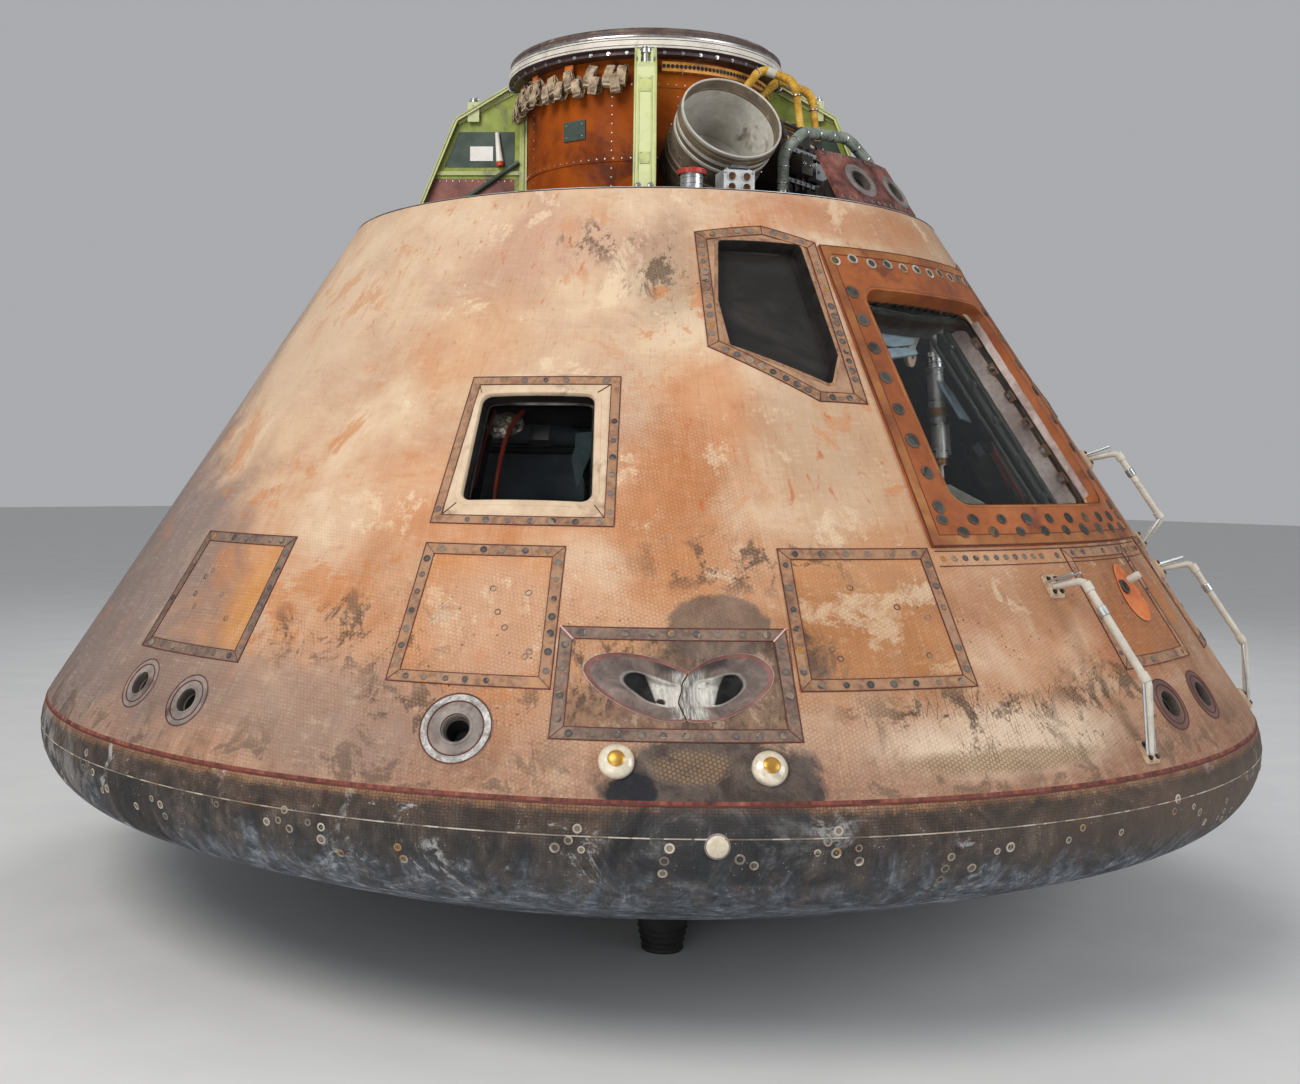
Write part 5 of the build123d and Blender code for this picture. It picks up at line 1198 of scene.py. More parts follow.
for hh in (1.34, 1.45, 1.56, 1.67, 1.78):
    f = skin_fr(12.0 - 0.8 * (hh - 1.285) / 0.535, hh, -0.120)
    P.box(f, (0, 0, 0.004), (0.030, 0.022, 0.016), 1)
    P.bolt(f.at(0.009, 0, 0.012), 0.004, 0.004, 2)
P.done(bevel=0.001)

# plugs and lines in the strip under the frame
P = Piece("hatch_sill_strip", strip_m, maroon, plug_ring, plug_core)
for k in range(30):
    a0, a1 = -18.5 + k * 1.22, -18.5 + (k + 1) * 1.22
    stroke(P, unroll(a0, 1.153), unroll(a1, 1.153), 0.0022, 0.0016, 1)
    stroke(P, unroll(a0, 1.118), unroll(a1, 1.118), 0.0020, 0.0014, 1)
    if rnd.random() > 0.15 and not -2.6 < (a0 + a1) / 2 < 12.2:
        plug(P, unroll((a0 + a1) / 2, 1.136), 0.0078, 0.0020, 2, 3, seg=14)
P.done()

# ------------------------------------------------------------------ ports
yaw_grey = worn("yaw_ring", [(0.28, c("544C48")), (0.46, c("756B65")), (0.6, c("8A7F77")), (0.74, c("A0958B"))], 14, (0.6, 0.85), 0.0, 0.35, 120, 0.0009, dirt=c("4A3A32"), dirt_amount=0.3)
white_frost = worn("frosted_ring", [(0.32, c("645E5A")), (0.46, c("8E8B87")), (0.56, c("B4B2AE")), (0.68, c("D4D2CE"))], 22, (0.5, 0.75), 0.0, 0.5, 90, 0.0016, dirt=c("5E5650"), dirt_amount=0.4, dirt_scale=26, fine=0.2)
dark_bore = worn("dark_bore", [(0.28, c("241F1C")), (0.5, c("3E3630")), (0.72, c("5C5046"))], 14, (0.6, 0.85), 0.0, 0.35, 120, 0.0009)
pitch_ring = worn("pitch_ring", [(0.25, c("45302C")), (0.5, c("5E443D")), (0.8, c("7E6257"))], 9, (0.6, 0.85), 0.0, 0.35, 120, 0.0009)
tan_core = worn("tan_core", [(0.25, c("6A4A34")), (0.5, c("95704F")), (0.8, c("B18D6A"))], 11, (0.6, 0.85), 0.0, 0.35, 120, 0.0009)


def port(name, az, h, ro, ri, ring, core, outer=None, depth=0.072):
    P = Piece(name, ring, core, maroon, recess_shade_and_dial_black, outer or ring)
    f = skin_fr(az, h)
    # painted shade: the bottom of the bore is a disc painted black, standing in for the shade deep in the hole
    P.lathe(f, [(ro * 1.02, -0.004), (ro * 1.02, 0.0016), (ro * 0.985, 0.0022), (ro * 0.975, 0.0008), (ro * 0.80, 0.0014), (ro * 0.79, 0.0030), (ro * 0.765, 0.0030),
                (ro * 0.755, 0.0010), (ri * 1.25, 0.0006), (ri * 1.20, 0.0026), (ri * 1.06, 0.0026), (ri * 0.99, -0.002), (ri * 0.97, -0.018),
                (ri * 0.84, -0.020), (ri * 0.66, -depth + 0.004), (0, -depth + 0.003)],
            40, mats=[4, 2, 2, 4, 2, 2, 2, 0, 0, 0, 1, 1, 1, 3, 3])
    P.done()


for k, (az, h, ro, ri) in enumerate(((-89.2, 0.772, 0.070, 0.030), (-81.9, 0.757, 0.070, 0.030), (89.2, 0.772, 0.070, 0.030), (81.9, 0.757, 0.070, 0.030))):
    port("yaw_port_%d" % (k + 1), az, h, ro, ri, yaw_grey, dark_bore)
for k, (az, h) in enumerate(((1.5, 0.767), (8.7, 0.767))):
    port("pitch_port_%d" % (k + 1), az, h, 0.070, 0.034, pitch_ring, dark_bore)
port("steam_vent_rings", -57.6, 0.763, 0.084, 0.033, yaw_grey, dark_bore, white_frost)

gold = worn("gold_dome", [(0.3, c("8A6428")), (0.6, c("B98C3C")), (0.85, c("D8B468"))], 14, (0.25, 0.45), 0.6, 0.2, 120, 0.0006)
glaze = worn("glazed_disc", [(0.28, c("9A8E78")), (0.46, c("BDB19A")), (0.6, c("D2C8B4")), (0.76, c("E2DACA"))], 16, (0.12, 0.3), 0.0, 0.35, 60, 0.0012, dirt=c("8E8478"), dirt_amount=0.2, coat=0.6)
for k, (az, h) in enumerate(((-46.4, 0.712), (-36.4, 0.702))):
    P = Piece("dump_nozzle_face_%d" % (k + 1), glaze, gold, maroon)
    f = skin_fr(az, h, 0.005)
    dome = [(0.0395, -0.0055), (0.0395, 0.0)]
    dome += [(0.0395 * math.cos(math.radians(t)), 0.0005 + 0.0185 * math.sin(math.radians(t))) for t in (6, 14, 24, 34, 44, 54, 62)]
    P.lathe(f, dome + [(0.0178, 0.0176)], 40, 0)
    P.lathe(f, [(0.0182, 0.0166), (0.0188, 0.0182), (0.0172, 0.0196), (0.0120, 0.0214), (0.006, 0.0224), (0, 0.0227)], 30, mats=[1] * 5)
    P.done()

# ------------------------------------------------------------------ roll engine nozzles
lip_pink = worn("nozzle_lip", [(0.28, c("54342F")), (0.48, c("7A4E46")), (0.7, c("96695E"))], 12, (0.55, 0.8), 0.0, 0.3, 120, 0.0008, dirt=c("4A2C2A"), dirt_amount=0.3)
lip_pale = worn("nozzle_pale_line", [(0.35, c("6E625C")), (0.65, c("B4A79C"))], 20, (0.5, 0.7), 0.0, 0.2, 120, 0.0006)
bowl = Mat("roll_engine_bowl")
az_b, h_b = bowl.azimuth(), bowl.height()
xb, yb = bowl.xyz()[:2]
m_ = bowl.math
surf_r = m_("SUBTRACT", TAN_R, m_("MULTIPLY", m_("SUBTRACT", h_b, TAN_H), TA))
deep = m_("MULTIPLY", m_("SUBTRACT", surf_r, m_("SQRT", m_("ADD", m_("MULTIPLY", xb, xb), m_("MULTIPLY", yb, yb)))), CA)
la = mult(bowl, m_("SUBTRACT", 41.3, m_("ABSOLUTE", az_b)), surf_r, math.radians(1) * 1000)
lb = m_("MULTIPLY", m_("SUBTRACT", h_b, 0.862), 1000 / CA)
nb = bowl.noise(16.0, 6, 0.68, 0.6)
nf = bowl.noise(1.0, 5, 0.7, 0.3, bowl.vec(m_("MULTIPLY", la, 0.16), m_("MULTIPLY", lb, 0.028), 0.0))
ng = bowl.noise(55.0, 5, 0.65)
bc = bowl.ramp(nb, [(0.34, c("4A403D")), (0.48, c("625550")), (0.62, c("7A6B64")), (0.74, c("8E8078"))])
dk = m_("MAXIMUM", bowl.blob(la, lb, -25, 48, 42, 20, 0.5, nb, 1.5), bowl.blob(la, lb, 48, 62, 40, 22, 0.5, nb, 1.5))
bc = bowl.mix(m_("MULTIPLY", dk, 0.75), bc, c("2C2827"))
off = m_("SUBTRACT", m_("ABSOLUTE", m_("ADD", la, 4.0)), m_("MULTIPLY", m_("SUBTRACT", nb, 0.5), 60.0))
ridge_mask = m_("MULTIPLY", bowl.span(off, 22.0, 50.0, 1.0, 0.0), bowl.span(lb, 20.0, 48.0, 1.0, 0.0))
streaky = bowl.ramp(nf, [(0.34, c("4E4B47")), (0.46, c("85817B")), (0.56, c("B4B0A8")), (0.68, c("D2CFC8"))])
bc = bowl.mix(ridge_mask, bc, streaky)
inner = bowl.span(deep, 0.0235, 0.0275)
floor_c = bowl.ramp(m_("ADD", m_("MULTIPLY", nf, 0.5), m_("MULTIPLY", nb, 0.5)), [(0.36, c("7E7B75")), (0.5, c("B9B5AD")), (0.64, c("D3D0C9"))])
bc = bowl.mix(inner, bc, floor_c)
# painted shade: the floor is greyed towards its outboard ends, the soft edge of the throats' shadow
floor_edge_shade = m_("MULTIPLY", inner, bowl.span(m_("ABSOLUTE", m_("ADD", la, 12.0)), 62.0, 90.0))
bc = bowl.mix(m_("MULTIPLY", floor_edge_shade, 0.85), bc, c("57514D"))
# painted shadow: the deep outboard throats are painted near-black, as the shadow cast by the throat's edge
throat_shadow = m_("MAXIMUM", bowl.span(m_("ADD", la, m_("MULTIPLY", lb, 0.35)), -96.0, -90.0, 1.0, 0.0),
            bowl.span(m_("SUBTRACT", la, m_("MULTIPLY", lb, 0.30)), 70.0, 76.0))
bc = bowl.mix(m_("MULTIPLY", throat_shadow, bowl.span(deep, 0.0255, 0.0285)), bc, bowl.ramp(ng, [(0.4, c("0A0A0A")), (0.6, c("161514"))]))
bowl.base(bc, bowl.span(nb, 0.3, 0.7, 0.6, 0.85), 0.0, bowl.bump(m_("ADD", nb, m_("MULTIPLY", nf, 0.6)), 0.35, 0.0012), spec=0.3)
bowl_m = bowl.mat
# Local coordinates on the panel: millimetres round the cone from its middle (port side) and up the slope.
LEFT_LIP = [(-2, 37), (-30, 52), (-67, 66), (-112, 77), (-153, 81), (-191, 78), (-222, 66), (-239, 41), (-229, 15), (-206, -12), (-172, -37), (-132, -59),
            (-89, -76), (-49, -83), (-12, -82)]
RIGHT_LIP = [(-2, 37), (18, 52), (46, 68), (81, 79), (120, 83), (154, 74), (179, 53), (188, 30), (177, -1), (147, -32), (107, -58), (66, -76), (28, -84), (-12, -82)]
RIDGE = [(-2, 37), (-8, 20), (-12, -2), (-15, -25), (-15, -50), (-12, -82)]
RIDGE_Z = [0.0, -7.0, -11.0, -12.5, -9.0, 0.0]
LEFT_HOLE = [(-23, 16), (-50, 22), (-84, 34), (-118, 45), (-138, 42), (-147, 29), (-139, 14), (-122, 0), (-99, -18), (-72, -29), (-38, -33), (-25, -8)]
RIGHT_HOLE = [(15, 24), (54, 32), (89, 42), (110, 40), (121, 21), (113, 3), (96, -12), (68, -27), (37, -31), (13, -24)]


def smooth2(pts, closed, n=6):
    """Catmull-Rom through the points."""
    P_ = [Vector(p) for p in pts]
    m = len(P_)
    out = []
    for i in range(m if closed else m - 1):
        a, b = (P_[i - 1] if (closed or i) else P_[0]), P_[i]
        d, e = P_[(i + 1) % m], (P_[(i + 2) % m] if closed or i + 2 < m else P_[-1])
        for k in range(n):
            t = k / n
            out.append(0.5 * ((2 * b) + (d - a) * t + (2 * a - 5 * b + 4 * d - e) * t * t + (3 * b - a - 3 * d + e) * t ** 3))
    if not closed:
        out.append(P_[-1])
    return out


def ray_hit(poly, o, ang):
    """Where a ray from o leaves a closed outline."""
    d = Vector((math.cos(ang), math.sin(ang)))
    best = 0.0
    n = len(poly)
    for i in range(n):
        p, q = poly[i] - o, poly[(i + 1) % n] - o
        e = q - p
        den = d.x * e.y - d.y * e.x
        if abs(den) < 1e-9:
            continue
        t = (p.x * e.y - p.y * e.x) / den
        u = (p.x * d.y - p.y * d.x) / den
        if t > 0 and -1e-6 <= u <= 1 + 1e-6:
            best = max(best, t)
    return best


def ridge_depth(y):
    for (p, q), (z0, z1) in zip(zip(RIDGE, RIDGE[1:]), zip(RIDGE_Z, RIDGE_Z[1:])):
        if p[1] >= y >= q[1]:
            f = (p[1] - y) / (p[1] - q[1])
            return z0 + (z1 - z0) * f
    return 0.0


for sd in (-1, 1):
    tag = "port" if sd < 0 else "starboard"
    mid_az = -41.3 if sd < 0 else 41.3
    base = skin_fr(mid_az, 0.862)
    cones = []
    for twin, lean, length, mouth in ((-1, 49.0, 0.222, 0.091), (1, 46.0, 0.190, 0.077)):
        away = twin if sd < 0 else -twin
        t, rise = math.radians(lean), math.radians(18)
        dirn = unit(base.z * math.cos(t) + (base.x * (away * math.cos(rise)) + base.y * math.sin(rise)) * math.sin(t))
        cones.append((base(away * 0.018, -0.026, -0.072), dirn, length, mouth))

    def at(a, y, z=0.0):
        """A point of the panel from local millimetres; starboard is the mirror image."""
        hh = 0.862 + y * 0.001 * CA
        d = math.degrees(a * 0.001 / cone_r(hh))
        return skin(mid_az + (d if sd < 0 else -d), hh, z * 0.001)

    def room(a, y):
        """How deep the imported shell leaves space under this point, in millimetres."""
        z = -35.0
        while z > -62:
            p = at(a, y, z - 1.5)
            ok = False
            for st, dr, ln, mo in cones:
                q = p - st
                q_s = q.dot(dr)
                if 0 < q_s < ln and (q - dr * q_s).length < 0.029 + (mo - 0.029) * q_s / ln - 0.001:
                    ok = True
            if not ok:
                break
            z -= 1.5
        return z + 1.0
    P = Piece("roll_engine_scarf_" + tag, bowl_m, recess_shade_and_dial_black, yaw_grey, lip_pink, lip_pale, strip_grey, panel_mat, dark_metal)

    def face(q, m):
        P.f.append(q if sd < 0 else q[::-1])
        P.mi.append(m)
    lip_l, lip_r = smooth2(LEFT_LIP, False, 7), smooth2(RIGHT_LIP, False, 7)
    heart = lip_l + lip_r[::-1][1:-1]
    # the panel round the opening
    lo_a, hi_a = -305.0, 234.0
    rect = [Vector((lo_a, -132)), Vector((hi_a, -132)), Vector((hi_a, 145)), Vector((lo_a, 145))]
    O = Vector((-10, -14))
    N = 200
    rows = []
    for k in range(N):
        ang = 2 * math.pi * k / N
        r0, r1 = ray_hit(heart, O, ang), ray_hit(rect, O, ang)
        d = Vector((math.cos(ang), math.sin(ang)))
        row = []
        for i in range(9):
            p = O + d * (r0 + (r1 - r0) * i / 8)
            row.append(len(P.v))
            P.v.append(at(p.x, p.y, 0.0))
        p = O + d * r1
        row.append(len(P.v))
        P.v.append(at(p.x, p.y, -6.0))
        p = O + d * r0
        row.insert(0, len(P.v))
        P.v.append(at(p.x, p.y, -4.0))
        rows.append(row)
    for k in range(N):
        A, B = rows[k], rows[(k + 1) % N]
        for i in range(len(A) - 1):
            face([A[i], A[i + 1], B[i + 1], B[i]], 6)
    for which, lip, hole, O in (("l", lip_l, LEFT_HOLE, Vector((-84, 6))), ("r", lip_r, RIGHT_HOLE, Vector((62, 6)))):
        hole = smooth2(hole, True, 6)
        ridge = [Vector(p) for p in RIDGE]
        bound = lip + (ridge[::-1][1:-1])
        N = 96
        rows = []
        for k in range(N):
            ang = 2 * math.pi * k / N
            rb, rh = ray_hit(bound, O, ang), ray_hit(hole, O, ang)
            d = Vector((math.cos(ang), math.sin(ang)))
            pb = O + d * rb
            near = min((pb - q).length for q in lip)
            on_ridge = near > 4.0 and abs(pb.x + 12) < 16
            zb = ridge_depth(pb.y) if on_ridge else 0.0
            row = []
            # rolled lip, bowl, edge of the deeper hole
            prof = [(1.012, zb + (0.0 if on_ridge else 1.2)), (1.0, zb + (0.0 if on_ridge else 1.6)), (0.975, zb - 0.8)]
            for q, z in prof:
                row.append((rb * q if not on_ridge else rb * min(q, 1.0), z))
            for f in (0.12, 0.25, 0.4, 0.55, 0.7, 0.85, 0.96):
                z = zb - 0.8 + (-27.0 - zb) * (f ** 0.85)
                row.append((rb * 0.975 + (rh - rb * 0.975) * f, z))
            toward = math.cos(ang) * (-1 if which == "l" else 1) < -0.2
            row += [(rh, -27.6), (rh * 0.97, -28.4)] if toward else [(rh, -28.4), (rh * 0.97, -30.5)]
            idx_row = []
            for r, z in row:
                p = O + d * r
                idx_row.append(len(P.v))
                P.v.append(at(p.x, p.y, z))
            # floor of the hole
            for f in (0.90, 0.72, 0.54, 0.36, 0.18):
                p = O + d * (rh * f)
                out_ = abs(p.x + 10) / 110.0
                z = max(-30.0 - 24.0 * out_, room(p.x, p.y))
                z = min(z, -31.0)
                idx_row.append(len(P.v))
                P.v.append(at(p.x, p.y, z))
            rows.append((idx_row, on_ridge, ang, pb))
        kc = len(P.v)
        P.v.append(at(O.x, O.y, max(-50.0, room(O.x, O.y))))
        for k in range(N):
            (A, r1_, a1, p1), (B, r2_, a2, p2) = rows[k], rows[(k + 1) % N]
            for i in range(len(A) - 1):
                m = 0
                if not r1_:
                    m = 4 if i < 1 else 3 if i < 3 else 0
                face([A[i], B[i], B[i + 1], A[i + 1]], m)
            face([A[-1], B[-1], kc], 0)
    # torn edge beside the ridge, and the oval drain in the port floor, its hole painted black as shade
    torn = smooth2([(-4, 34), (-17, 14), (-20, -6), (-27, -30), (-22, -52), (-12, -80)], False, 6)
    P.tube([at(p.x, p.y, ridge_depth(p.y) + 0.5) for p in torn], 0.0016, 6, 7)
    o_ = at(-66, -20, max(-41.0, room(-66, -20) + 1.0))
    g = skin_fr(mid_az, 0.85)
    P.lathe(Fr(o_, g.x * 1.4, g.y, g.z), [(0.0085, -0.004), (0.0085, 0.0015), (0.0068, 0.0022), (0.0060, 0.0008), (0, 0.0004)], 18, mats=[0, 5, 5, 1])
    P.done(replaces=["roll_thruster_nozzles", "roll_thruster_panels"], sharp=40)

# ------------------------------------------------------------------ seam and heat shield fittings
seam_m = Mat("seam_rubber")
az_, n_ = seam_m.azimuth(), seam_m.noise(18.0, 5)
seg_ = seam_m.noise(1.0, 3, 0.6, 0.0, seam_m.vec(seam_m.math("MULTIPLY", az_, 1.6), 0.0, 0.0))
seam_m.base(seam_m.ramp(seam_m.math("ADD", seam_m.math("MULTIPLY", n_, 0.5), seam_m.math("MULTIPLY", seg_, 0.5)),
                        [(0.36, c("2E1712")), (0.46, c("57281F")), (0.56, c("7C4032")), (0.68, c("98694E"))]), 0.8, 0.0,
            seam_m.bump(n_, 0.5, 0.0015))
seam_m = seam_m.mat
P = Piece("shield_plugs", pale_ring, pale_core, white_frost)


def shield_fr(az, t, out=0.0):
    o = shield(az, t, out)
    n = unit(shield(az, t, 0.01) - shield(az, t, 0.0))
    a = math.radians(az)
    x = Vector((math.cos(a), math.sin(a), 0))
    return Fr(o, x, n.cross(x), n)


for cx in range(-178, 180, 3):
    cx2 = cx + rnd.uniform(-1, 1)
    if rnd.random() < 0.30:
        continue
    n = rnd.choice((1, 1, 1, 2, 2, 3, 4))
    t0 = rnd.uniform(0.055, 0.17)
    for k in range(n):
        if k == 0:
            da, dt = 0.0, 0.0
        else:
            an = 2 * math.pi * (k + rnd.random() * 0.6) / (n - 1)
            da, dt = 1.05 * math.cos(an), 0.030 * math.sin(an)
        f = shield_fr(cx2 + da, t0 + dt)
        r = 0.0098 * rnd.uniform(0.8, 1.25)
        P.lathe(f, [(r, -0.002), (r, 0.0008), (r * 0.8, 0.0014), (r * 0.62, 0.0008), (r * 0.55, -0.0002), (0, 0.0)], 12, mats=[0, 0, 0, 1, 1])
P.done()
P = Piece("shield_line", pale_ring, seam_m, maroon)
for row_t, mat, w, top in ((0.074, 0, 0.0028, 0.0010), (0.006, 2, 0.004, 0.0012)):
    N = 220
    k0 = len(P.v)
    for i in range(N):
        az = 360.0 * i / N
        for dt, out in ((-w / 2, -0.002), (-w / 2, top), (w / 2, top), (w / 2, -0.002)):
            P.v.append(shield(az, row_t + dt, out))
    for i in range(N):
        j = (i + 1) % N
        for s in range(4):
            q = (s + 1) % 4
            P.f.append([k0 + 4 * i + q, k0 + 4 * i + s, k0 + 4 * j + s, k0 + 4 * j + q])
            P.mi.append(mat)
P.done()
P = Piece("antenna_disc_rings", glaze, yaw_grey)
for k in range(4):
    f = shield_fr(-40.0 + 90 * k, 0.0)
    a = math.radians(-40.0 + 90 * k)
    f = Fr((1.9543 * math.sin(a), -1.9543 * math.cos(a), POLE + 0.549), (math.cos(a), math.sin(a), 0), (0, 0, 1), (math.sin(a), -math.cos(a), 0))
    P.lathe(f, [(0.0282, -0.004), (0.0282, 0.0012), (0.0255, 0.0026), (0.0235, 0.0014), (0.020, 0.0030), (0.008, 0.0038), (0, 0.0040)], 30, mats=[1, 1, 1, 0, 0, 0])
P.done()

# ------------------------------------------------------------------ hand rails by the hatch
P = Piece("hatch_rails", white_paint, alu, cream_bevel, dark_metal)


def base_plate(az, h, w, ht, mat=2, nb=2):
    f = skin_fr(az, h)
    rr = 0.008
    pts = []
    for cx_, cy_, s0 in ((w / 2 - rr, -ht / 2 + rr, 270), (w / 2 - rr, ht / 2 - rr, 0), (-w / 2 + rr, ht / 2 - rr, 90), (-w / 2 + rr, -ht / 2 + rr, 180)):
        for k in range(4):
            a = math.radians(s0 + 30 * k)
            pts.append((cx_ + rr * math.cos(a), cy_ + rr * math.sin(a)))
    P.prism(f, pts, -0.003, 0.006, mat)
    P.prism(f, [(x * 0.86, y * 0.86) for x, y in pts], 0.005, 0.010, mat)
    for i in range(nb):
        for j in (-1, 1):
            P.bolt(f.at(j * w * 0.28, (i - (nb - 1) / 2) * ht * 0.55, 0.010), 0.0052, 0.005, 3)
    return f


for az_t, h_t, az_l, h_l in ((-6.4, 1.061, -5.2, 0.672), (26.0, 1.392, 26.3, 1.140), (26.5, 1.061, 27.2, 0.672)):
    long = h_t - h_l > 0.3
    low = h_l + (0.32 * (h_t - h_l) if long else 0.026)
    pts = [skin(az_t, h_t, 0.004), skin(az_t, h_t - 0.026, 0.088), skin(az_l, low, 0.088), skin(az_l, h_l, 0.004)]
    rr = [0.024, 0.024]
    path = arc_points(pts, rr, 0.006)
    P.tube(path, 0.0098, 16, 0)
    d = unit(pts[2] - pts[1])
    # collars and clamps on the bar
    for k, s in enumerate((0.06, 0.30, 0.94)):
        p = pts[1].lerp(pts[2], s)
        g = axis_fr(p - d * 0.013, p + d * 0.013)
        P.lathe(g, [(0.0098, 0), (0.0128, 0.0015), (0.0128, 0.0245), (0.0098, 0.026)], 18, 0 if k != 1 else 1)
    base_plate(az_t, h_t, 0.052, 0.066)
    base_plate(az_l, h_l + 0.008, 0.052, 0.062)
    # box foot under the upper bend and thin stay rods beside the legs
    f = skin_fr(az_t, h_t)
    P.tube([f(-0.018, 0.012, 0.006), f(-0.016, -0.004, 0.080)], 0.0034, 8, 1)
    P.tube([f(0.018, 0.012, 0.006), f(0.016, -0.004, 0.080)], 0.0034, 8, 1)
    f = skin_fr(az_l, h_l)
    P.tube([f(-0.017, -0.002, 0.006), skin_fr(az_l, low)(-0.013, 0.004, 0.084)], 0.0034, 8, 1)
    P.tube([f(0.017, -0.002, 0.006), skin_fr(az_l, low)(0.013, 0.004, 0.084)], 0.0034, 8, 1)
P.done(replaces=["hatch_handrails"], bevel=0.0008)



# ------------------------------------------------------------------ tunnel, ring and gussets
green = worn("green_primer_paint", [(0.22, c("586A26")), (0.45, c("849236")), (0.65, c("9CA446")), (0.85, c("B2B862"))], 5, (0.4, 0.7), 0.0, 0.25, 120, 0.0008,
             dirt=c("5B5A3C"), dirt_amount=0.3, edge=c("C9CDA0"))
green_pale = worn("pale_green_edge", [(0.25, c("929A5E")), (0.5, c("AEB472")), (0.8, c("C9CC98"))], 7, (0.4, 0.65), 0.0, 0.2, 120, 0.0006, dirt=c("7B8468"), dirt_amount=0.25)
green_dark = worn("dark_green_panel", [(0.25, c("1F2A20")), (0.5, c("33443A")), (0.8, c("4A5C4E"))], 7, (0.4, 0.7), 0.0, 0.3, 110, 0.0008)
wall_orange = worn("orange_tunnel_paint", [(0.26, c("5A2200")), (0.42, c("863A00")), (0.58, c("A04C02")), (0.74, c("B05E0C"))], 3.6, (0.6, 0.85), 0.0, 0.2, 100, 0.0008,
                   dirt=c("58260C"), dirt_amount=0.35, dirt_scale=5, spec=0.2)
orange_plate = worn("orange_plate", [(0.3, c("C05A12")), (0.6, c("E0761E")), (0.85, c("EE9440"))], 8, (0.4, 0.6), 0.0, 0.15, 120, 0.0005, dirt=c("7A3A16"), dirt_amount=0.2)
red_sheet = worn("red_riveted_sheet", [(0.28, c("4E2A22")), (0.44, c("74403A")), (0.58, c("8C5648")), (0.74, c("A87460"))], 8, (0.45, 0.7), 0.0, 0.25, 120, 0.0008, dirt=c("4A241A"), dirt_amount=0.3)
gold_strip = worn("orange_gold_strip", [(0.25, c("A86A1C")), (0.5, c("D08E2E")), (0.8, c("E3AC54"))], 8, (0.4, 0.6), 0.1, 0.2, 120, 0.0006, dirt=c("7A4A1C"), dirt_amount=0.3)
webbing = Mat("tan_webbing")
wx, wy, wz = webbing.xyz()
wv = webbing.math("ADD", webbing.math("SINE", webbing.math("MULTIPLY", wz, 2100)),
                  webbing.math("SINE", webbing.math("MULTIPLY", webbing.math("ARCTAN2", wx, wy), 900)))
wn = webbing.noise(40, 4)
webbing.base(webbing.ramp(webbing.math("ADD", webbing.math("MULTIPLY", wv, 0.08), wn), [(0.34, c("6E5A48")), (0.48, c("AC947A")), (0.62, c("D0BA9C"))]), 0.9, 0.0,
             webbing.bump(wv, 0.6, 0.0009))
webbing = webbing.mat

ring_top = worn("ring_dark_top", [(0.28, c("2C211E")), (0.46, c("4A3830")), (0.6, c("6A564A")), (0.74, c("8A786A"))], 12, (0.35, 0.6), 0.15, 0.2, 140, 0.0006, dirt=c("8A7A6A"), dirt_amount=0.2)
ring_band = worn("ring_cream_band", [(0.28, c("A8A096")), (0.5, c("CDC6BB")), (0.72, c("DED9CF"))], 10, (0.35, 0.6), 0.0, 0.12, 200, 0.0004, dirt=c("7E746A"), dirt_amount=0.2)
ring_under = worn("ring_brown_under", [(0.25, c("2C2124")), (0.5, c("4A383A")), (0.8, c("6B5654"))], 8, (0.4, 0.65), 0.2, 0.2, 140, 0.0006)
give("docking_ring", ring_top)
give("docking_tunnel", wall_orange)
give("forward_deck", dark_metal)
give("tunnel_gussets", green)
give("gusset_head_pins", steel)

P = Piece("ring_bands", ring_band, ring_under, ring_top, orange_plate, steel, recess_shade_and_dial_black)
Z = Fr((0, 0, POLE), (1, 0, 0), (0, 1, 0), (0, 0, 1))
# painted shade: the two narrow grooves in the band are painted black for the shade in them
P.lathe(Z, [(0.4655, 2.6552), (0.4668, 2.6560), (0.4672, 2.6620), (0.4664, 2.6625), (0.4664, 2.6640), (0.4674, 2.6645), (0.4674, 2.6790), (0.4664, 2.6795),
            (0.4664, 2.6810), (0.4670, 2.6815), (0.4668, 2.6862), (0.4640, 2.6878), (0.4612, 2.6880)], 160, mats=[0, 0, 5, 5, 0, 0, 0, 5, 5, 0, 0, 0])
P.lathe(Z, [(0.4482, 2.6395), (0.4500, 2.6402), (0.4500, 2.6500), (0.4540, 2.6520), (0.4600, 2.6550)], 160, mats=[1] * 4)
P.lathe(Z, [(0.4614, 2.6900), (0.4618, 2.6930), (0.4614, 2.6960)], 160, mat=4)
P.lathe(Z, [(0.4612, 2.7040), (0.4617, 2.7060), (0.4612, 2.7080)], 160, mat=1)
for k in range(48):
    az = 7.5 * k
    f = deck_fr(az, 0.4500, 2.6455)
    g = Fr(f.o, f.y, f.z, f.x)
    P.bolt(g, 0.0042, 0.005, 4)
for k in range(24):
    f = deck_fr(15 * k + 4, 0.420, 2.720)
    P.bolt(Fr(f.o, f.x, f.y, f.z), 0.0055, 0.003, 4)
for az in (-124, -103, -80, 62, 100, 170):
    f = deck_fr(az, 0.4240, 2.622)
    g = Fr(f.o, f.y, f.z, f.x)
    P.prism(g, [(-0.016, -0.011), (0.016, -0.011), (0.016, 0.011), (-0.016, 0.011)], -0.001, 0.0035, 3)
    for s in (-1, 1):
        P.rivet(g.at(s * 0.010, 0, 0.0035), 0.0028, 0.0018, 4)
# capture latches on the inside of the ring
for k in range(12):
    f = deck_fr(30 * k + 12, 0.372, 2.700)
    P.box(f, (-0.010, 0, 0), (0.020, 0.044, 0.030), 1)
    P.box(f, (-0.016, 0, 0.011), (0.012, 0.026, 0.016), 4)
P.done(bevel=0.0)

P = Piece("tunnel_wall_details", wall_orange, green_dark, alu, recess_shade_and_dial_black, red_sheet, gold_strip, maroon)
TZ = 0.4003
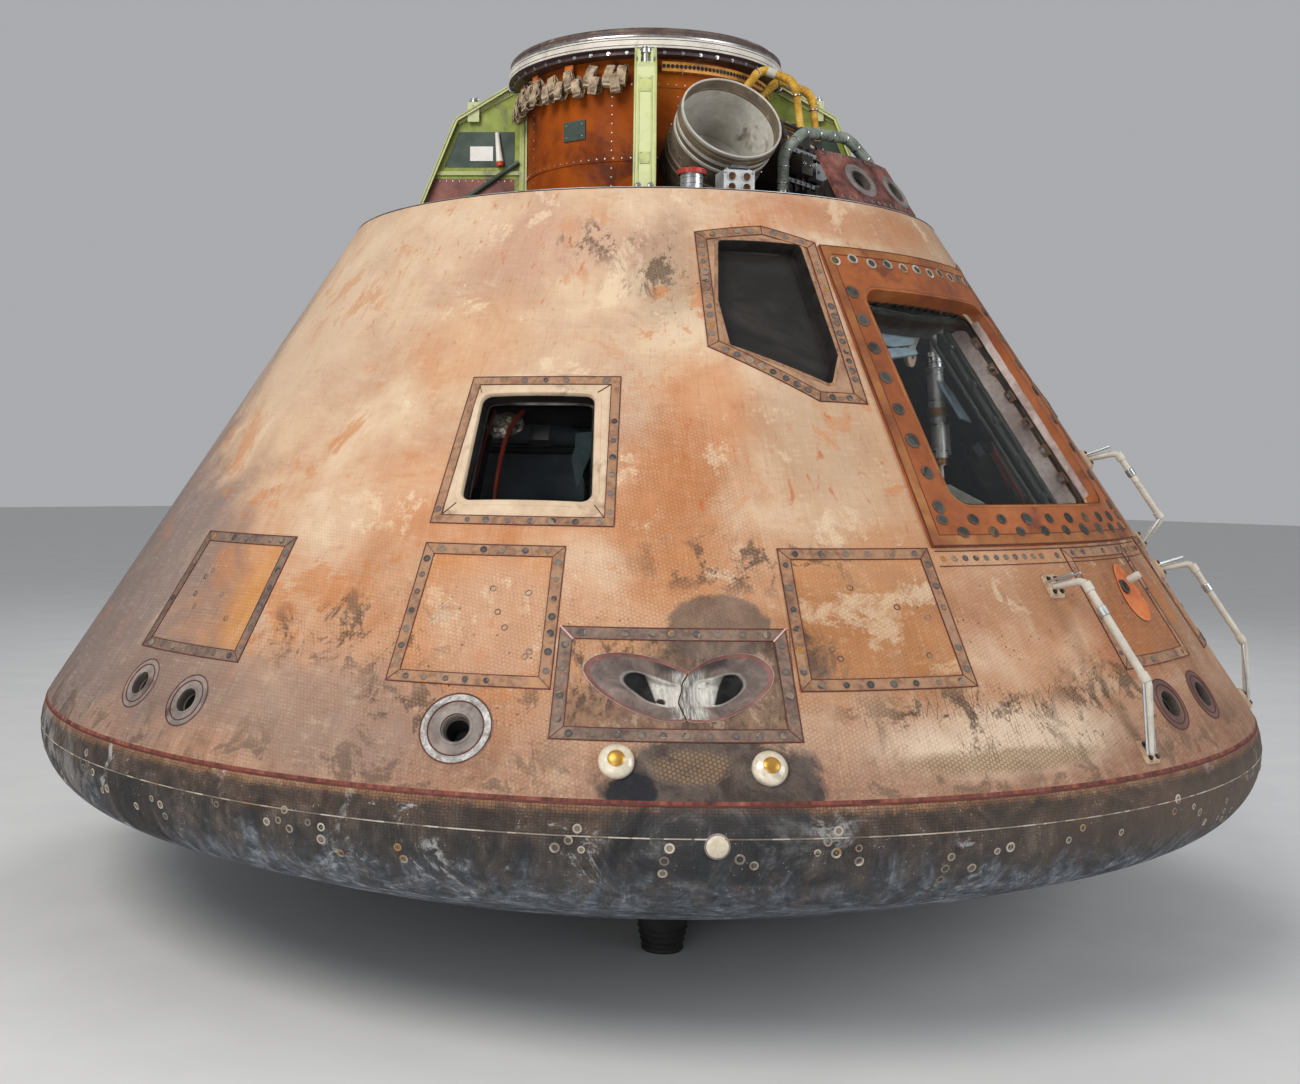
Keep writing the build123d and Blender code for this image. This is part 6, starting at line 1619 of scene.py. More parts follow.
# stiffening bands and rivets round the tunnel
for hh, w in ((2.560, 0.020), (2.330, 0.018), (2.142, 0.030)):
    P.lathe(Z, [(TZ - 0.002, hh - w / 2), (TZ + 0.0022, hh - w / 2), (TZ + 0.0030, hh), (TZ + 0.0022, hh + w / 2), (TZ - 0.002, hh + w / 2)], 120, mat=0)
    for k in range(90):
        f = deck_fr(4 * k + 1, TZ + 0.0026, hh)
        P.rivet(Fr(f.o, f.y, f.z, f.x), 0.0032, 0.0020, 2)
for az in (-150, -112, -60, -30, -12, 14, 30, 66, 100, 150, 200):
    for k in range(14):
        hh = 2.16 + 0.028 * k
        if abs(az) < 40 and hh > 2.55:
            continue
        f = deck_fr(az, TZ + 0.0002, hh)
        P.rivet(Fr(f.o, f.y, f.z, f.x), 0.0026, 0.0016, 2)
# dark green inspection plate and the little drain at the foot, its hole painted black as shade
for az, hh, w, t_, mt in ((-79, 2.43, 0.085, 0.062, 1), (95, 2.4, 0.1, 0.08, 1)):
    n = 5
    for k in range(n):
        a0 = az + math.degrees(w / TZ) * (k / n - 0.5)
        a1 = az + math.degrees(w / TZ) * ((k + 1) / n - 0.5)
        q = []
        for out in (0.0040, -0.002):
            for a, z_ in ((a0, hh - t_ / 2), (a1, hh - t_ / 2), (a1, hh + t_ / 2), (a0, hh + t_ / 2)):
                q.append(deck_fr(a, TZ + out, z_).o)
        P.add(q, [[0, 1, 2, 3], [7, 6, 5, 4], [4, 5, 1, 0], [5, 6, 2, 1], [6, 7, 3, 2], [7, 4, 0, 3]], mt)
    for sx in (-1, 1):
        for sz in (-1, 1):
            f = deck_fr(az + sx * math.degrees((w / 2 - 0.012) / TZ), TZ + 0.004, hh + sz * (t_ / 2 - 0.012))
            P.rivet(Fr(f.o, f.y, f.z, f.x), 0.0034, 0.002, 2)
for az, hh in ((-58, 2.19), (-100, 2.22), (-30, 2.20), (60, 2.2)):
    f = deck_fr(az, TZ, hh)
    P.lathe(Fr(f.o, f.y, f.z, f.x), [(0.016, -0.001), (0.016, 0.003), (0.012, 0.0035), (0.010, 0.0006), (0, 0.0004)], 20, mats=[2, 2, 2, 3])
P.done()

# gussets: pale edges, ribs, recessed panel with a white plate, riveted red sheet, brace and bolts
label_white = worn("white_label_plate", [(0.3, c("C4C0B8")), (0.5, c("DEDBD4")), (0.7, c("EEECE6"))], 9, (0.4, 0.65), 0.0, 0.2, 120, 0.0005)
P = Piece("gusset_details", green_pale, green, green_dark, label_white, red_sheet, steel, alu, tube_red, wall_orange)
for az in (-45.0, 45.0, 135.0, 225.0):
    f = deck_fr(az, 0.0, 0.0)          # x radial, y around, z up
    edge = [(0.823, 2.1216), (0.649, 2.545), (0.469, 2.652)]
    # rolled pale edges on both sides of the outer flange
    for s in (-1, 1):
        pts = [f(r + 0.0005, s * 0.0306, h) for r, h in edge]
        P.tube(arc_points(pts, [0.03], 0.01), 0.0034, 8, 0)
    # flange face: two long flutes, small plates, bolts
    d = unit(Vector((edge[1][0] - edge[0][0], 0, edge[1][1] - edge[0][1])))
    out = Vector((d.z, 0, -d.x))

    def face(t, y, up_=0.0):
        r = edge[0][0] + (edge[1][0] - edge[0][0]) * t + out.x * up_
        h = edge[0][1] + (edge[1][1] - edge[0][1]) * t + out.z * up_
        return f(r, y, h)
    fx = f.y
    fy = f.x * d.x + f.z * d.z
    fz = f.x * out.x + f.z * out.z
    for y in (-0.019, 0.019):
        P.tube([face(0.06, y, 0.0006), face(0.5, y, 0.0006), face(0.93, y, 0.0006)], 0.0024, 6, 0)
    for t, w_, h_ in ((0.86, 0.036, 0.050), (0.30, 0.030, 0.040)):
        g = Fr(face(t, 0, 0.0), fx, fy, fz)
        P.prism(g, [(-w_ / 2, -h_ / 2), (w_ / 2, -h_ / 2), (w_ / 2, h_ / 2), (-w_ / 2, h_ / 2)], -0.001, 0.0035, 0)
        for sx in (-1, 1):
            for sy in (-1, 1):
                P.rivet(g.at(sx * w_ * 0.36, sy * h_ * 0.38, 0.0035), 0.0026, 0.0018, 5)
    for t in (0.045, 0.10):
        for y in (-0.018, 0.018):
            P.bolt(Fr(face(t, y, 0.0), fx, fy, fz), 0.0060, 0.006, 5)
    # foot fitting
    g = deck_fr(az, 0.838, 2.1216)
    P.box(g, (0, 0, 0.007), (0.050, 0.086, 0.014), 0)
    for y in (-0.030, 0.030):
        P.bolt(g.at(0.010, y, 0.014), 0.0065, 0.007, 5)
    # web on both sides
    for s in (-1, 1):

        def poly(pts, z1, mat, z0=-0.0006):
            q = pts if sum(a[0] * b[1] - b[0] * a[1] for a, b in zip(pts, pts[1:] + pts[:1])) > 0 else pts[::-1]
            k0 = len(P.v)
            n = len(q)
            sgn = s
            lo_ = [f(x, s * (0.0040 + z0), y) for x, y in q]
            hi_ = [f(x, s * (0.0040 + z1), y) for x, y in q]
            P.v.extend(lo_ + hi_)
            top = [k0 + n + i for i in range(n)]
            bot = [k0 + i for i in range(n)][::-1]
            if sgn > 0:
                top, bot = top[::-1], bot[::-1]
            P.f.append(top)
            P.mi.append(mat)
            P.f.append(bot)
            P.mi.append(mat)
            for i in range(n):
                j = (i + 1) % n
                quad = [k0 + i, k0 + j, k0 + n + j, k0 + n + i]
                P.f.append(quad[::-1] if sgn > 0 else quad)
                P.mi.append(mat)
        # border ribs
        poly([(0.418, 2.138), (0.808, 2.138), (0.800, 2.156), (0.418, 2.156)], 0.0055, 0)
        poly([(0.412, 2.15), (0.428, 2.15), (0.428, 2.60), (0.412, 2.60)], 0.0055, 0)
        poly([(0.428, 2.356), (0.722, 2.356), (0.716, 2.370), (0.428, 2.370)], 0.0060, 0)
        poly([(0.640, 2.53), (0.652, 2.538), (0.470, 2.640), (0.452, 2.632)], 0.0050, 0)
        # dark green recessed panel, red riveted sheet below, brace
        poly([(0.446, 2.384), (0.690, 2.384), (0.640, 2.505), (0.446, 2.505)], 0.0016, 2)
        poly([(0.446, 2.166), (0.786, 2.166), (0.724, 2.344), (0.446, 2.344)], 0.0018, 4)
        poly([(0.520, 2.405), (0.600, 2.405), (0.600, 2.455), (0.520, 2.455)], 0.0045, 3)
        for k in range(12):
            for (x, y) in ((0.456 + 0.0275 * k, 2.176), (0.456 + 0.0225 * k, 2.336)):
                if x < 0.78 - (y - 2.166) * 0.35:
                    g = Fr(f(x, s * 0.0058, y), f.x, f.z, f.y * s)
                    g = Fr(g.o, g.x, f.z * -s, f.y * s)
                    P.rivet(g, 0.0030, 0.0018, 5)
        P.tube([f(0.790, s * 0.014, 2.150), f(0.62, s * 0.014, 2.27), f(0.43, s * 0.014, 2.40)], 0.0085, 10, 2)
        P.tube([f(0.495, s * 0.016, 2.40), f(0.500, s * 0.016, 2.44), f(0.506, s * 0.016, 2.50)], 0.01, 12, 3, radii=[0.013, 0.010, 0.007])
        P.tube([f(0.494, s * 0.016, 2.386), f(0.495, s * 0.016, 2.402)], 0.0135, 12, 7)
    # clevis and cylinder head
    g = deck_fr(az, 0.588, 2.536)
    for y in (-0.019, 0.019):
        P.box(g, (0, y, 0.034), (0.040, 0.008, 0.068), 1)
    P.tube([g(0, -0.028, 0.050), g(0, 0.028, 0.050)], 0.0055, 10, 5)
    P.lathe(g, [(0.0132, 0.002), (0.0160, 0.004), (0.0160, 0.016), (0.0132, 0.018), (0.0132, 0.062), (0.0175, 0.066), (0.0175, 0.078), (0.0132, 0.0815), (0.006, 0.0842)], 22, 5)
P.done(bevel=0.0006)

# strap loops in two rows under the ring
P = Piece("strap_loop_webbing", webbing, dark_metal)
loops = [(a, 2.556, 0.0) for a in (-130, -121.5, -113, -104.5, -96, -87.5, -79, -70.5, -62, -54.5)] + \
        [(a, 2.530, 0.004) for a in (-125.7, -117.2, -108.7, -100.2, -91.7, -83.2, -74.7, -66.2, -58.2)]
for k, (az, h0, out0) in enumerate(loops):
    f = deck_fr(az + rnd.uniform(-1.2, 1.2), 0.424 + out0, h0 + rnd.uniform(-0.004, 0.004))
    tw = math.radians(rnd.uniform(-16, 16))
    f = Fr(f.o, f.x, f.y * math.cos(tw) + f.z * math.sin(tw), f.z * math.cos(tw) - f.y * math.sin(tw))
    w = 0.031
    pts, ups = [], []
    n = 30
    squeeze = rnd.uniform(0.8, 1.15)
    for i in range(n + 1):
        t = 2 * math.pi * i / n
        rx, rz = 0.0145 * squeeze, 0.0285 / squeeze
        sag = 0.0022 * math.sin(3 * t + k)
        pts.append(f(0.006 + rx * math.sin(t) * (1.35 if math.cos(t) < 0 else 0.7) + sag, 0.002 * math.sin(t * 2 + k), 0.026 + rz * math.cos(t)))
        ups.append(f.x * math.sin(t) + f.z * math.cos(t))
    P.strap(pts, ups, w, 0.0022, 0, caps=False)
    # tail of the strap and the stitched bar
    P.strap([f(0.0165, 0, 0.050), f(0.0235, 0.001, 0.034), f(0.021, 0.002, 0.010), f(0.0245, 0.003, -0.006)], [f.x, f.x, f.x, f.x], w * 0.92, 0.0022, 0)
    for z_ in (0.014, 0.018):
        P.tube([f(0.0250, -0.012, z_ - 0.012), f(0.0250, 0.012, z_ - 0.012)], 0.0007, 5, 1)
P.done(replaces=["strap_loops"], bevel=0.0)

# perforated strip round the front bay
P = Piece("perforated_orange_strip", gold_strip, recess_shade_and_dial_black, steel)
n = 38
for k in range(n):
    a0, a1 = -38 + 76.0 * k / n, -38 + 76.0 * (k + 1) / n
    for r0, z0, r1, z1 in ((0.4202, 2.5985, 0.4202, 2.6262), (0.4242, 2.6262, 0.4242, 2.5962), (0.4242, 2.5962, 0.4002, 2.5958), (0.4202, 2.6262, 0.4242, 2.6262)):
        q = [deck_fr(a0, r0, z0).o, deck_fr(a1, r0, z0).o, deck_fr(a1, r1, z1).o, deck_fr(a0, r1, z1).o]
        P.add(q, [[0, 1, 2, 3]] if (r0, z0) != (0.4242, 2.6262) else [[3, 2, 1, 0]], 0)
# painted shade: each perforation's hole is a disc painted black, standing in for the shade behind it
for k in range(40):
    az = -37.2 + 1.905 * k
    f = deck_fr(az, 0.4242, 2.6115)
    g = Fr(f.o, f.y, f.z, f.x)
    P.lathe(g, [(0.0078, -0.0006), (0.0078, 0.0007), (0.0068, 0.0008), (0.0064, 0.0002), (0, 0.0001)], 14, mats=[0, 0, 1, 1])
for k in range(20):
    f = deck_fr(-36 + 3.8 * k, 0.412, 2.5958)
    P.rivet(Fr(f.o, f.x, f.y * -1, f.z * -1), 0.0028, 0.0018, 2)
P.done(replaces=["perforated_strip"])

# ------------------------------------------------------------------ mortar can and its neighbours
can_m = worn("can_paint", [(0.26, c("463C30")), (0.44, c("5E5244")), (0.58, c("70624F")), (0.74, c("8A7E6C"))], 7, (0.45, 0.7), 0.0, 0.25, 110, 0.0008,
             dirt=c("8E8474"), dirt_amount=0.25)
can_rim = worn("can_rim", [(0.25, c("8E887E")), (0.5, c("B9B4AA")), (0.8, c("D8D4CB"))], 8, (0.4, 0.6), 0.2, 0.15, 150, 0.0005)
give("mortar_can", can_m)
CZ = unit(Vector((-0.356, -0.780, 0.515)))
CM = Vector((-0.316, -0.676, POLE + 2.380))
cx_ = unit(Vector((0, 0, 1)) - CZ * CZ.z)
CF = Fr(CM, cx_, CZ.cross(cx_), CZ)
can_lining = worn("can_lining", [(0.28, c("8E8A80")), (0.46, c("B0ACA2")), (0.6, c("C6C2B8")), (0.74, c("DAD6CC"))], 9, (0.45, 0.7), 0.0, 0.3, 100, 0.001, dirt=c("6E675C"), dirt_amount=0.3)
P = Piece("mortar_can_details", can_rim, can_m, steel, alu, recess_shade_and_dial_black, maroon, can_lining)
P.lathe(CF, [(0.1502, -0.004), (0.1500, 0.0015), (0.1515, 0.0036), (0.1548, 0.0036), (0.1562, 0.0010), (0.1556, -0.008), (0.1542, -0.010)], 96, 0)
for z0 in (-0.050, -0.078, -0.150, -0.176):
    rr = 0.154 - 0.008 * (-z0) / 0.236
    P.lathe(CF, [(rr + 0.0002, z0), (rr + 0.0030, z0 + 0.0015), (rr + 0.0034, z0 + 0.006), (rr + 0.0030, z0 + 0.0105), (rr + 0.0004, z0 + 0.012)], 96, 0 if z0 > -0.1 else 1)
for k in range(28):
    t = 2 * math.pi * k / 28
    rr = 0.1535
    n_ = CF.x * math.cos(t) + CF.y * math.sin(t)
    g = Fr(CF.o + n_ * rr + CF.z * -0.112, n_.cross(CF.z) * -1, CF.z, n_)
    P.rivet(g, 0.0030, 0.0018, 2)
# inner rings and the pale crescent of its floor
P.lathe(CF, [(0.1492, -0.030), (0.1478, -0.031), (0.1474, -0.036), (0.1486, -0.037)][::-1], 96, 1)
P.lathe(CF, [(0.1412, -0.2262), (0.1395, -0.216), (0.118, -0.2222), (0.112, -0.2205), (0.060, -0.2205), (0.055, -0.2225), (0.0, -0.2230)], 72, mats=[6, 6, 6, 6, 6, 6])
P.lathe(CF, [(0.1474, -0.0375), (0.1462, -0.060), (0.1442, -0.120), (0.1420, -0.180), (0.1406, -0.222)][::-1], 96, 6)
for k in range(8):
    t = 2 * math.pi * k / 8
    P.bolt(Fr(CF.o + (CF.x * math.cos(t) + CF.y * math.sin(t)) * 0.129 + CF.z * -0.2255, CF.x, CF.y, CF.z), 0.0042, 0.005, 2)
P.done()

P = Piece("can_cradle_frame", dark_metal, alu, steel, green, can_m)
g = deck_fr(-25.0, 0.560, 2.1216)
for s in (-1, 1):
    P.prism(Fr(g(0, s * 0.050, 0), g.z, g.x, g.y), [(0.0, -0.072), (0.008, 0.072), (0.020, 0.072), (0.100, 0.010), (0.108, -0.072)], -0.005, 0.005, 1)
P.box(g, (0, 0, 0.006), (0.156, 0.140, 0.012), 0)
P.box(g, (-0.02, 0, 0.055), (0.10, 0.086, 0.09), 0)
for sx in (-1, 1):
    for sy in (-1, 1):
        P.bolt(g.at(sx * 0.064, sy * 0.058, 0.012), 0.0062, 0.007, 2)
P.done(bevel=0.001)

# latch bracket from the can down to the block
P = Piece("can_latch_bracket", alu, steel, dark_metal, rubber_black)
b0 = deck_fr(-28.5, 0.900, 2.1216)
top = CF.o - CF.z * 0.05 - CF.x * 0.158
for s in (-1, 1):
    P.tube(arc_points([top + CF.y * s * 0.016, top + CF.y * s * 0.016 - CF.x * 0.020 + Vector((0, 0, -0.05)), b0(-0.020, s * 0.016, 0.070)], [0.02]), 0.0042, 8, 0)
P.box(Fr(top, CF.y, CF.z, CF.x * -1), (0, 0, 0.004), (0.052, 0.046, 0.010), 0)
for s in (-1, 1):
    P.bolt(Fr(top + CF.y * s * 0.017 - CF.x * 0.009, CF.y, CF.z, CF.x * -1), 0.0045, 0.005, 1)
P.tube([b0(-0.020, -0.026, 0.072), b0(-0.020, 0.026, 0.072)], 0.0060, 10, 1)
P.done(bevel=0.0006)

chrome = steel
red_cap = worn("red_cap", [(0.3, c("7E1C12")), (0.6, c("A82C1C")), (0.85, c("C24A34"))], 12, (0.3, 0.5), 0.0, 0.15, 140, 0.0005)
give("small_canister", chrome)
P = Piece("small_canister_bands", red_cap, chrome, dark_metal)
g = deck_fr(-36.6, 0.905, 2.1216)
P.lathe(g, [(0.0392, 0.0515), (0.0402, 0.0530), (0.0402, 0.0650), (0.0385, 0.0666), (0.030, 0.0672), (0.028, 0.0690), (0.012, 0.0694), (0.010, 0.0672), (0, 0.0672)], 36, mats=[0, 0, 0, 0, 0, 2, 2, 2])
for z0 in (0.006, 0.024, 0.040):
    P.lathe(g, [(0.0318, z0), (0.0336, z0 + 0.001), (0.0336, z0 + 0.004), (0.0318, z0 + 0.005)], 32, 1)
for k in range(18):
    t = math.radians(20 * k)
    P.tube([g(0.0404 * math.cos(t), 0.0404 * math.sin(t), 0.054), g(0.0404 * math.cos(t), 0.0404 * math.sin(t), 0.064)], 0.0012, 5, 0)
P.lathe(g, [(0.044, 0.0), (0.044, 0.004), (0.032, 0.0045)], 30, 2)
P.done()

give("connector_block", worn("block_silver", [(0.3, c("9A9C9D")), (0.55, c("BFC1C2")), (0.8, c("DADBDC"))], 9, (0.3, 0.5), 0.6, 0.12, 200, 0.0004, dirt=c("7C766C"), dirt_amount=0.2))
P = Piece("connector_block_sockets", tan_core, alu, steel, recess_shade_and_dial_black, dark_metal)
f = deck_fr(-28.5, 0.9352, 2.1536)
f = Fr(f.o, f.y, f.z, f.x)
for sx in (-0.022, 0.022):
    for sy in (-0.015, 0.015):
        q = f.at(sx, sy, 0)
        P.lathe(q, [(0.0132, -0.001), (0.0132, 0.0035), (0.0112, 0.0035), (0.0108, -0.012), (0.0, -0.0115)], 22, mats=[1, 1, 0, 0])
        for k in range(5):
            t = 2 * math.pi * k / 5
            P.lathe(q.at(0.0055 * math.cos(t), 0.0055 * math.sin(t), -0.0115), [(0.0011, 0), (0.0011, 0.005), (0, 0.0055)], 6, 2)
for sx in (-1, 1):
    for sy in (-1, 1):
        P.bolt(f.at(sx * 0.0405, sy * 0.027, 0.0), 0.0034, 0.0035, 2)
g = deck_fr(-28.5, 0.900, 2.1856)
P.box(g, (0, 0, 0.002), (0.060, 0.080, 0.004), 1)
for sx in (-1, 1):
    for sy in (-1, 1):
        P.bolt(g.at(sx * 0.023, sy * 0.032, 0.004), 0.0038, 0.004, 2)
P.box(deck_fr(-28.5, 0.900, 2.1216), (0, 0, 0.003), (0.084, 0.108, 0.006), 4)
P.done(bevel=0.0005)

# ------------------------------------------------------------------ forward pitch engines
red_m = Mat("scorched_red_panel")
rn, rs = red_m.noise(7, 6, 0.65, 0.6), red_m.noise(30, 4)
redc = red_m.ramp(red_m.math("ADD", red_m.math("MULTIPLY", rn, 0.7), red_m.math("MULTIPLY", rs, 0.3)),
                  [(0.34, c("33201D")), (0.44, c("5A3630")), (0.52, c("7A4A40")), (0.60, c("8E6458")), (0.70, c("A08478"))])
red_m.base(redc, 0.78, 0.0, red_m.bump(rs, 0.45, 0.0016), spec=0.3)
red_m = red_m.mat
give("pitch_engine_panel", red_m)
give("forward_pitch_engines", worn("engine_body", [(0.25, c("1C1918")), (0.5, c("353030")), (0.8, c("5A5250"))], 9, (0.35, 0.65), 0.45, 0.25, 120, 0.0008, dirt=c("6B5A4C"), dirt_amount=0.25))
ring_g = worn("engine_ring", [(0.28, c("4A4442")), (0.48, c("6E6662")), (0.72, c("928986"))], 13, (0.5, 0.75), 0.1, 0.35, 110, 0.0009)
P = Piece("pitch_engine_rings", ring_g, recess_shade_and_dial_black, dark_bore, steel, red_m, dark_metal)
for az, h in ((-1.0, 2.206), (11.0, 2.200)):
    f = skin_fr(az, h)
    # painted shade: the throat's walls and bottom are painted black for the shade deep in the engine
    P.lathe(f, [(0.0618, -0.006), (0.0618, 0.0012), (0.0590, 0.0026), (0.0560, 0.0014), (0.0545, 0.0034), (0.0470, 0.0030), (0.0455, 0.0012), (0.0385, 0.0006), (0.0350, 0.0022),
                (0.0330, 0.0002), (0.0322, -0.018), (0.0240, -0.030), (0.0180, -0.076), (0, -0.0765)], 44, mats=[0, 0, 0, 0, 0, 0, 0, 2, 2, 2, 1, 1, 1])
    for z0 in (-0.066, -0.092, -0.120):
        P.lathe(f, [(0.0742, z0), (0.0775, z0 + 0.002), (0.0775, z0 + 0.009), (0.0742, z0 + 0.011)], 40, 5)
    for k in range(12):
        t = math.radians(30 * k + 8)
        P.bolt(f.at(0.0665 * math.cos(t), 0.0665 * math.sin(t), -0.0520), 0.0040, 0.004, 3)
# fixings round the panel's edge
for az in [-8.6 + 1.9 * k for k in range(12)]:
    for h in (2.138, 2.278):
        P.lathe(skin_fr(az, h), [(0.0062, -0.001), (0.0062, 0.0016), (0.0045, 0.0022), (0.004, 0.0008), (0, 0.0010)], 12, mats=[0, 0, 2, 2])
P.done()

# ------------------------------------------------------------------ recovery gear between tunnel and engines
give("recovery_gear_housing", dark_metal)
P = Piece("recovery_gear_parts", dark_metal, alu, steel, green, rubber_black, white_paint, gold_strip, orange_plate)
g = deck_fr(10.0, 0.540, 2.1216)       # housing 190 radial, 300 around, 250 high
for k in range(7):
    y = -0.135 + 0.045 * k
    P.box(g, (0.0985, y, 0.125), (0.007, 0.010, 0.236), 0)
for z_ in (0.03, 0.125, 0.22):
    P.box(g, (0.1010, 0, z_), (0.010, 0.296, 0.014), 1)
    for k in range(9):
        q = g.at(0.106, -0.132 + 0.033 * k, z_)
        P.bolt(Fr(q.o, q.y, q.z, q.x), 0.0042, 0.005, 2)
for (y, z_, sy, sz, sx, mt) in ((-0.10, 0.17, 0.07, 0.06, 0.040, 0), (0.02, 0.165, 0.09, 0.05, 0.030, 1), (0.11, 0.18, 0.05, 0.05, 0.036, 0), (-0.04, 0.075, 0.10, 0.045, 0.034, 4),
                                (0.085, 0.075, 0.06, 0.06, 0.028, 0)):
    P.box(g, (0.106 + sx / 2, y, z_), (sx, sy, sz), mt)
    for s in (-1, 1):
        q = g.at(0.106 + sx, y + s * sy * 0.32, z_)
        P.bolt(Fr(q.o, q.y, q.z, q.x), 0.0050, 0.006, 2)
# pyrotechnic cylinders, pipes and cable runs on the top
for y, r in ((-0.075, 0.026), (0.0, 0.021), (0.070, 0.024)):
    P.lathe(g.at(0.0, y, 0.284), [(r, -0.004), (r, 0.010), (r * 0.86, 0.014), (r * 0.86, 0.040), (r, 0.043), (r, 0.052), (r * 0.5, 0.057), (r * 0.5, 0.064), (0, 0.066)], 24, mats=[1, 1, 0, 2, 2, 2, 0, 0])
for k, (y0, y1) in enumerate(((-0.12, 0.09), (-0.10, 0.12), (-0.05, 0.05))):
    P.tube(arc_points([g(0.080, y0, 0.255), g(0.060 - 0.02 * k, y0, 0.310), g(0.045 - 0.02 * k, y1, 0.316), g(0.085, y1, 0.255)], [0.02, 0.02]), 0.0055, 8, (4, 6, 5)[k])
P.box(g, (-0.05, 0.02, 0.288), (0.06, 0.16, 0.012), 1)
P.box(g, (0.02, 0.135, 0.262), (0.10, 0.024, 0.024), 3)
for s in (-1, 1):
    for k in range(4):
        P.bolt(g.at(-0.05, 0.02 + s * 0.07, 0.294), 0.005, 0.006, 2)
P.done(bevel=0.0009)

# small parts on the deck in the other bays
P = Piece("deck_rim_fittings", dark_metal, alu, steel, green_dark, maroon)
P.lathe(Z, [(0.962, 2.1214), (0.975, 2.1240), (0.9752, 2.1262), (0.9600, 2.1268), (0.9595, 2.1214)], 180, mats=[4, 1, 1, 1])
for k in range(60):
    f = deck_fr(6 * k + 3, 0.940, 2.1216)
    P.bolt(f, 0.0050, 0.005, 2)
for k in range(36):
    az = 10 * k + 5
    P.box(deck_fr(az, 0.690, 2.1216), (0, 0, 0.004), (0.40, 0.014, 0.008), 0)
for rr in (0.56, 0.72, 0.87):
    P.lathe(Z, [(rr - 0.006, 2.1212), (rr - 0.005, 2.1262), (rr + 0.005, 2.1262), (rr + 0.006, 2.1212)][::-1], 150, mat=0)
for az in (-68, -82, -104, -118):
    g = deck_fr(az, 0.62, 2.1216)
    P.box(g, (0, 0, 0.028), (0.11, 0.07, 0.056), 3 if az % 4 else 0)
    for s in (-1, 1):
        P.bolt(g.at(s * 0.04, 0.02, 0.056), 0.0052, 0.006, 2)
P.done(bevel=0.0009)

# ------------------------------------------------------------------ hoses
def hose_mat(name, stops, pitch, scale=30):
    M = Mat(name)
    n = M.noise(scale, 4)
    x, y, z = M.xyz()
    w = M.math("SINE", M.math("MULTIPLY", M.math("ADD", M.math("ADD", x, y), z), 2 * math.pi / pitch))
    M.base(M.ramp(M.math("ADD", M.math("MULTIPLY", n, 0.8), M.math("MULTIPLY", w, 0.06)), stops), 0.7, 0.0, M.bump(w, 0.35, 0.0010), spec=0.35)
    return M.mat


give("coolant_hose", hose_mat("grey_hose_sleeve", [(0.25, c("545A52")), (0.42, c("737B70")), (0.6, c("8E958A"))], 0.010))
yellow_m = hose_mat("yellow_hose_sleeve", [(0.30, c("A67A22")), (0.44, c("C99A38")), (0.58, c("DDB75E"))], 0.008)
give("yellow_hoses", yellow_m)
P = Piece("hose_ties_and_ferrules", steel, rubber_black, white_paint, green, alu, yellow_m)
grey = arc_points([Vector(p) for p in ((-0.150, -0.735, POLE + 2.110), (-0.148, -0.735, POLE + 2.298), (-0.070, -0.745, POLE + 2.368), (0.090, -0.790, POLE + 2.368),
                                       (0.186, -0.812, POLE + 2.292), (0.186, -0.806, POLE + 2.198))], [0.06, 0.06, 0.08, 0.06], 0.008)


def ring_on(path, frac, r, w, mat, lift=0.0015, seg=20):
    d = [0.0]
    for p, q in zip(path, path[1:]):
        d.append(d[-1] + (q - p).length)
    t = frac * d[-1]
    j = next((i for i in range(1, len(d)) if d[i] >= t), len(d) - 1)
    p = path[j - 1].lerp(path[j], (t - d[j - 1]) / max(d[j] - d[j - 1], 1e-6))
    g = axis_fr(p, p + (path[j] - path[j - 1]))
    P.lathe(g, [(r, -w / 2), (r + lift, -w / 2 + lift * 0.5), (r + lift, w / 2 - lift * 0.5), (r, w / 2)], seg, mat)
    return g


for fr_ in [0.14 + 0.075 * k for k in range(11)]:
    ring_on(grey, fr_, 0.0171, 0.0040, 0, 0.0016)
ring_on(grey, 0.06, 0.0171, 0.024, 1, 0.004)
ring_on(grey, 0.955, 0.0171, 0.026, 4, 0.004)
g = ring_on(grey, 0.10, 0.0171, 0.012, 0, 0.003)
P.bolt(g.at(0.024, 0, 0), 0.004, 0.006, 0)
for pts in ([(-0.020, -0.390, 2.545), (-0.005, -0.452, 2.560), (0.040, -0.480, 2.632), (0.118, -0.560, 2.590), (0.128, -0.585, 2.390)],
            [(0.070, -0.385, 2.545), (0.088, -0.448, 2.560), (0.130, -0.480, 2.612), (0.205, -0.560, 2.566), (0.212, -0.585, 2.360)]):
    path = arc_points([Vector((x, y, POLE + z_)) for x, y, z_ in pts], [0.022, 0.038, 0.060], 0.006)
    d_ = [0.0]
    for p_, q_ in zip(path, path[1:]):
        d_.append(d_[-1] + (q_ - p_).length)
    mid_ = [p_ for p_, t_ in zip(path, d_) if 0.16 < t_ / d_[-1] < 0.90]
    P.tube(mid_, 0.0142, 16, 5, radii=[0.0125] + [0.0142 + 0.0006 * math.sin(i * 1.3) for i in range(len(mid_) - 2)] + [0.0125])
    for fr_ in (0.30, 0.66):
        ring_on(path, fr_, 0.0142, 0.005, 0, 0.0014, 16)
    ring_on(path, 0.40, 0.0146, 0.030, 2, 0.0012, 16)
    ring_on(path, 0.93, 0.0111, 0.040, 1, 0.0030, 16)
    g = deck_fr(math.degrees(math.atan2(pts[0][0], -pts[0][1])), 0.400, pts[0][2])
    P.lathe(Fr(g.o, g.y, g.z, g.x), [(0.021, -0.001), (0.021, 0.006), (0.0165, 0.009), (0.0165, 0.018), (0.0112, 0.020)], 22, 4)
    P.box(g, (0.006, 0.0, -0.03), (0.012, 0.050, 0.028), 3)
P.done()

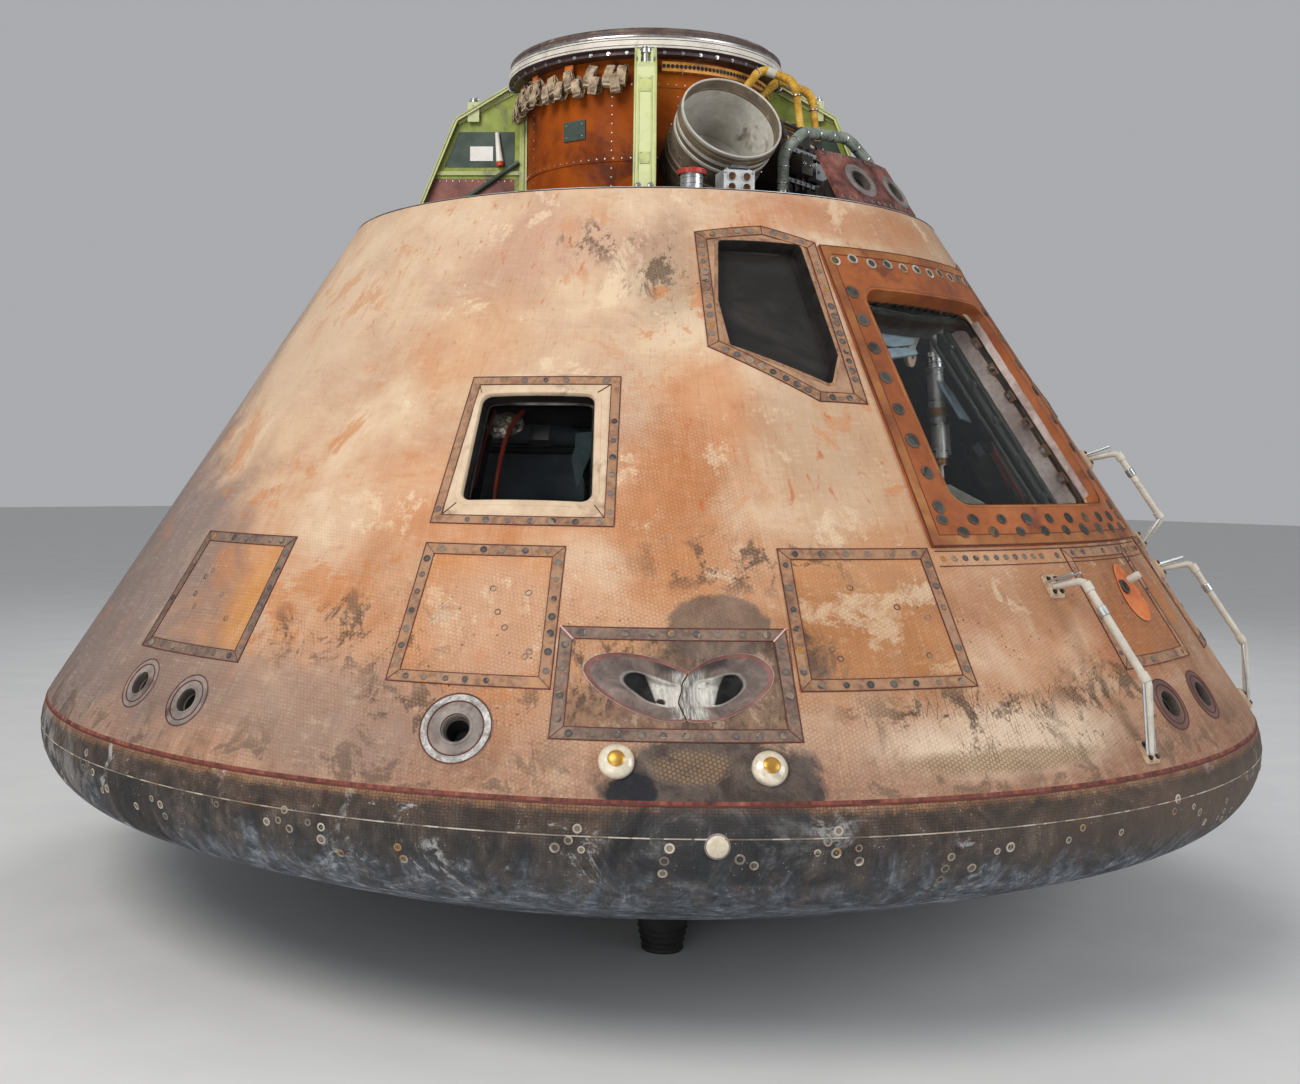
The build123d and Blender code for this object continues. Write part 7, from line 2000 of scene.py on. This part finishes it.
# ------------------------------------------------------------------ forward hatch, in the tunnel
hatch_metal = worn("forward_hatch_metal", [(0.3, c("7E7F7C")), (0.55, c("A3A4A0")), (0.8, c("C2C3BF"))], 7, (0.3, 0.55), 0.6, 0.15, 180, 0.0005, dirt=c("6A655C"), dirt_amount=0.25)
give("forward_hatch", hatch_metal)
P = Piece("forward_hatch_fittings", hatch_metal, steel, dark_metal, rubber_black)
hb = Fr((0, 0, POLE + 2.1216 - 0.060 + 0.024 + 0.0005 + 0.034), (1, 0, 0), (0, 1, 0), (0, 0, 1))
P.lathe(hb, [(0.352, -0.001), (0.352, 0.004), (0.338, 0.006), (0.330, 0.0005)], 90, 3)
for k in range(8):
    t = math.radians(45 * k)
    g = Fr(hb.o, hb.x * math.cos(t) + hb.y * math.sin(t), hb.y * math.cos(t) - hb.x * math.sin(t), hb.z)
    P.box(g, (0.19, 0, 0.004), (0.25, 0.022, 0.010), 0)
    P.bolt(g.at(0.30, 0, 0.009), 0.006, 0.007, 1)
    P.bolt(g.at(0.10, 0, 0.009), 0.006, 0.007, 1)
    g2 = Fr(g(0.318, 0, 0), g.x, g.y, g.z)
    P.box(g2, (0.018, 0.05, 0.008), (0.030, 0.040, 0.016), 2)
P.done(body=FWD, bevel=0.0008)



# ------------------------------------------------------------------ cabin, seen through the hatch and windows
couch_fabric = Mat("couch_fabric")
fx_, fy_, fz_ = couch_fabric.xyz()
weave = couch_fabric.math("MULTIPLY", couch_fabric.math("SINE", couch_fabric.math("MULTIPLY", fx_, 1900)),
                          couch_fabric.math("SINE", couch_fabric.math("MULTIPLY", couch_fabric.math("ADD", fy_, fz_), 1900)))
fn = couch_fabric.noise(6, 5)
couch_fabric.base(couch_fabric.ramp(couch_fabric.math("ADD", fn, couch_fabric.math("MULTIPLY", weave, 0.05)),
                                    [(0.3, c("6E7F88")), (0.5, c("8FA0A8")), (0.7, c("B4C2C8"))]), 0.92, 0.0, couch_fabric.bump(weave, 0.5, 0.0008), sheen=0.2)
couch_fabric = couch_fabric.mat
piping = worn("couch_piping", [(0.3, c("39424A")), (0.6, c("56626B")), (0.85, c("74818A"))], 9, (0.7, 0.9), 0.0, 0.25, 200, 0.0005)
grey_paint = worn("cabin_grey_paint", [(0.25, c("5E6468")), (0.5, c("7F868A")), (0.8, c("9DA4A8"))], 5, (0.4, 0.65), 0.0, 0.2, 140, 0.0006, dirt=c("54524C"), dirt_amount=0.25)
panel_grey = worn("instrument_grey", [(0.25, c("4A5054")), (0.5, c("646C70")), (0.8, c("80888C"))], 6, (0.4, 0.65), 0.0, 0.2, 140, 0.0006)
for node, mat in (("couch_frame", grey_paint), ("instrument_panel", panel_grey), ("equipment_bay", grey_paint), ("cabin_floor", grey_paint)):
    give(node, mat)

COUCH_Z = POLE + 0.985


def pad(name, lo, hi, up, chan_axis, chans, cap=0.012, voxel=0.012):
    """A stuffed pad: a rounded box is remeshed, inflated as cloth, and its sewn channels are pressed in."""
    lo, hi = Vector(lo), Vector(hi)
    shrink = Vector((0.010, 0.010, 0.010))
    lo2, hi2 = lo + shrink, hi - shrink
    me = bpy.data.meshes.new(name)
    bm = bmesh.new()
    bmesh.ops.create_cube(bm, size=1.0)
    for v in bm.verts:
        v.co = Vector([(lo2[i] + hi2[i]) / 2 + v.co[i] * (hi2[i] - lo2[i]) for i in range(3)])
    bmesh.ops.bevel(bm, geom=bm.edges[:], offset=0.016, segments=3, profile=0.6, affect="EDGES")
    bm.to_mesh(me)
    bm.free()
    o = bpy.data.objects.new(name, me)
    bpy.context.scene.collection.objects.link(o)
    r = o.modifiers.new("remesh", "REMESH")
    r.mode = "VOXEL"
    r.voxel_size = voxel
    bpy.context.view_layer.update()
    dg = bpy.context.evaluated_depsgraph_get()
    m2 = bpy.data.meshes.new_from_object(o.evaluated_get(dg))
    o.modifiers.clear()
    o.data = m2
    rest = [v.co.copy() for v in m2.vertices]
    cl = o.modifiers.new("cloth", "CLOTH")
    cl.settings.quality = 5
    cl.settings.mass = 0.3
    cl.settings.use_pressure = True
    cl.settings.uniform_pressure_force = 4.0
    cl.settings.effector_weights.gravity = 0.0
    cl.collision_settings.use_collision = False
    cl.collision_settings.use_self_collision = False
    sc = bpy.context.scene
    for fnum in range(1, 15):
        sc.frame_set(fnum)
    dg = bpy.context.evaluated_depsgraph_get()
    ev = o.evaluated_get(dg)
    new = [v.co.copy() for v in ev.data.vertices]
    o.modifiers.clear()
    sc.frame_set(1)
    if len(new) == len(rest):
        for v, a, b in zip(o.data.vertices, rest, new):
            d = b - a
            if d.length > cap:
                d *= cap / d.length
            v.co = a + d
    up = Vector(up)
    mid = (lo + hi) / 2
    half = abs((hi - lo).dot(up)) / 2
    ax = chan_axis
    for v in o.data.vertices:
        side = (v.co - mid).dot(up) / half
        if abs(side) > 0.35:
            for q in chans:
                w = (v.co[ax] - q) / 0.016
                if abs(w) < 3:
                    v.co -= up * (0.012 * math.exp(-w * w) * (1 if side > 0 else -1))
        for i in range(3):
            v.co[i] = min(max(v.co[i], lo[i] - 0.004), hi[i] + 0.004)
    for p in o.data.polygons:
        p.use_smooth = True
    o.data.materials.clear()
    o.data.materials.append(couch_fabric)
    s = o.modifiers.new("sub", "SUBSURF")
    s.levels = s.render_levels = 1
    return o


pads = []
shapes = (("back", (-0.258, -1.075, COUCH_Z + 0.002), (0.258, -0.155, COUCH_Z + 0.068), (0, 0, 1), 1, [-0.92, -0.765, -0.61, -0.455, -0.30]),
          ("thigh", (-0.258, -0.145, COUCH_Z + 0.045), (0.258, -0.076, COUCH_Z + 0.425), (0, -1, 0), 2, [COUCH_Z + 0.14, COUCH_Z + 0.24, COUCH_Z + 0.34]),
          ("calf", (-0.258, -0.125, COUCH_Z + 0.432), (0.258, 0.326, COUCH_Z + 0.498), (0, 0, 1), 1, [-0.02, 0.09, 0.20]))
for nm, lo, hi, up, ax, chans in shapes:
    o = pad("couch_%s_centre" % nm, lo, hi, up, ax, chans)
    for k, dx in enumerate((-0.610, 0.610)):
        d = o.data.copy()
        d.transform(Matrix.Translation((dx, 0, 0)))
        q = bpy.data.objects.new("couch_%s_%s" % (nm, ("port", "starboard")[k]), d)
        bpy.context.scene.collection.objects.link(q)
        s = q.modifiers.new("sub", "SUBSURF")
        s.levels = s.render_levels = 1
        pads.append(q)
    pads.append(o)
for o in pads:
    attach(o, CAPSULE)
    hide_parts("crew_couches")
P = Piece("couch_piping_and_belts", piping, alu, webbing)
for dx in (-0.61, 0.0, 0.61):
    for nm, lo, hi, up, ax, chans in shapes:
        for s in (-1, 1):
            if nm == "thigh":
                y = lo[1] if s < 0 else hi[1]
                q = [(lo[0], y, lo[2]), (hi[0], y, lo[2]), (hi[0], y, hi[2]), (lo[0], y, hi[2])]
            else:
                z_ = lo[2] if s < 0 else hi[2]
                q = [(lo[0], lo[1], z_), (hi[0], lo[1], z_), (hi[0], hi[1], z_), (lo[0], hi[1], z_)]
            ctr = sum((Vector(p) for p in q), Vector()) / 4
            q = [Vector(p) + (ctr - Vector(p)).normalized() * 0.016 + Vector((dx, 0, 0)) for p in q]
            loop_ = arc_points([q[0].lerp(q[1], 0.5), q[1], q[2], q[3], q[0], q[0].lerp(q[1], 0.5)], [0.02] * 4, 0.02)
            P.tube(loop_, 0.0038, 6, 0)
    for s in (-0.13, 0.13):
        x = dx + s
        P.strap([(x, -1.00, COUCH_Z + 0.071), (x, -0.7, COUCH_Z + 0.073), (x * 1.0, -0.35, COUCH_Z + 0.073), (x, -0.20, COUCH_Z + 0.071)], [(0, 0, 1)] * 4, 0.045, 0.002, 2)
        P.box(Fr((x, -0.55, COUCH_Z + 0.075), (1, 0, 0), (0, 1, 0), (0, 0, 1)), (0, 0, 0), (0.060, 0.045, 0.006), 1)
P.done()

# instrument panel: rows of dials, switches and guards on its lower face
P = Piece("instrument_faces", panel_grey, recess_shade_and_dial_black, alu, white_paint, orange_plate)
a_, b_ = Vector((0, -0.330, POLE + 1.700)), Vector((0, 0.250, POLE + 1.830))
dn = unit(b_ - a_)
nrm = Vector((0, dn.z, -dn.y))
IP = Fr((0, -0.04, POLE + 1.765), (1, 0, 0), dn * -1, nrm)
for i in range(17):
    for j in range(6):
        x, y = -0.56 + 0.07 * i, -0.22 + 0.088 * j
        kind = (i * 7 + j * 3) % 5
        f = IP.at(x, y)
        if kind == 0:
            P.lathe(f, [(0.024, -0.001), (0.024, 0.004), (0.020, 0.005), (0.0185, 0.002), (0, 0.002)], 22, mats=[0, 2, 1, 1])
            P.box(f, (0.004, 0.003, 0.0028), (0.016, 0.0016, 0.0012), 3)
        elif kind == 1:
            P.box(f, (0, 0, 0.003), (0.050, 0.030, 0.007), 2)
            P.box(f, (0, 0, 0.0068), (0.040, 0.020, 0.0016), 1)
        else:
            for dx in (-0.017, 0.0, 0.017):
                P.lathe(f.at(dx, 0), [(0.0050, -0.001), (0.0050, 0.002), (0.0022, 0.003), (0.0022, 0.012), (0, 0.013)], 10, mats=[2, 2, 2, 3])
            if kind == 3:
                P.box(f, (0, 0.018, 0.002), (0.048, 0.004, 0.004), 4)
for y in (-0.27, 0.0, 0.26):
    P.box(IP, (0, y, 0.004), (1.22, 0.005, 0.008), 2)
P.done()

# lockers of the equipment bay
P = Piece("equipment_lockers", grey_paint, alu, recess_shade_and_dial_black, steel)
pa, pb = Vector((0, 0.760, POLE + 0.640)), Vector((0, 0.820, POLE + 1.330))
un = unit(pb - pa)
EB = Fr((0, 0.790, POLE + 0.985), (1, 0, 0), un, Vector((1, 0, 0)).cross(un))
for i in range(4):
    for j in range(3):
        x, y = -0.41 + 0.273 * i, -0.215 + 0.215 * j
        f = EB.at(x, y)
        P.prism(f, [(-0.128, -0.098), (0.128, -0.098), (0.128, 0.098), (-0.128, 0.098)], -0.001, 0.006, 0)
        P.prism(f, [(-0.112, -0.082), (0.112, -0.082), (0.112, 0.082), (-0.112, 0.082)], 0.005, 0.009, 0)
        P.tube(arc_points([f(-0.03, 0.04, 0.009), f(-0.03, 0.04, 0.026), f(0.03, 0.04, 0.026), f(0.03, 0.04, 0.009)], [0.006, 0.006], 0.004), 0.0035, 8, 1)
        for s in (-1, 1):
            for t in (-1, 1):
                P.bolt(f.at(s * 0.100, t * 0.070, 0.009), 0.0045, 0.004, 3)
P.done(bevel=0.0012)

# ------------------------------------------------------------------ side hatch: clear cover, counterbalance and the window glass
glass_clear = Mat("clear_cover_sheet")
gn = glass_clear.noise(2.2, 4, 0.6, 0.6)
glass_clear.base((0.93, 0.95, 0.95, 1), glass_clear.span(gn, 0.35, 0.7, 0.015, 0.06), 0.0, glass_clear.bump(gn, 0.03, 0.002), trans=1.0, ior=1.12, spec=0.2)
give("hatch_cover", glass_clear.mat)
smoked = Mat("heat_smoked_glass")
sn = smoked.noise(3.5, 5, 0.6, 0.8)
smoked.base(smoked.ramp(sn, [(0.3, c("86868A")), (0.55, c("96969A")), (0.8, c("A4A2A0"))]), smoked.span(sn, 0.35, 0.7, 0.005, 0.03), 0.0,
            smoked.bump(sn, 0.05, 0.002), trans=1.0, ior=1.12, spec=0.12)
give("side_window_glass", smoked.mat)
charred = Mat("heat_charred_glass")
cn = charred.noise(3.0, 6, 0.65, 0.8)
charred.base(charred.ramp(cn, [(0.3, c("1C1A18")), (0.5, c("2E2B29")), (0.7, c("45403C"))]), charred.span(cn, 0.35, 0.7, 0.12, 0.30), 0.0,
             charred.bump(cn, 0.05, 0.002), trans=0.35, ior=1.4, spec=0.4)
give("rendezvous_window_glass", charred.mat)

disc_white = worn("antenna_white", [(0.28, c("BEB8AC")), (0.5, c("E4E0D6")), (0.76, c("F4F1EA"))], 16, (0.2, 0.4), 0.0, 0.25, 60, 0.0008, dirt=c("8E8478"), dirt_amount=0.12, coat=0.3)
bal_dark = worn("counterbalance_barrel", [(0.25, c("8A8782")), (0.5, c("B8B5B0")), (0.8, c("DEDBD6"))], 5, (0.34, 0.42), 0.45, 0.04, 200, 0.0002, dirt=c("6A6056"), dirt_amount=0.08)
bronze = worn("bronze_collar", [(0.25, c("6A4628")), (0.5, c("946A40")), (0.8, c("BA915F"))], 10, (0.28, 0.5), 0.6, 0.15, 160, 0.0005)
give("counterbalance_cylinder", bal_dark)
arm_m = worn("hinge_arm_cream", [(0.25, c("9A9488")), (0.5, c("C4BEB2")), (0.8, c("E2DED5"))], 8, (0.35, 0.6), 0.1, 0.15, 140, 0.0005, dirt=c("7C6A54"), dirt_amount=0.25)
give("hinge_arm", arm_m)
P = Piece("counterbalance_collars", bronze, steel, dark_metal, cream_bevel, arm_m)
BA = math.radians(12.0)


def mer(r, h, y=0.0):
    return Vector((r * math.sin(BA) + y * math.cos(BA), -r * math.cos(BA) + y * math.sin(BA), POLE + h))


lowp, topp = mer(1.084, 1.297), mer(1.041, 1.777)
BF = axis_fr(lowp, topp)
for s0, L_, r in ((0.069, 0.024, 0.021), (0.217, 0.026, 0.029), (0.363, 0.046, 0.033)):
    P.lathe(BF, [(r - 0.004, s0 - 0.0005), (r + 0.0014, s0 + 0.0010), (r + 0.0016, s0 + L_ * 0.3), (r + 0.0006, s0 + L_ * 0.36), (r + 0.0006, s0 + L_ * 0.64),
                 (r + 0.0016, s0 + L_ * 0.7), (r + 0.0014, s0 + L_ - 0.001), (r - 0.006, s0 + L_ + 0.0008)], 40, mats=[0, 0, 2, 0, 2, 0, 0] if r < 0.03 else [1, 1, 2, 1, 2, 1, 1])
for s0 in (0.110, 0.190, 0.262, 0.345):
    rr = 0.024 if s0 < 0.2 else 0.025
    P.lathe(BF, [(rr, s0), (rr + 0.0014, s0 + 0.001), (rr + 0.0014, s0 + 0.004), (rr, s0 + 0.005)], 36, 1)
P.lathe(BF, [(0.0, -0.002), (0.012, 0.002), (0.0135, 0.014), (0.011, 0.026), (0.0102, 0.030)], 20, 1)
# pivot boss, rod eye and the stop disc on the crank
t_ = Vector((math.cos(BA), math.sin(BA), 0))
for p, r, w in ((topp, 0.021, 0.040), (lowp, 0.015, 0.032)):
    g = axis_fr(p - t_ * w / 2, p + t_ * w / 2)
    P.lathe(g, [(0, 0), (r * 0.7, 0), (r, 0.002), (r, w - 0.002), (r * 0.7, w), (0, w)], 26, 1)
rad = Vector((math.sin(BA), -math.cos(BA), 0))
g = Fr(mer(1.0165, 1.689, -0.106), t_, Vector((0, 0, 1)), rad)
P.lathe(g, [(0.031, -0.006), (0.033, 0.000), (0.033, 0.006), (0.029, 0.008), (0.020, 0.0065), (0.010, 0.009), (0, 0.0095)], 36, mats=[3, 3, 3, 3, 3, 2])
P.done()


for node, mat in (("crew_shell_front", shell_mat), ("crew_shell_port", shell_mat), ("crew_shell_rear", shell_mat), ("crew_shell_starboard", shell_mat),
                  ("access_panels", panel_mat), ("roll_thruster_panels", panel_mat), ("aft_heat_shield", shield_mat), ("seam_seal", seam_m),
                  ("rendezvous_window_frames", worn("rendezvous_frame_face", [(0.26, c("5E4234")), (0.42, c("80604A")), (0.56, c("A07E62")), (0.72, c("AC8C74"))], 9, (0.6, 0.85), 0.0, 0.35,
                                                   150, 0.0009, dirt=c("7A4A30"), dirt_amount=0.25, dirt_scale=7)),
                  ("side_window_frames", cream_bevel), ("roll_thruster_nozzles", bowl_m), ("yaw_thruster_nozzles", yaw_grey), ("pitch_thruster_nozzles", pitch_ring),
                  ("steam_vent", yaw_grey), ("dump_nozzles", glaze), ("antenna_discs", disc_white), ("hatch_frame", hatch_in), ("support_pads", rubber_black),
                  ("can_cradle", dark_metal)):
    give(node, mat)
P = Piece("support_pad_treads", rubber_black, dark_metal)
for k in range(4):
    g = deck_fr(-40.0 + 90 * k, 0.940, -POLE)
    P.lathe(g, [(0.0565, 0.0), (0.0600, 0.004), (0.0600, 0.012), (0.0566, 0.016)], 36, 0)
    for z_ in (0.030, 0.048, 0.066):
        rr = 0.055 + 0.025 * (z_ / 0.13)
        P.lathe(g, [(rr, z_ - 0.004), (rr + 0.0035, z_), (rr, z_ + 0.004)], 36, 0)
P.done()


# ------------------------------------------------------------------ floor
def pale_floor():
    M = Mat("pale_floor")
    n = M.noise(3.0, 3.0)
    M.base(M.ramp(n, [(0.3, (0.60, 0.60, 0.60, 1)), (0.7, (0.64, 0.64, 0.635, 1))]), 0.75)
    me = bpy.data.meshes.new("floor")
    s = 40
    me.from_pydata([(-s, -s, 0), (s, -s, 0), (s, s, 0), (-s, s, 0)], [], [(0, 1, 2, 3)])
    o = bpy.data.objects.new("floor", me)
    o.data.materials.append(M.mat)
    bpy.context.scene.collection.objects.link(o)


pale_floor()
